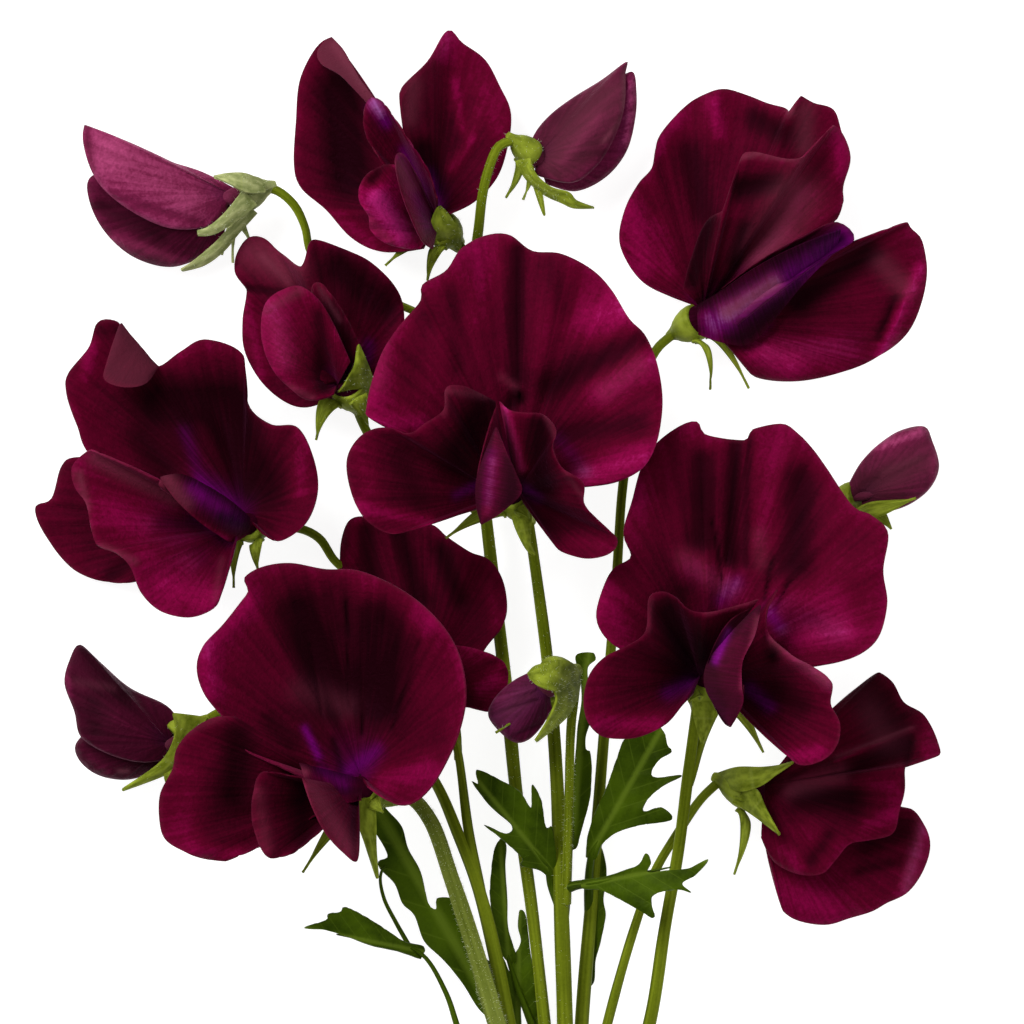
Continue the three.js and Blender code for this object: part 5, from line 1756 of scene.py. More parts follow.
CENTRE_WING_RIGHT = Petal(
    kind=Kind.WING, belly=1.2, ruffle=Ruffle(0.5, 3, 2.2), light=0.32,
    rim=[(500, 402, 32), (510, 411, 34), (525, 413, 36), (543, 415, 37), (556, 430, 37), (553, 448, 37),
         (562, 468, 37), (583, 483, 38), (584, 504, 38), (600, 522, 38), (617, 540, 37), (608, 554, 36),
         (585, 558, 36), (560, 550, 36), (544, 530, 35), (532, 514, 31), (524, 503, 27)],
    strokes=Strokes(
        light=[(504, 408, 522, 468, 6, 0.45), (540, 425, 544, 485, 11, -0.32), (572, 540, 604, 544, 9, 0.14)],
        violet=[(528, 488, 540, 498, 6, 0.6)],
        sheen_and_pale_tone=[(504, 408, 522, 468, 4, 0.2), (546, 416, 557, 440, 3, 0.25), (565, 472, 584, 498, 3, 0.2)],
    ),
)

CENTRE_STANDARD = Petal(
    kind=Kind.STANDARD, belly=2, ruffle=Ruffle(0.7, 6, 1), crease=Crease(14, 1.6), light=0.44,
    rim=[(462, 468, 28), (415, 434, 31), (371, 431, 32), (368, 402, 31), (381, 356, 29), (400, 326, 27),
         (421, 301, 26), (423, 285, 27), (446, 271, 25), (461, 249, 24), (485, 236, 22), (509, 235, 22),
         (532, 251, 21), (561, 254, 23), (592, 270, 23), (612, 291, 24), (629, 319, 26), (645, 336, 27),
         (657, 366, 28), (662, 402, 30), (657, 440, 32), (643, 467, 33), (618, 481, 34), (590, 486, 33),
         (566, 487, 30), (545, 487, 27)],
    strokes=Strokes(
        light=[
            (516, 250, 516, 378, 9, -0.33), (453, 295, 457, 368, 10, -0.14), (482, 255, 480, 320, 13, 0.1),
            (592, 322, 628, 308, 20, 0.26), (644, 338, 550, 386, 14, -0.26), (602, 394, 646, 362, 15, 0.26),
            (562, 434, 640, 424, 13, -0.2), (578, 478, 642, 458, 13, 0.28), (378, 424, 420, 424, 10, 0.25),
            (384, 340, 378, 398, 13, 0.16), (424, 320, 408, 380, 16, -0.12), (515, 396, 512, 404, 7, -0.4),
            (501, 377, 516, 388, 4, 0.12), (520, 395, 521, 401, 3, -0.5), (547, 262, 565, 310, 13, -0.14),
        ],
        violet=[(560, 440, 585, 472, 9, 0.3)],
        sheen_and_pale_tone=[(605, 392, 640, 366, 10, 0.2), (384, 345, 379, 385, 8, 0.12), (501, 377, 516, 388, 4, 0.25)],
    ),
)

CENTRE_BLOOM = Bloom(
    name="centre_bloom",
    calyx=Calyx(
        base=(528, 517, 17), mouth=(513, 492, 21), radius=3.2, sepals=[(446, 538, 26)], breadth=0.8,
        hoods=[Flap(
            bulge=0.6,
            fold=[(509, 506, 20), (515, 527, 22), (526, 548, 23.5), (534, 555, 24)],
            edge=[(532, 506, 20), (531, 525, 22), (530, 543, 23.6), (535, 554, 24)],
        )],
    ),
    petals={"keel": CENTRE_KEEL, "wing_left": CENTRE_WING_LEFT, "wing_right": CENTRE_WING_RIGHT,
            "standard": CENTRE_STANDARD},
)

RIGHT_KEEL = Petal(
    kind=Kind.KEEL, swell=1.4, light=0.16,
    rim=[(752, 606, 37), (728, 620, 40), (710, 650, 42), (704, 680, 42), (714, 708, 42), (728, 725, 41),
         (741, 703, 40), (743, 684, 36)],
    strokes=Strokes(
        light=[(727, 630, 714, 660, 5, 0.25), (706, 668, 718, 705, 10, -0.25), (756, 618, 741, 686, 4, 0.3)],
        violet=[(727, 630, 714, 660, 5, 0.95), (708, 690, 722, 715, 7, 0.12)],
        sheen_and_pale_tone=[(756, 618, 741, 686, 3.5, 0.5)],
    ),
    flaps=[Flap(
        bulge=0.7, light=0.2, violet=0.12, sheen_and_pale_tone=0.1, front=True,
        fold=[(758, 605, 38), (742, 619, 40), (722, 641, 41), (705, 664, 41.4), (705, 690, 42.2),
              (728, 725, 42)],
        edge=[(759, 606, 38.2), (753, 634, 41), (741, 660, 42.6), (740, 684, 42.8), (741, 702, 42.4),
              (729, 725, 42)],
    )],
)

RIGHT_WING_LEFT = Petal(
    kind=Kind.WING, belly=1.5, ruffle=Ruffle(0.5, 3, 1.3), light=0.36,
    rim=[(757, 599, 33), (732, 606, 35), (705, 612, 37), (688, 609, 38), (674, 596, 38), (660, 591, 38),
         (648, 598, 38), (644, 632, 38), (620, 648, 37), (602, 658, 38), (588, 676, 39), (583, 700, 39),
         (588, 722, 39), (605, 736, 38), (635, 736, 38), (664, 723, 37), (681, 704, 35), (692, 693, 30)],
    strokes=Strokes(
        light=[
            (668, 612, 692, 652, 17, -0.36), (598, 722, 655, 722, 10, 0.25), (600, 675, 598, 700, 10, 0.1),
        ],
        violet=[(688, 683, 668, 692, 10, 0.65)],
        sheen_and_pale_tone=[(705, 613, 755, 600, 3, 0.25), (650, 600, 648, 630, 3, 0.2)],
    ),
)

RIGHT_WING_RIGHT = Petal(
    kind=Kind.WING, belly=1.2, ruffle=Ruffle(0.5, 3, 0.2), light=0.36,
    rim=[(777, 590, 33), (767, 606, 35), (767, 632, 37), (790, 654, 39), (813, 667, 39), (830, 682, 39),
         (829, 703, 38), (838, 722, 39), (835, 744, 39), (820, 759, 39), (797, 763, 39), (776, 747, 38),
         (758, 729, 36), (736, 706, 31)],
    strokes=Strokes(
        light=[
            (772, 638, 828, 682, 8, 0.4), (778, 692, 800, 704, 13, -0.2), (785, 756, 818, 750, 8, 0.25),
            (786, 615, 772, 655, 7, -0.35),
        ],
        violet=[(750, 688, 768, 706, 9, 0.7)],
        sheen_and_pale_tone=[(772, 638, 828, 682, 6, 0.7)],
    ),
)

RIGHT_STANDARD = Petal(
    kind=Kind.STANDARD, belly=2, ruffle=Ruffle(0.7, 6, 0.2), crease=Crease(14, 2.2), light=0.44,
    rim=[(655, 662, 28), (620, 648, 31), (603, 634, 31), (596, 614, 31), (604, 585, 30), (614, 568, 29),
         (631, 556, 28), (623, 532, 29), (632, 500, 27), (641, 468, 25), (656, 444, 24), (680, 426, 23),
         (697, 422, 23), (706, 435, 24), (746, 440, 24), (751, 430, 24), (782, 424, 23), (798, 434, 24),
         (813, 450, 24), (826, 468, 25), (852, 506, 27), (870, 515, 27), (887, 533, 29), (882, 570, 30),
         (886, 604, 31), (876, 638, 33), (851, 657, 35), (820, 664, 35), (792, 668, 32), (765, 670, 28)],
    strokes=Strokes(
        light=[
            (735, 446, 730, 560, 8, -0.42), (749, 438, 746, 565, 4, -0.2), (712, 520, 722, 580, 2, -0.25),
            (772, 560, 764, 600, 2, -0.25), (790, 580, 775, 610, 2, -0.2), (690, 565, 735, 590, 17, 0.16),
            (780, 600, 830, 604, 17, 0.16), (772, 450, 765, 540, 15, 0.1), (703, 460, 700, 540, 13, -0.34),
            (800, 480, 795, 562, 17, -0.34), (684, 558, 716, 582, 11, 0.05), (759, 535, 761, 562, 8, 0.04),
            (790, 640, 842, 630, 15, 0.3), (610, 596, 620, 638, 14, 0.12), (852, 545, 862, 595, 16, -0.06),
            (640, 490, 635, 540, 11, 0.1), (655, 600, 690, 590, 10, -0.1),
        ],
        violet=[
            (690, 570, 735, 592, 15, 0.1), (780, 608, 836, 630, 16, 0.16), (720, 600, 735, 582, 9, 0.4),
            (768, 612, 780, 628, 8, 0.5),
        ],
        sheen_and_pale_tone=[(684, 558, 716, 582, 11, 0.2), (759, 535, 761, 562, 8, 0.2)],
    ),
)

RIGHT_BLOOM = Bloom(
    name="right_bloom",
    calyx=Calyx(
        base=(698, 706, 16.5), mouth=(706, 676, 21), radius=3.1, sepals=[(763, 752, 26)], breadth=0.8,
        hoods=[Flap(
            bulge=0.6,
            fold=[(692, 690, 20), (693, 712, 20.5), (698, 733, 20.5), (702, 744, 20)],
            edge=[(707, 694, 20.6), (714, 710, 20.2), (709, 729, 20), (703, 743, 19.8)],
        )],
    ),
    petals={"keel": RIGHT_KEEL, "wing_left": RIGHT_WING_LEFT, "wing_right": RIGHT_WING_RIGHT,
            "standard": RIGHT_STANDARD},
)

LOWER_LEFT_KEEL = Petal(
    kind=Kind.KEEL, swell=0.9, light=0.36,
    rim=[(303, 776, 39), (312, 802, 42), (326, 830, 43), (344, 850, 43), (358, 859, 42), (361, 835, 39),
         (360, 806, 35)],
    strokes=Strokes(
        light=[(312, 785, 350, 845, 9, 0.12), (355, 800, 357, 850, 5, -0.15)],
        sheen_and_pale_tone=[(312, 785, 350, 845, 10, 0.45)],
    ),
)

LOWER_LEFT_WING_RIGHT = Petal(
    kind=Kind.WING, belly=1, ruffle=Ruffle(0.4, 3, 2), light=0.3,
    rim=[(312, 783, 35), (288, 771, 37), (263, 771, 38), (255, 790, 39), (253, 814, 39), (258, 836, 39),
         (266, 852, 39), (276, 856, 38), (300, 849, 38), (318, 833, 38), (330, 818, 36)],
    strokes=Strokes(
        light=[(260, 790, 268, 845, 8, 0.12), (300, 800, 305, 842, 10, -0.15)],
        sheen_and_pale_tone=[(260, 790, 268, 845, 7, 0.25)],
    ),
)

LOWER_LEFT_WING_LEFT = Petal(
    kind=Kind.WING, belly=1.5, ruffle=Ruffle(0.6, 4, 0.5), light=0.34,
    rim=[(236, 716, 32), (214, 717, 34), (192, 730, 34), (178, 748, 34), (174, 768, 34), (162, 792, 35),
         (161, 818, 35), (167, 838, 34), (188, 851, 34), (212, 858, 33), (237, 858, 33), (266, 842, 33),
         (300, 826, 32), (326, 806, 29)],
    strokes=Strokes(
        light=[
            (190, 772, 186, 832, 15, 0.16), (240, 735, 236, 792, 15, -0.34), (195, 849, 242, 852, 7, 0.18),
        ],
        sheen_and_pale_tone=[(222, 716, 190, 730, 4, 0.2)],
    ),
)

LOWER_LEFT_STANDARD = Petal(
    kind=Kind.STANDARD, belly=-2.5, ruffle=Ruffle(0.6, 5, 0.6), crease=Crease(12, 1), light=0.4,
    rim=[(322, 786, 26), (285, 768, 29), (243, 747, 31), (228, 722, 31), (206, 694, 31), (198, 668, 31),
         (204, 646, 30), (224, 624, 29), (241, 602, 28), (249, 590, 28), (245, 578, 28), (262, 567, 26),
         (290, 563, 25), (325, 569, 25), (356, 570, 25), (388, 582, 26), (417, 600, 27), (441, 623, 29),
         (456, 646, 30), (464, 672, 32), (466, 700, 33), (459, 732, 34), (447, 760, 34), (433, 784, 34),
         (418, 799, 33), (402, 804, 32), (384, 797, 29), (368, 786, 26)],
    strokes=Strokes(
        light=[
            (300, 610, 330, 700, 22, -0.42), (388, 612, 378, 700, 24, -0.42), (345, 600, 350, 690, 24, -0.16),
            (346, 600, 349, 710, 2, -0.22), (364, 610, 362, 735, 2, -0.22), (308, 630, 322, 715, 2, -0.2),
            (420, 640, 392, 730, 2, -0.15), (206, 642, 214, 690, 11, 0.28), (226, 630, 252, 600, 13, 0.2),
            (368, 588, 428, 625, 13, 0.2), (458, 650, 456, 730, 11, 0.04), (385, 782, 428, 768, 14, 0.28),
            (305, 728, 318, 756, 5, 0.1), (334, 740, 342, 770, 4, -0.2), (330, 790, 362, 790, 5, -0.15),
            (238, 738, 305, 772, 6, 0.2), (346, 640, 348, 720, 7, 0.12), (270, 720, 290, 745, 9, -0.15),
        ],
        violet=[(305, 728, 318, 756, 5, 0.75), (348, 772, 378, 750, 9, 0.42), (322, 768, 345, 786, 7, 0.4)],
        sheen_and_pale_tone=[(300, 690, 345, 705, 14, 0.18), (238, 738, 305, 772, 5, 0.5)],
    ),
    flaps=[Flap(
        bulge=0.3, light=0.26, violet=0.12, sheen_and_pale_tone=0.0, front=True,
        fold=[(300, 762, 30), (322, 768, 29), (342, 773, 27.4), (362, 779, 25)],
        edge=[(310, 790, 31), (330, 798, 31), (346, 802, 29.4), (361, 800, 26)],
    )],
)

LOWER_LEFT_BLOOM = Bloom(
    name="lower_left_bloom",
    calyx=Calyx(
        base=(374, 802, 15.5), mouth=(360, 788, 20), radius=3, sepals=[(303, 872, 24)], breadth=0.8,
        hoods=[Flap(
            bulge=0.6,
            fold=[(359, 793, 21), (358, 820, 22), (366, 845, 22.6), (377, 878, 22)],
            edge=[(375, 800, 21), (376, 822, 22), (376, 848, 22.6), (378, 877, 22)],
        )],
    ),
    petals={"keel": LOWER_LEFT_KEEL, "wing_right": LOWER_LEFT_WING_RIGHT, "wing_left": LOWER_LEFT_WING_LEFT,
            "standard": LOWER_LEFT_STANDARD},
)

LEFT_KEEL = Petal(
    kind=Kind.KEEL, swell=1.2, light=0.2, lift=1.6,
    rim=[(215, 500, 24), (190, 478, 27), (168, 476, 28), (160, 486, 28), (178, 500, 27), (205, 512, 25)],
    strokes=Strokes(
        light=[
            (196, 490, 225, 506, 8, 0.12), (168, 480, 186, 502, 9, 0.06), (205, 525, 226, 538, 4, 0.14),
            (222, 516, 246, 524, 6, -0.25), (222, 536, 236, 540, 5, 0.2),
        ],
        violet=[(196, 490, 236, 518, 13, 0.7)],
        sheen_and_pale_tone=[(168, 480, 186, 502, 9, 0.5)],
    ),
    flaps=[Flap(
        bulge=0.5, light=0.2, sheen_and_pale_tone=0.0, front=True,
        fold=[(162, 477, 29.6), (182, 474, 30), (205, 484, 28), (230, 500, 22.5), (249, 517, 16)],
        edge=[(162, 479, 29.6), (178, 501, 29), (199, 521, 26), (217, 534, 22), (232, 542, 18),
              (249, 533, 14.5)],
    )],
)

LEFT_WING_LEFT = Petal(
    kind=Kind.WING, belly=2, ruffle=Ruffle(0.7, 4, 1), light=0.46,
    rim=[(212, 505, 25), (176, 492, 28), (145, 475, 30), (126, 456, 31), (101, 448, 31), (85, 454, 30),
         (73, 468, 30), (76, 487, 30), (87, 503, 30), (93, 530, 31), (99, 545, 31), (118, 553, 32),
         (132, 567, 32), (142, 592, 31), (162, 611, 30), (190, 617, 29), (214, 608, 28), (222, 592, 27),
         (230, 566, 25), (235, 548, 20)],
    strokes=Strokes(
        light=[
            (98, 458, 175, 498, 9, 0.08), (113, 512, 142, 530, 17, 0.2), (168, 585, 208, 596, 17, 0.24),
            (165, 522, 200, 524, 9, -0.2), (150, 560, 188, 562, 11, 0.12),
        ],
        violet=[(198, 515, 232, 535, 12, 0.4), (160, 520, 200, 560, 20, 0.15)],
        sheen_and_pale_tone=[
            (98, 458, 175, 498, 8, 0.6), (80, 473, 88, 508, 4, 0.5), (103, 547, 136, 561, 4, 0.4),
            (222, 560, 216, 600, 4, 0.2),
        ],
    ),
)

LEFT_WING_RIGHT = Petal(
    kind=Kind.WING, belly=-1, ruffle=Ruffle(0.6, 4, 2), light=0.32,
    rim=[(170, 492, 10), (118, 462, 7), (74, 457, 5), (59, 466, 3.5), (49, 498, 2), (32, 508, 0),
         (44, 538, 0), (73, 571, 2), (110, 583, 4), (140, 580, 7), (180, 566, 10), (212, 548, 12)],
    strokes=Strokes(light=[(110, 575, 130, 560, 8, -0.2), (50, 510, 70, 550, 14, 0.06)]),
)

LEFT_STANDARD = Petal(
    kind=Kind.STANDARD, belly=-1.5, ruffle=Ruffle(0.7, 5, 0), crease=Crease(9, 1.2), light=0.36,
    rim=[(262, 533, 17), (280, 541, 17), (306, 523, 20), (318, 490, 21), (313, 456, 21), (297, 427, 20),
         (270, 424, 18), (247, 403, 16), (243, 355, 15), (205, 339, 14), (180, 351, 14), (157, 366, 15),
         (144, 352, 15.5), (130, 334, 16), (116, 321, 16), (97, 322, 15.5), (88, 347, 14), (67, 373, 13),
         (65, 392, 13), (76, 425, 14), (90, 456, 15), (140, 494, 17)],
    strokes=Strokes(
        light=[
            (100, 330, 120, 330, 9, -0.15), (92, 344, 84, 378, 7, 0.2), (185, 352, 226, 352, 11, 0.1),
            (160, 402, 228, 402, 24, -0.42), (235, 430, 258, 482, 22, -0.42), (302, 440, 301, 492, 10, 0.22),
            (84, 400, 100, 442, 11, 0.02), (140, 440, 165, 470, 14, -0.2),
        ],
        violet=[(184, 430, 198, 474, 8, 0.4), (204, 490, 228, 512, 13, 0.75)],
    ),
    flaps=[Flap(
        light=0.22, sheen_and_pale_tone=0.4,
        fold=[(121, 323, 17.2), (131, 336, 17.0), (144, 352, 16.4), (157, 366, 15.6)],
        edge=[(119, 326, 17.4), (107, 361, 18.4), (104, 379, 18.6), (122, 387, 18.6), (144, 384, 17.8),
              (157, 367, 15.7)],
    )],
)

LEFT_BLOOM = Bloom(
    name="left_bloom",
    calyx=Calyx(
        base=(260, 531, 8), mouth=(247, 523, 12.5), radius=2.9, sepals=[(233, 588, 12), (257, 570, 12)],
        core=0.8, bare=True,
    ),
    petals={"keel": LEFT_KEEL, "wing_left": LEFT_WING_LEFT, "wing_right": LEFT_WING_RIGHT,
            "standard": LEFT_STANDARD},
)

MIDDLE_LEFT_KEEL = Petal(
    kind=Kind.KEEL, swell=0.8, light=0.34,
    rim=[(335, 350, 22), (318, 325, 22), (300, 318, 22), (295, 340, 22), (305, 365, 22), (325, 384, 21)],
    strokes=Strokes(light=[(314, 286, 356, 352, 9, 0.26)], sheen_and_pale_tone=[(314, 286, 356, 352, 9, 0.7)]),
)

MIDDLE_LEFT_WING_LEFT = Petal(
    kind=Kind.WING, belly=1.8, ruffle=Ruffle(0.4, 3, 0), light=0.48,
    rim=[(350, 362, 24), (333, 324, 26), (318, 300, 27), (300, 287, 27), (282, 291, 27), (267, 303, 27),
         (262, 325, 27), (265, 350, 27), (276, 373, 26), (292, 389, 26), (306, 399, 25), (322, 399, 24),
         (334, 394, 23)],
    strokes=Strokes(
        light=[(274, 308, 284, 362, 13, 0.25), (320, 315, 324, 388, 8, -0.25)],
        sheen_and_pale_tone=[(300, 291, 268, 310, 5, 0.35), (285, 386, 312, 398, 4, 0.4), (275, 320, 285, 360, 12, 0.2)],
    ),
)

MIDDLE_LEFT_WING_RIGHT = Petal(
    kind=Kind.WING, belly=0.8, ruffle=Ruffle(0.3, 2, 0.5), light=0.32,
    rim=[(361, 350, 23), (350, 325, 24), (335, 300, 25), (320, 283, 24), (312, 290, 22), (318, 320, 21),
         (334, 356, 20)],
    strokes=Strokes(light=[(335, 310, 350, 340, 8, -0.2)], sheen_and_pale_tone=[(322, 290, 340, 320, 3, 0.3)]),
)

MIDDLE_LEFT_STANDARD = Petal(
    kind=Kind.STANDARD, belly=-1.5, ruffle=Ruffle(0.6, 5, 0.4), light=0.36,
    rim=[(377, 376, 15), (391, 355, 15), (403, 328, 15), (402, 302, 15), (391, 281, 15), (371, 262, 15),
         (350, 251, 16), (319, 240, 17), (309, 243, 18), (301, 266, 17), (282, 254, 12), (262, 237, 11),
         (246, 238, 10), (235, 256, 10), (235, 275, 10), (246, 288, 10), (242, 320, 10), (244, 350, 11),
         (260, 380, 12), (284, 401, 14), (306, 407, 15), (333, 399, 17)],
    strokes=Strokes(
        light=[
            (340, 268, 385, 305, 18, -0.36), (324, 303, 358, 346, 6, 0.3), (250, 250, 290, 268, 15, 0.1),
            (246, 288, 284, 292, 4, -0.22), (246, 300, 262, 376, 7, 0.16),
        ],
        violet=[(368, 345, 366, 360, 8, 0.6)],
        sheen_and_pale_tone=[(250, 250, 290, 268, 17, 0.5), (262, 256, 288, 282, 4, 0.25)],
    ),
)

MIDDLE_LEFT_BLOOM = Bloom(
    name="middle_left_bloom",
    calyx=Calyx(
        base=(356, 407, 14), mouth=(347, 385, 17.5), radius=2.9, sepals=[(316, 440, 18), (368, 425, 15)],
        breadth=0.9, hairs=240, bare=True,
        hoods=[Flap(
            bulge=0.5,
            fold=[(375, 402, 14), (374, 384, 17.5), (370, 370, 20.5), (365, 358, 22.5), (359, 345, 23)],
            edge=[(334, 393, 17), (341, 389, 20), (348, 378, 22), (354, 365, 23), (358, 345, 23.2)],
        )],
    ),
    petals={"keel": MIDDLE_LEFT_KEEL, "wing_left": MIDDLE_LEFT_WING_LEFT,
            "wing_right": MIDDLE_LEFT_WING_RIGHT, "standard": MIDDLE_LEFT_STANDARD},
)

TOP_KEEL = Petal(
    kind=Kind.KEEL, swell=0.9, light=0.34, lift=0.6,
    rim=[(420, 180, 24), (404, 155, 27), (395, 160, 29), (400, 190, 29), (411, 220, 28), (422, 242, 26),
         (433, 250, 23)],
    strokes=Strokes(
        light=[(408, 190, 420, 232, 8, 0.12)],
        violet=[(402, 160, 428, 228, 8, 0.4)],
        sheen_and_pale_tone=[(400, 165, 412, 186, 7, 0.55)],
    ),
)

TOP_WING_LEFT = Petal(
    kind=Kind.WING, belly=1.5, ruffle=Ruffle(0.4, 3, 0.2), light=0.56,
    rim=[(398, 166, 23), (383, 166, 25), (366, 176, 26), (359, 191, 26), (361, 204, 26), (369, 216, 26),
         (371, 230, 25), (384, 242, 24), (404, 248, 22), (420, 249, 20)],
    strokes=Strokes(
        light=[(388, 158, 372, 180, 8, -0.4), (378, 200, 402, 234, 13, 0.5), (410, 215, 418, 240, 5, -0.1)],
        sheen_and_pale_tone=[(366, 215, 392, 245, 5, 0.25)],
    ),
)

TOP_WING_RIGHT = Petal(
    kind=Kind.WING, belly=-0.8, ruffle=Ruffle(0.4, 3, 1), light=0.34,
    rim=[(402, 190, 19), (384, 165, 21), (366, 135, 21), (364, 112, 22), (370, 99, 22), (382, 102, 22),
         (397, 122, 22), (412, 145, 22), (428, 170, 21), (437, 198, 19)],
    strokes=Strokes(
        light=[(374, 104, 380, 112, 7, 0.35)],
        violet=[(374, 104, 386, 122, 8, 0.75), (405, 150, 425, 190, 8, 0.6)],
    ),
)

TOP_STANDARD = Petal(
    kind=Kind.STANDARD, belly=-1.5, ruffle=Ruffle(0.5, 5, 0.3), light=0.38,
    rim=[(424, 248, 15), (402, 251, 14), (376, 250, 12), (350, 236, 10), (325, 208, 8), (300, 186, 6),
         (293, 163, 5), (295, 120, 5), (299, 78, 6), (316, 45, 8), (333, 36, 10), (345, 52, 13),
         (372, 98, 18), (392, 123, 18), (403, 135, 17), (400, 105, 18), (402, 87, 18), (428, 60, 14),
         (447, 29, 10), (462, 41, 9), (485, 58, 9), (500, 85, 10), (511, 112, 11), (507, 148, 12),
         (497, 177, 13), (476, 200, 14), (450, 213, 15)],
    strokes=Strokes(
        light=[
            (339, 88, 348, 175, 22, -0.46), (303, 110, 303, 172, 8, -0.02), (424, 150, 434, 190, 11, -0.4),
            (432, 180, 438, 205, 5, 0.3), (446, 36, 441, 52, 9, 0.32), (455, 80, 462, 128, 5, 0.22),
            (472, 140, 452, 168, 6, 0.2), (486, 90, 499, 132, 11, 0.12), (340, 216, 372, 243, 8, 0.16),
            (478, 110, 470, 135, 6, 0.14),
        ],
        violet=[(372, 108, 376, 116, 7, 0.7), (428, 172, 437, 214, 8, 0.6)],
        sheen_and_pale_tone=[(334, 44, 370, 98, 5, 0.3), (413, 84, 408, 118, 9, 0.45)],
    ),
    flaps=[Flap(
        bulge=0.4, light=0.24, sheen_and_pale_tone=0.5,
        fold=[(331, 36, 11), (337, 42, 12), (345, 52, 13.8), (358, 77, 16.8), (366, 88, 18), (374, 98, 18.6)],
        edge=[(325, 39, 11.4), (317, 51, 12.4), (321, 63, 14.2), (339, 74, 16.8), (352, 87, 18.4),
              (366, 102, 19)],
    )],
)

TOP_BLOOM = Bloom(
    name="top_bloom",
    calyx=Calyx(
        base=(456, 238, 8.5), mouth=(439, 226, 12.5), radius=3, sepals=[(385, 265, 13), (427, 280, 13)],
        hairs=160, core=0.8, bare=True,
        hoods=[Flap(
            bulge=0.8,
            fold=[(440, 206, 15.5), (448, 214, 15.5), (456, 226, 14), (461, 240, 11), (459, 251, 8)],
            edge=[(437, 207, 16.5), (431, 220, 18), (431, 232, 17), (440, 241, 13), (457, 251, 8.6)],
        )],
    ),
    petals={"keel": TOP_KEEL, "wing_left": TOP_WING_LEFT, "wing_right": TOP_WING_RIGHT,
            "standard": TOP_STANDARD},
)

UPPER_RIGHT_KEEL = Petal(
    kind=Kind.KEEL, swell=1.3, light=0.16, lift=1.2,
    rim=[(722, 288, 16), (760, 260, 19), (803, 236, 21), (836, 222, 22), (854, 240, 22), (820, 262, 20),
         (775, 296, 18), (738, 325, 15)],
    strokes=Strokes(
        light=[
            (728, 312, 774, 283, 10, 0.6), (706, 315, 716, 330, 9, 0.3), (740, 340, 800, 290, 10, -0.18),
            (716, 300, 760, 266, 6, 0.15), (820, 252, 846, 238, 7, -0.1), (847, 234, 853, 242, 4, 0.2),
        ],
        violet=[(725, 318, 850, 236, 16, 0.75), (706, 318, 712, 335, 9, 0.3)],
        sheen_and_pale_tone=[(728, 312, 774, 283, 9, 0.85)],
    ),
    flaps=[Flap(
        bulge=0.8, light=0.16, violet=0.08, sheen_and_pale_tone=0.0, front=True,
        fold=[(698, 304, 13.5), (722, 290, 17.5), (748, 272, 20.5), (780, 254, 23), (812, 240, 24.6),
              (840, 230, 24.4)],
        edge=[(699, 334, 12), (728, 343, 13), (751, 343, 13), (772, 322, 14), (802, 285, 17), (836, 250, 21)],
    )],
)

UPPER_RIGHT_WING_RIGHT = Petal(
    kind=Kind.WING, belly=1.5, ruffle=Ruffle(0.7, 4, 1), light=0.4,
    rim=[(775, 283, 17), (830, 252, 21), (857, 239, 22), (884, 226, 22), (902, 216, 21), (911, 228, 21),
         (922, 240, 20), (927, 270, 18), (922, 302, 16), (909, 331, 14), (885, 352, 12), (850, 369, 11),
         (800, 380, 10), (757, 376, 10), (740, 358, 10), (724, 340, 10)],
    strokes=Strokes(
        light=[
            (800, 300, 868, 252, 13, -0.36), (756, 352, 792, 366, 14, 0.26), (770, 345, 832, 342, 15, 0.14),
            (921, 268, 882, 356, 6, 0.38), (897, 298, 880, 336, 5, -0.28), (800, 360, 850, 350, 14, 0.1),
        ],
        violet=[(745, 338, 765, 322, 8, 0.5), (770, 350, 850, 345, 18, 0.12)],
        sheen_and_pale_tone=[(882, 262, 906, 288, 11, 0.35)],
    ),
)

UPPER_RIGHT_WING_LEFT = Petal(
    kind=Kind.WING, belly=2, ruffle=Ruffle(0.4, 3, 0), light=0.4,
    rim=[(684, 289, 12), (692, 258, 14), (708, 220, 17), (735, 205, 20), (727, 180, 21), (733, 160, 21),
         (752, 152, 21), (790, 159, 20), (815, 151, 18), (826, 124, 16), (841, 130, 14), (851, 156, 13),
         (844, 184, 13), (842, 208, 13), (828, 228, 13), (785, 258, 12), (740, 288, 11)],
    strokes=Strokes(
        light=[
            (742, 188, 776, 184, 11, -0.44), (798, 200, 768, 256, 21, 0.36), (710, 216, 692, 280, 9, -0.42),
            (722, 215, 735, 212, 6, 0.1), (745, 228, 735, 262, 6, -0.3), (838, 130, 843, 172, 8, 0.18),
            (800, 225, 810, 205, 8, -0.15),
        ],
        violet=[(742, 270, 775, 235, 8, 0.2)],
        sheen_and_pale_tone=[
            (795, 195, 765, 258, 22, 0.7), (734, 160, 727, 172, 3, 0.6), (736, 158, 760, 153, 3, 0.6),
            (764, 156, 800, 160, 3, 0.5),
        ],
    ),
)

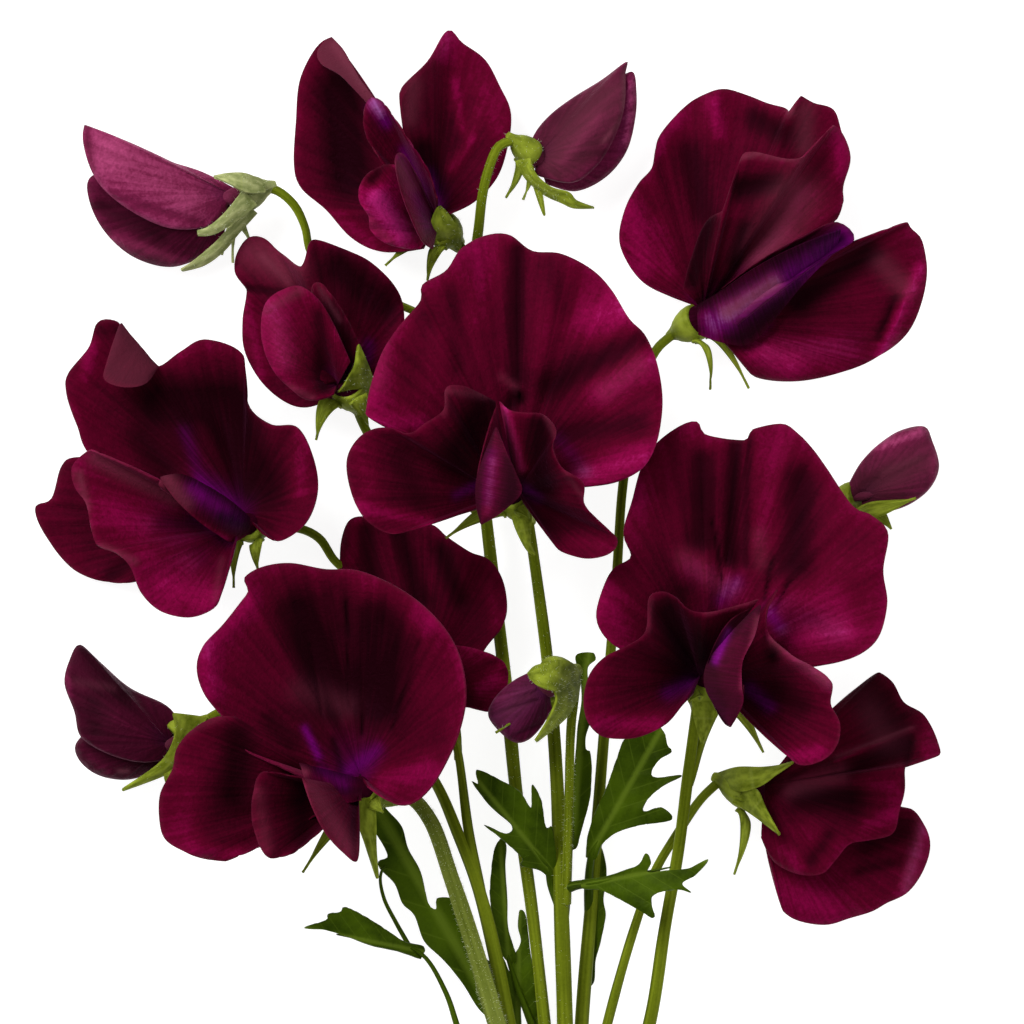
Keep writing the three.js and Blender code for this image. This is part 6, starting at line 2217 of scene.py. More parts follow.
UPPER_RIGHT_STANDARD = Petal(
    kind=Kind.STANDARD, belly=-1, ruffle=Ruffle(0.7, 5, 0.4), crease=Crease(14, 1.5), light=0.42,
    rim=[(676, 297, 9), (645, 282, 9), (625, 256, 9), (620, 234, 8), (627, 204, 7), (639, 182, 5),
         (653, 165, 4), (660, 135, 2), (687, 103, 0), (708, 91, 0), (726, 86, 0), (748, 92, 1), (770, 101, 3),
         (787, 106, 5), (794, 112, 7), (797, 93, 8), (815, 101, 8), (835, 108, 8), (843, 130, 8),
         (851, 158, 8), (844, 182, 8), (840, 212, 8), (790, 245, 8)],
    strokes=Strokes(
        light=[
            (634, 212, 646, 266, 16, 0.26), (690, 150, 706, 212, 15, -0.22), (714, 100, 722, 132, 8, 0.25),
            (758, 116, 785, 132, 13, -0.32), (656, 150, 676, 115, 9, 0.16), (660, 226, 673, 272, 10, 0.14),
            (806, 112, 806, 142, 10, -0.12), (843, 130, 846, 170, 6, 0.2),
        ],
        sheen_and_pale_tone=[(806, 108, 806, 145, 10, 0.4), (793, 98, 793, 112, 3, 0.6)],
    ),
)

UPPER_RIGHT_BLOOM = Bloom(
    name="upper_right_bloom",
    calyx=Calyx(
        base=(676, 332, 5.5), mouth=(701, 319, 9), radius=3, sepals=[(711, 389, 8), (750, 388, 8)],
        breadth=0.34, bare=True,
    ),
    petals={"keel": UPPER_RIGHT_KEEL, "wing_right": UPPER_RIGHT_WING_RIGHT,
            "wing_left": UPPER_RIGHT_WING_LEFT, "standard": UPPER_RIGHT_STANDARD},
)

LOWER_RIGHT_KEEL = Petal(
    kind=Kind.KEEL, swell=1.2, light=0.34,
    rim=[(790, 812, 9), (830, 825, 7.5), (868, 845, 6.5), (880, 862, 6), (862, 876, 6), (820, 870, 7),
         (785, 845, 9)],
)

LOWER_RIGHT_WING_LEFT = Petal(
    kind=Kind.WING, belly=1, ruffle=Ruffle(0.6, 4, 0.6), light=0.46,
    rim=[(835, 803, 12), (880, 804, 12), (902, 806, 12), (919, 816, 12), (931, 843, 12), (925, 870, 11),
         (909, 893, 11), (888, 904, 10), (874, 912, 10), (852, 919, 9), (826, 926, 9), (795, 920, 9),
         (775, 901, 10), (769, 880, 10), (775, 858, 11), (768, 842, 11)],
    strokes=Strokes(
        light=[
            (870, 842, 905, 830, 14, -0.3), (860, 872, 900, 862, 6, -0.2), (780, 890, 830, 912, 16, 0.14),
            (926, 822, 906, 892, 6, 0.25),
        ],
        violet=[(926, 822, 906, 892, 5, 0.25)],
        sheen_and_pale_tone=[(922, 822, 908, 888, 6, 0.4)],
    ),
)

LOWER_RIGHT_WING_RIGHT = Petal(
    kind=Kind.WING, belly=-1, ruffle=Ruffle(0.5, 3, 0), light=0.36,
    rim=[(800, 785, 6), (850, 790, 3), (885, 815, 1), (900, 850, 0), (885, 885, 0), (850, 903, 0),
         (812, 900, 0), (786, 875, 2), (776, 840, 5)],
)

LOWER_RIGHT_STANDARD = Petal(
    kind=Kind.STANDARD, belly=1, ruffle=Ruffle(0.5, 4, 0.8), crease=Crease(8, -1.8), light=0.4,
    rim=[(790, 756, 14), (812, 732, 12), (834, 709, 11), (857, 686, 10), (874, 672, 10), (893, 682, 11),
         (905, 703, 13), (925, 716, 15), (938, 742, 17), (938, 759, 18), (907, 764, 20), (905, 790, 20),
         (899, 812, 20), (893, 833, 20), (870, 840, 19), (850, 844, 18), (836, 860, 17), (822, 874, 16),
         (798, 874, 15), (775, 862, 13), (762, 838, 13)],
    strokes=Strokes(
        light=[
            (800, 830, 850, 850, 12, 0.1), (868, 690, 900, 742, 20, -0.24), (925, 735, 932, 752, 9, 0.1),
            (850, 772, 905, 750, 8, -0.2), (912, 738, 903, 788, 3, -0.2), (921, 745, 927, 757, 6, 0.12),
            (790, 790, 840, 775, 10, 0.1), (836, 762, 914, 729, 1.6, 0.2), (793, 764, 860, 750, 4, 0.1),
            (835, 772, 905, 744, 6, -0.14), (805, 795, 850, 800, 14, -0.32), (845, 770, 890, 790, 10, 0.1),
            (830, 835, 812, 862, 8, -0.22), (868, 825, 890, 815, 9, 0.2), (785, 850, 800, 868, 7, 0.18),
            (775, 800, 785, 830, 9, 0.06),
        ],
        violet=[(765, 790, 792, 788, 18, -0.6)],
        sheen_and_pale_tone=[
            (868, 695, 895, 740, 18, 0.14), (836, 758, 914, 728, 2, 0.45), (870, 715, 880, 735, 14, 0.25),
            (790, 790, 840, 775, 10, 0.4),
        ],
    ),
)

LOWER_RIGHT_BLOOM = Bloom(
    name="lower_right_bloom",
    calyx=Calyx(
        base=(722, 781, 8), mouth=(755, 795, 10.5), radius=3.1, sepals=[(735, 876, 10), (780, 835, 18)],
        breadth=0.5, core=1.15, bare=True,
        hoods=[
            Flap(
                bulge=0.5,
                fold=[(719, 774, 8), (738, 768, 12), (762, 768, 14.5), (780, 766, 15.5), (794, 762, 16)],
                edge=[(724, 788, 9.6), (744, 792, 14.4), (762, 786, 16), (776, 776, 16.5), (793, 764, 16.4)],
            ),
            Flap(
                bulge=0.4,
                fold=[(734, 792, 10), (744, 808, 13), (760, 820, 16), (779, 834, 17.6)],
                edge=[(742, 784, 13), (757, 790, 16), (765, 806, 17.4), (780, 833, 18)],
            ),
        ],
    ),
    petals={"keel": LOWER_RIGHT_KEEL, "wing_left": LOWER_RIGHT_WING_LEFT,
            "wing_right": LOWER_RIGHT_WING_RIGHT, "standard": LOWER_RIGHT_STANDARD},
)

BACK_KEEL = Petal(
    kind=Kind.KEEL, swell=1.1, light=0.3,
    rim=[(420, 664, 18), (405, 668, 20), (396, 690, 21), (398, 712, 20), (412, 714, 17)],
)

BACK_WING_LEFT = Petal(
    kind=Kind.WING, belly=1, ruffle=Ruffle(0.5, 3, 0.5), light=0.36,
    rim=[(412, 640, 15), (385, 632, 16), (358, 645, 17), (345, 675, 17), (356, 708, 17), (384, 726, 16),
         (410, 716, 14)],
)

BACK_WING_RIGHT = Petal(
    kind=Kind.WING, belly=0.8, ruffle=Ruffle(0.5, 3, 1.4), light=0.44,
    rim=[(428, 650, 15), (455, 646, 16), (484, 652, 17), (502, 661, 17), (508, 676, 17), (503, 697, 17),
         (489, 711, 17), (468, 707, 16), (446, 708, 14)],
    strokes=Strokes(light=[(480, 690, 495, 680, 8, 0.2)]),
)

BACK_STANDARD = Petal(
    kind=Kind.STANDARD, belly=-1.5, ruffle=Ruffle(0.6, 5, 0), light=0.34,
    rim=[(382, 700, 9), (352, 668, 7), (343, 625, 6), (339, 575, 6), (342, 536, 7), (355, 517, 8),
         (392, 521, 9), (430, 524, 10), (447, 537, 11), (470, 552, 12), (488, 559, 12), (501, 576, 12),
         (507, 602, 12), (503, 625, 12), (486, 648, 12), (463, 688, 12)],
    strokes=Strokes(
        light=[
            (365, 530, 372, 590, 9, -0.25), (400, 535, 420, 600, 10, -0.3), (440, 550, 460, 600, 9, -0.25),
            (355, 520, 350, 560, 6, 0.12), (490, 590, 497, 625, 8, 0.12),
        ],
    ),
)

BACK_BLOOM = Bloom(
    name="back_bloom",
    calyx=Calyx(base=(443, 702, 6), mouth=(425, 695, 9), radius=2.8, sepals=[(434, 728, 9)]),
    petals={"keel": BACK_KEEL, "wing_left": BACK_WING_LEFT, "wing_right": BACK_WING_RIGHT,
            "standard": BACK_STANDARD},
)

UPPER_LEFT_BUD_FOLDS = [
    Petal(
        kind=Kind.FOLD, swell=2.6, light=0.66,
        rim=[(232, 186, 9), (200, 170, 9), (160, 157, 9.5), (120, 138, 9.5), (96, 123, 9), (85, 119, 8.5),
             (81, 138, 9), (90, 170, 10), (108, 194, 11), (140, 216, 11.5), (172, 228, 11.5), (205, 226, 11),
             (224, 212, 10)],
        strokes=Strokes(
            light=[
                (110, 148, 185, 192, 26, 0.14), (84, 124, 90, 168, 4, -0.3), (110, 195, 200, 224, 5, -0.15),
            ],
            sheen_and_pale_tone=[(110, 150, 190, 195, 30, 0.18)],
        ),
    ),
    Petal(
        kind=Kind.FOLD, swell=2.4, light=0.34,
        rim=[(222, 238, 8), (200, 256, 7), (168, 266, 6.5), (132, 256, 6.5), (104, 232, 6.5), (88, 202, 6.5),
             (88, 176, 7), (120, 165, 8)],
        strokes=Strokes(
            light=[(100, 205, 160, 236, 9, -0.22), (112, 238, 180, 262, 6, 0.2)],
            sheen_and_pale_tone=[(112, 238, 180, 262, 5, 0.2)],
        ),
    ),
]

UPPER_LEFT_BUD = Bloom(
    name="upper_left_bud", folds=UPPER_LEFT_BUD_FOLDS,
    calyx=Calyx(
        base=(266, 186, 8), mouth=(236, 194, 9), radius=3, lean=1, breadth=0.3, hairs=420, core=0.45,
        bare=True, downy=True,
        sepals=[(232, 262, 11), (221, 254, 11), (254, 247, 9)],
        hoods=[
            Flap(
                bulge=0.2,
                fold=[(264, 181, 11), (245, 173, 13), (228, 173, 14), (213, 176, 14)],
                edge=[(264, 192, 12), (246, 192, 14.5), (230, 184, 15.5), (214, 177, 14.6)],
            ),
            Flap(
                bulge=0.3,
                fold=[(242, 190, 13.5), (228, 208, 15.5), (216, 220, 16.5), (206, 227, 16.5), (197, 230, 16)],
                edge=[(256, 204, 12), (238, 218, 14), (224, 228, 15.5), (211, 234, 15.8), (198, 235, 15.5)],
            ),
            Flap(
                bulge=0.3,
                fold=[(248, 206, 12), (226, 230, 14), (211, 245, 14.2), (193, 260, 13.8), (180, 269, 12.8)],
                edge=[(256, 212, 10.5), (238, 232, 12), (223, 250, 12.8), (204, 264, 12.8), (182, 270, 12.2)],
            ),
        ],
    ),
)

TOP_RIGHT_BUD_FOLDS = [
    Petal(
        kind=Kind.FOLD, swell=2.4, light=0.4,
        rim=[(534, 174, 12), (572, 182, 12.5), (598, 164, 12.5), (616, 134, 12), (625, 104, 11.5),
             (626, 72, 10.5), (627, 60, 10), (602, 78, 9.5), (576, 94, 9.5), (554, 110, 10), (538, 127, 10),
             (530, 144, 10.5), (530, 160, 11.5)],
        strokes=Strokes(
            light=[
                (600, 118, 562, 164, 7, 0.2), (560, 170, 600, 150, 9, -0.15), (560, 120, 600, 90, 8, -0.1),
            ],
            sheen_and_pale_tone=[(556, 158, 612, 92, 26, 0.45), (625, 70, 624, 108, 3, 0.5), (622, 118, 604, 140, 3, 0.5)],
        ),
    ),
    Petal(
        kind=Kind.FOLD, swell=2.2, light=0.5,
        rim=[(546, 183, 9), (576, 190, 8.5), (606, 176, 8), (627, 150, 8), (636, 116, 8), (637, 88, 8.5),
             (633, 70, 9), (616, 78, 9)],
        strokes=Strokes(
            light=[(632, 78, 628, 140, 5, 0.2), (575, 188, 608, 176, 5, -0.1)],
            violet=[(632, 78, 622, 150, 6, 0.25)],
        ),
    ),
]

TOP_RIGHT_BUD = Bloom(
    name="top_right_bud", folds=TOP_RIGHT_BUD_FOLDS,
    calyx=Calyx(
        base=(514, 139, 14), mouth=(533, 154, 11), radius=2.3, sepals=[(506, 197, 12), (523, 199, 12)],
        lean=1, breadth=0.5, hairs=260, core=0.75, bare=True,
        hoods=[
            Flap(
                bulge=0.2,
                fold=[(531, 158, 15), (536, 174, 16), (551, 187, 16), (569, 192, 15.5), (577, 200, 15),
                      (594, 206, 13)],
                edge=[(515, 160, 14), (527, 179, 14), (545, 194, 14), (562, 202, 14), (574, 207, 14),
                      (594, 207, 12.8)],
            ),
            Flap(
                bulge=0.1,
                fold=[(542, 190, 14.2), (544, 201, 13.6), (545, 214, 13)],
                edge=[(533, 184, 14), (539, 202, 13.4), (544, 215, 13)],
            ),
        ],
    ),
)

RIGHT_BUD_FOLDS = [Petal(
    kind=Kind.FOLD, swell=2.6, light=0.44,
    rim=[(864, 513, 7.5), (888, 512, 7.5), (912, 504, 7.5), (932, 488, 7.5), (941, 466, 7.5), (934, 440, 7.5),
         (926, 426, 7.5), (902, 430, 7.5), (880, 444, 7.5), (864, 460, 7.5), (855, 474, 7.5), (849, 487, 7.5),
         (847, 500, 7.5)],
    strokes=Strokes(
        light=[
            (880, 447, 922, 432, 6, 0.28), (870, 486, 924, 462, 7, -0.14), (938, 448, 936, 482, 4, 0.14),
            (866, 500, 905, 500, 7, -0.1),
        ],
        sheen_and_pale_tone=[(868, 490, 925, 460, 24, 0.32), (884, 472, 920, 458, 3, 0.2)],
    ),
)]

RIGHT_BUD = Bloom(
    name="right_bud", folds=RIGHT_BUD_FOLDS,
    calyx=Calyx(
        base=(836, 500, 5), mouth=(858, 497, 7), radius=2.6, sepals=[(917, 498, 12), (893, 529, 7)],
        breadth=1.1, core=0.3, bare=True,
    ),
)

LOWER_LEFT_BUD_FOLDS = [
    Petal(
        kind=Kind.FOLD, swell=2.2, light=0.24,
        rim=[(168, 760, 12), (140, 763, 13), (108, 755, 13), (80, 738, 12.5), (73, 712, 12), (63, 684, 11),
             (68, 660, 9.5), (78, 645, 8.5), (98, 662, 9), (128, 688, 9.5), (162, 704, 10), (174, 716, 10.5),
             (175, 732, 11)],
        strokes=Strokes(
            light=[
                (82, 652, 125, 692, 12, -0.16), (118, 716, 150, 738, 15, 0.14), (64, 668, 68, 694, 4, 0.2),
                (90, 700, 95, 730, 10, -0.1),
            ],
            sheen_and_pale_tone=[(72, 682, 112, 688, 4, 0.2)],
        ),
    ),
    Petal(
        kind=Kind.FOLD, swell=2, light=0.2,
        rim=[(166, 766, 10), (146, 776, 9), (122, 781, 8.5), (96, 776, 8.5), (78, 762, 8.5), (74, 745, 9),
             (92, 728, 9), (124, 716, 9.5)],
        strokes=Strokes(light=[(80, 750, 110, 776, 5, 0.12)], sheen_and_pale_tone=[(118, 772, 126, 772, 2.5, 0.7)]),
    ),
]

LOWER_LEFT_BUD = Bloom(
    name="lower_left_bud", folds=LOWER_LEFT_BUD_FOLDS,
    calyx=Calyx(
        base=(200, 724, 10), mouth=(174, 742, 11), radius=3.1, sepals=[(122, 790, 13), (166, 784, 12)],
        lean=1, breadth=0.6, hairs=140, core=0.3, bare=True,
        hoods=[
            Flap(
                bulge=0.5,
                fold=[(172, 714, 12.5), (175, 730, 15), (171, 745, 15), (163, 758, 14.6), (150, 770, 14),
                      (121, 790, 12.8)],
                edge=[(206, 718, 11), (197, 736, 12), (186, 753, 12.6), (175, 768, 13), (160, 777, 13),
                      (122, 791, 12.6)],
            ),
            Flap(
                bulge=0.2,
                fold=[(166, 764, 13.4), (163, 775, 13.4), (166, 786, 12.6)],
                edge=[(178, 764, 13), (174, 776, 13), (167, 786, 12.4)],
            ),
        ],
    ),
)

CENTRE_BUD_FOLDS = [Petal(
    kind=Kind.FOLD, swell=2.5, light=0.42,
    rim=[(552, 708, 23), (542, 726, 23), (528, 740, 23), (514, 742, 23), (498, 730, 23), (488, 714, 23),
         (496, 696, 23), (514, 680, 23), (534, 670, 23)],
    strokes=Strokes(
        light=[
            (496, 700, 536, 688, 2.5, 0.1), (492, 714, 538, 700, 2, -0.14), (510, 737, 540, 724, 2, -0.12),
            (520, 740, 545, 715, 8, -0.12),
        ],
        violet=[(500, 720, 535, 690, 26, 0.55)],
        sheen_and_pale_tone=[(500, 718, 530, 692, 16, 0.3)],
    ),
)]

CENTRE_BUD = Bloom(
    name="centre_bud", folds=CENTRE_BUD_FOLDS,
    calyx=Calyx(
        base=(572, 672, 20), mouth=(552, 680, 22.5), radius=3.7, sepals=[(496, 732, 26)], lean=1, breadth=0.7,
        hairs=600, core=0.7, bare=True,
        hoods=[
            Flap(
                bulge=0.4,
                fold=[(528, 673, 30), (535, 666, 31), (546, 663, 31), (558, 660, 30), (570, 662, 28),
                      (580, 674, 25)],
                edge=[(529, 677, 32), (536, 684, 34), (546, 688, 35), (554, 690, 34), (563, 694, 31),
                      (576, 698, 26)],
            ),
            Flap(
                bulge=0.4,
                fold=[(579, 676, 25), (577, 696, 26), (568, 714, 27), (553, 728, 27.5), (536, 741, 28)],
                edge=[(552, 686, 34), (556, 697, 33.5), (553, 708, 33), (546, 722, 31), (535, 740, 29)],
            ),
        ],
    ),
)

BLOOMS = [CENTRE_BLOOM, RIGHT_BLOOM, LOWER_LEFT_BLOOM, LEFT_BLOOM, MIDDLE_LEFT_BLOOM, TOP_BLOOM,
          UPPER_RIGHT_BLOOM, LOWER_RIGHT_BLOOM, BACK_BLOOM, UPPER_LEFT_BUD, TOP_RIGHT_BUD, RIGHT_BUD,
          LOWER_LEFT_BUD, CENTRE_BUD]

BRANCHES = [
    Branch(
        to="lower_left_bloom", hairs=2600, radii=[1.9, 1.7, 1.45, 1.1],
        route=[(566, 1335, 3.2), (550, 1210, 8), (524, 1100, 13), (497, 1024, 16), (475, 950, 16),
               (452, 880, 16), (430, 820, 15.6), (410, 798, 15), (391, 800, 15)],
    ),
    Branch(
        to="lower_left_bud", radii=[1.7, 1.4, 1.05, 0.8, 0.8],
        route=[(565, 1290, 4), (545, 1180, 8), (515, 1060, 11), (496, 960, 12), (478, 888, 13),
               (458, 835, 12), (436, 785, 9.5), (402, 738, 6.5), (345, 706, 5), (278, 702, 6), (222, 712, 8)],
    ),
    Branch(
        to="left_bloom", radii=[1, 0.65, 0.65, 0.75],
        route=[(481, 900, 12.8), (468, 830, 12), (457, 750, 10), (446, 716, 7.5), (438, 660, 4),
               (400, 612, 3.2), (360, 582, 4), (334, 561, 6), (318, 538, 7.5), (296, 528, 8.8)],
    ),
    Branch(to="back_bloom", radii=[0.7, 0.7], route=[(458, 760, 10), (456, 730, 8), (451, 712, 6.6)]),
    Branch(
        to="top_right_bud", hairs=900, radii=[1.3, 1, 1.1, 0.95, 0.75],
        route=[(566, 1250, 4.8), (558, 1160, 6.5), (546, 1040, 8), (533, 920, 8.5), (517, 800, 7),
               (505, 680, 5), (492, 570, 4.5), (482, 480, 5), (474, 390, 6), (472, 300, 7), (475, 258, 9.5),
               (479, 225, 13.5), (483, 192, 15.8), (490, 165, 15.6), (499, 146, 15)],
    ),
    Branch(
        to="middle_left_bloom", radii=[0.75, 0.75],
        route=[(486, 520, 4.8), (450, 490, 6.5), (400, 466, 8.5), (372, 440, 10.5), (362, 422, 12)],
    ),
    Branch(
        to="top_bloom", radii=[0.75, 0.75],
        route=[(472, 320, 6.8), (471, 285, 7), (467, 262, 7.8), (462, 248, 8.5)],
    ),
    Branch(
        to="upper_left_bud", radii=[0.75, 0.6, 0.75],
        route=[(473, 345, 6.4), (430, 318, 5.5), (370, 292, 5.5), (330, 272, 6), (310, 252, 7), (304, 226, 8),
               (294, 205, 8), (279, 191, 8)],
    ),
    Branch(
        to="centre_bloom", hairs=600, radii=[1.6, 1.4, 1.25, 1.05, 0.85],
        route=[(566, 1310, 3.8), (567, 1170, 7), (565, 1024, 10), (561, 900, 12), (558, 800, 12),
               (553, 720, 12.5), (547, 655, 13.5), (540, 600, 14.5), (533, 550, 15.8)],
    ),
    Branch(
        to="centre_bud", hairs=500, radii=[0.85, 0.75, 0.75, 0.85],
        route=[(566, 905, 12.5), (569, 800, 15), (571, 730, 17), (575, 690, 18.2), (576, 680, 19)],
    ),
    Branch(
        to="upper_right_bloom", radii=[1.4, 1.2, 0.95, 0.8, 0.75],
        route=[(567, 1275, 4.2), (575, 1180, 5), (582, 1024, 6), (592, 900, 6), (601, 780, 6), (609, 680, 6),
               (617, 580, 5.5), (623, 490, 5.5), (632, 430, 6), (645, 375, 6.5), (658, 348, 6.7)],
    ),
    Branch(
        to="lower_right_bloom", radii=[1.1, 0.85, 0.75, 0.75],
        route=[(574, 1200, 4.8), (586, 1120, 6.8), (608, 1024, 9), (634, 932, 9.5), (656, 872, 9),
               (680, 832, 8.5), (702, 800, 8.5)],
    ),
    Branch(
        to="right_bloom", radii=[1.4, 1.15, 1, 0.9],
        route=[(566, 1320, 3.4), (608, 1170, 8), (650, 1024, 12), (665, 930, 14), (679, 850, 14),
               (688, 780, 14.5), (694, 735, 15.4)],
    ),
    Branch(
        to="right_bud", radii=[0.9, 0.7, 0.7],
        route=[(688, 785, 14.3), (706, 730, 13), (740, 670, 9.5), (778, 605, 7), (808, 545, 5.5),
               (824, 512, 5)],
    ),
]

MAIN_STEM = Branch(
    to="", radii=[2.65, 2.65, 2.65, 2.4],
    route=[(566, 1500, 2.448), (566, 1450, 2.448), (566, 1400, 2.448), (566, 1350, 2.8), (566, 1300, 3.8)],
)

LEAVES = [
    Leaf(
        name="leaf_right_front", base=(584, 885, 18), tip=(708, 859, 24), arch=1.5, fold=0.15,
        stalk=[(566, 890, 12), (576, 886, 14.5), (588, 884, 17.6)],
        outline=[(582, 880), (604, 877), (625, 870), (639, 864), (646, 853), (651, 862), (648, 872),
                 (668, 870), (688, 868), (708, 859), (696, 874), (682, 883), (691, 892), (676, 889),
                 (652, 896), (654, 917), (640, 910), (618, 898), (600, 890), (583, 889)],
    ),
    Leaf(
        name="leaf_left_front", base=(552, 872, 12.5), tip=(474, 776, 18), arch=1.5, fold=0.12,
        stalk=[(560, 908, 12), (552, 886, 11.5), (548, 866, 12.5)],
        outline=[(553, 884), (541, 872), (521, 866), (522, 858), (500, 838), (484, 825), (506, 834),
                 (512, 826), (490, 806), (472, 782), (478, 784), (477, 770), (500, 780), (520, 792),
                 (531, 808), (532, 785), (541, 800), (546, 828), (552, 828), (556, 858)],
    ),
    Leaf(
        name="leaf_right_back", base=(590, 856, 10), tip=(662, 728, 13), arch=2, fold=0.1,
        stalk=[(590, 925, 5.4), (589, 885, 7.6), (592, 856, 9.8)],
        outline=[(586, 858), (588, 836), (596, 812), (606, 790), (616, 762), (626, 738), (650, 722),
                 (664, 732), (668, 746), (672, 752), (660, 760), (652, 772), (656, 778), (682, 776),
                 (664, 786), (648, 800), (644, 812), (662, 808), (672, 820), (640, 826), (616, 834),
                 (602, 846), (596, 860)],
    ),
    Leaf(
        name="leaf_left_long", base=(500, 1024, 9.5), tip=(372, 800, 12), arch=2, fold=0.12, ribbed=0.3,
        stalk=[(528, 1130, 10), (512, 1070, 11), (494, 1010, 9)],
        outline=[(506, 1032), (480, 1012), (462, 984), (444, 962), (424, 942), (414, 916), (402, 904),
                 (394, 884), (380, 870), (378, 862), (387, 858), (384, 848), (374, 830), (372, 806),
                 (378, 802), (390, 814), (402, 828), (408, 850), (420, 872), (428, 904), (436, 910),
                 (437, 899), (456, 902), (468, 930), (484, 958), (502, 972), (512, 1010)],
    ),
    Leaf(
        name="leaf_left_low", base=(412, 950, 15), tip=(304, 928, 19), arch=1.5, fold=0.15,
        stalk=[(541, 1180, 10.3), (500, 1110, 12.5), (462, 1040, 15), (446, 994, 15), (424, 957, 15),
               (404, 946, 15)],
        tendril=[(408, 945, 14.6), (395, 922, 14), (384, 900, 13.5), (380, 880, 13.4), (382, 871, 13.6),
                 (386, 868, 14)],
        outline=[(420, 960), (398, 952), (372, 946), (350, 938), (326, 930), (304, 928), (326, 920),
                 (328, 914), (340, 912), (345, 907), (364, 916), (386, 930), (404, 942), (424, 948)],
    ),
    Leaf(
        name="leaf_narrow", base=(509, 964, 7.5), tip=(500, 842, 7), arch=2, fold=0.2,
        stalk=[(552, 1110, 7.1), (536, 1040, 7.6), (516, 985, 7.6), (508, 958, 7.5)],
        outline=[(514, 970), (502, 956), (495, 930), (490, 900), (491, 874), (494, 852), (500, 841),
                 (506, 846), (505, 868), (507, 900), (508, 930), (516, 958)],
    ),
    Leaf(
        name="leaf_tall_back", base=(572, 842, 9.5), tip=(588, 654, 11), arch=1, fold=0.12,
        stalk=[(562, 942, 11), (567, 890, 10), (571, 832, 9.5)],
        outline=[(566, 848), (568, 800), (575, 764), (578, 728), (582, 700), (580, 676), (576, 656),
                 (592, 653), (596, 660), (588, 668), (589, 690), (592, 716), (586, 736), (586, 750),
                 (590, 752), (592, 768), (590, 800), (582, 830), (576, 850)],
    ),
    Leaf(
        name="leaflet_low", node="leaf_narrow", stalk=[], base=(518, 1030, 6.4), tip=(519, 906, 7), arch=0.8,
        fold=0.1, veins=5,
        outline=[(506, 1040), (499, 1010), (494, 984), (496, 955), (504, 961), (510, 974), (514, 958),
                 (521, 944), (518, 928), (520, 912), (526, 918), (530, 950), (536, 990), (541, 1036),
                 (529, 1036), (526, 1004), (521, 1008), (520, 1036)],
    ),
    Leaf(
        name="leaflet_right", node="leaf_right_back", stalk=[], base=(589, 985, 4.4), tip=(601, 850, 6),
        arch=0.6, fold=0.1, veins=5,
        outline=[(585, 992), (588, 950), (590, 900), (594, 868), (600, 846), (607, 872), (604, 900),
                 (606, 918), (601, 944), (596, 962), (594, 985)],
    ),
]


@dataclass
class Stem:
    """Every branch, grown together with the main stem."""

    branches: list[Branch]
    main: Branch

    def build(self, blooms: dict[str, Bloom], finishes: Finishes) -> Piece:
        """Models the branches and the main stem.

        Args:
            blooms: The blooms and buds by name.
            finishes: The finishes.

        Returns:
            The finished stem.
        """
        limbs = [self.main.build("main_stem", None, finishes)]
        for branch in self.branches:
            limbs.append(branch.build(f"branch_to_{branch.to}", blooms[branch.to].calyx.base, finishes))
        return finished(joined(limbs, "branching_stem"), "stem", "flower_stem")


@dataclass(frozen=True)
class TableFinish:
    """A pale table that glows like a light box, so that shadows on it stay faint."""

    name: str = "pale_table"
    dark: Colour = (0.34, 0.34, 0.34)
    light: Colour = (0.38, 0.38, 0.38)
    glow: Colour = (1.0, 1.0, 1.0)
    glow_strength: float = 0.88
    roughness: float = 0.9

    def build(self) -> Material:
        """Makes the material.

        Returns:
            The material, with a faint grain.
        """
        material, nodes, skin = new_material(self.name)
        grain = nodes.add("ShaderNodeTexNoise", Scale=40.0, Detail=2.0).outputs[0]
        tone = nodes.mix(grain, rgba(self.dark), rgba(self.light))
        nodes.feed(skin, Base_Color=tone, Roughness=self.roughness, Specular_IOR_Level=0.0)
        nodes.feed(skin, Emission_Color=rgba(self.glow), Emission_Strength=self.glow_strength)
        return material


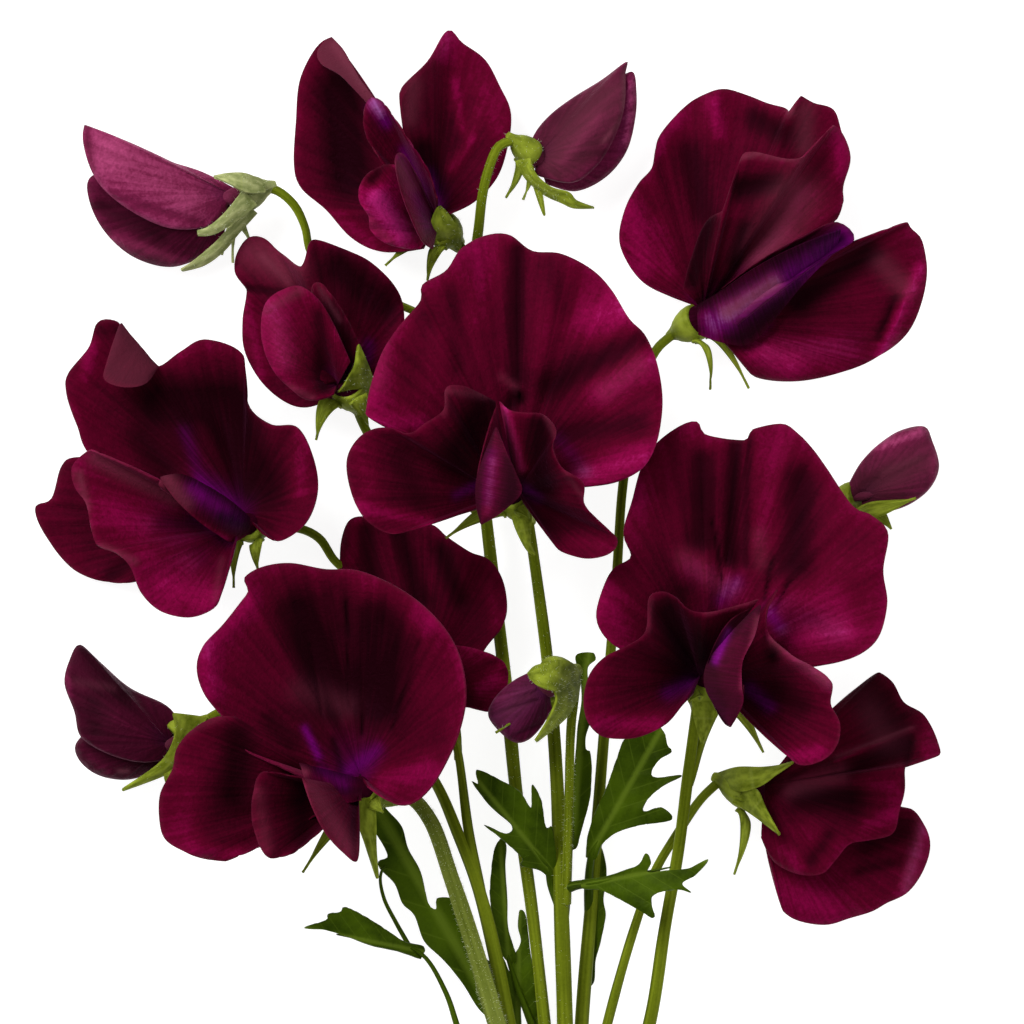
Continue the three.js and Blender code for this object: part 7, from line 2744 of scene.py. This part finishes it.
@dataclass
class Studio:
    """The pale table, the soft lights and the camera that looks straight down, in metres."""

    distance: float = 3.0
    table: float = 12.0
    frame_pixels: int = 1024
    middle_height: float = 0.02
    middle: tuple[float, float, float] = (0, 0.03, 0)
    surroundings: float = 0.42

    SENSOR = 36
    FARTHEST = 30

    def build(self) -> None:
        """Makes the table, the lights and the camera."""
        self.floor()
        self.light("key_light", (-0.45, 0.5, 0.75), 0.5, 11.0)
        self.light("fill_light", (0.6, -0.2, 0.8), 0.9, 3.0)
        self.world()
        self.camera()

    def floor(self) -> None:
        """Lays a wide table under the object."""
        deselect()
        bpy.ops.mesh.primitive_plane_add(size=self.table)
        floor = bpy.context.object
        floor.name = "table"
        dressed(floor, [TableFinish().build()])

    def light(self, name: str, place: tuple[float, float, float], size: float, power: float) -> None:
        """Hangs a square soft light that faces the middle of the object.

        Args:
            name: Its name.
            place: Where it stands.
            size: The length of its sides.
            power: Its power in watts.
        """
        bpy.ops.object.light_add(type="AREA", location=place)
        lamp = bpy.context.object
        lamp.name = name
        lamp.data.size = size
        lamp.data.energy = power
        aim = Vector(self.middle) - Vector(place)
        lamp.rotation_euler = aim.to_track_quat("-Z", "Y").to_euler()

    def world(self) -> None:
        """Lights the scene evenly from all around."""
        world = bpy.data.worlds.new("soft_white")
        world.use_nodes = True
        background = world.node_tree.nodes["Background"]
        Nodes(world.node_tree).feed(background, Color=(1, 1, 1, 1), Strength=self.surroundings)
        bpy.context.scene.world = world

    def camera(self) -> None:
        """Sets the camera over the middle of the photograph's frame."""
        middle = at((self.frame_pixels / 2, self.frame_pixels / 2))
        bpy.ops.object.camera_add(location=(middle[0], middle[1], self.distance))
        camera = bpy.context.object
        camera.data.sensor_width = self.SENSOR
        width = self.frame_pixels * MM_PER_PIXEL * MM
        camera.data.lens = self.SENSOR * (self.distance - self.middle_height) / width
        camera.data.clip_end = self.FARTHEST
        camera.data.dof.use_dof = False
        bpy.context.scene.camera = camera
        bpy.context.scene.view_settings.view_transform = "Standard"


def main() -> None:
    """Builds the flower stem on its frame, then the studio."""
    logging.basicConfig(level=logging.INFO, format="%(name)s: %(message)s")
    finishes = Finishes()
    blooms = {bloom.name: bloom for bloom in BLOOMS}
    Stem(BRANCHES, MAIN_STEM).build(blooms, finishes)
    for bloom in blooms.values():
        bloom.build(finishes)
    for leaf in LEAVES:
        leaf.build(finishes)
    Studio().build()
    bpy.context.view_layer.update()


if __name__ == "__main__":
    main()
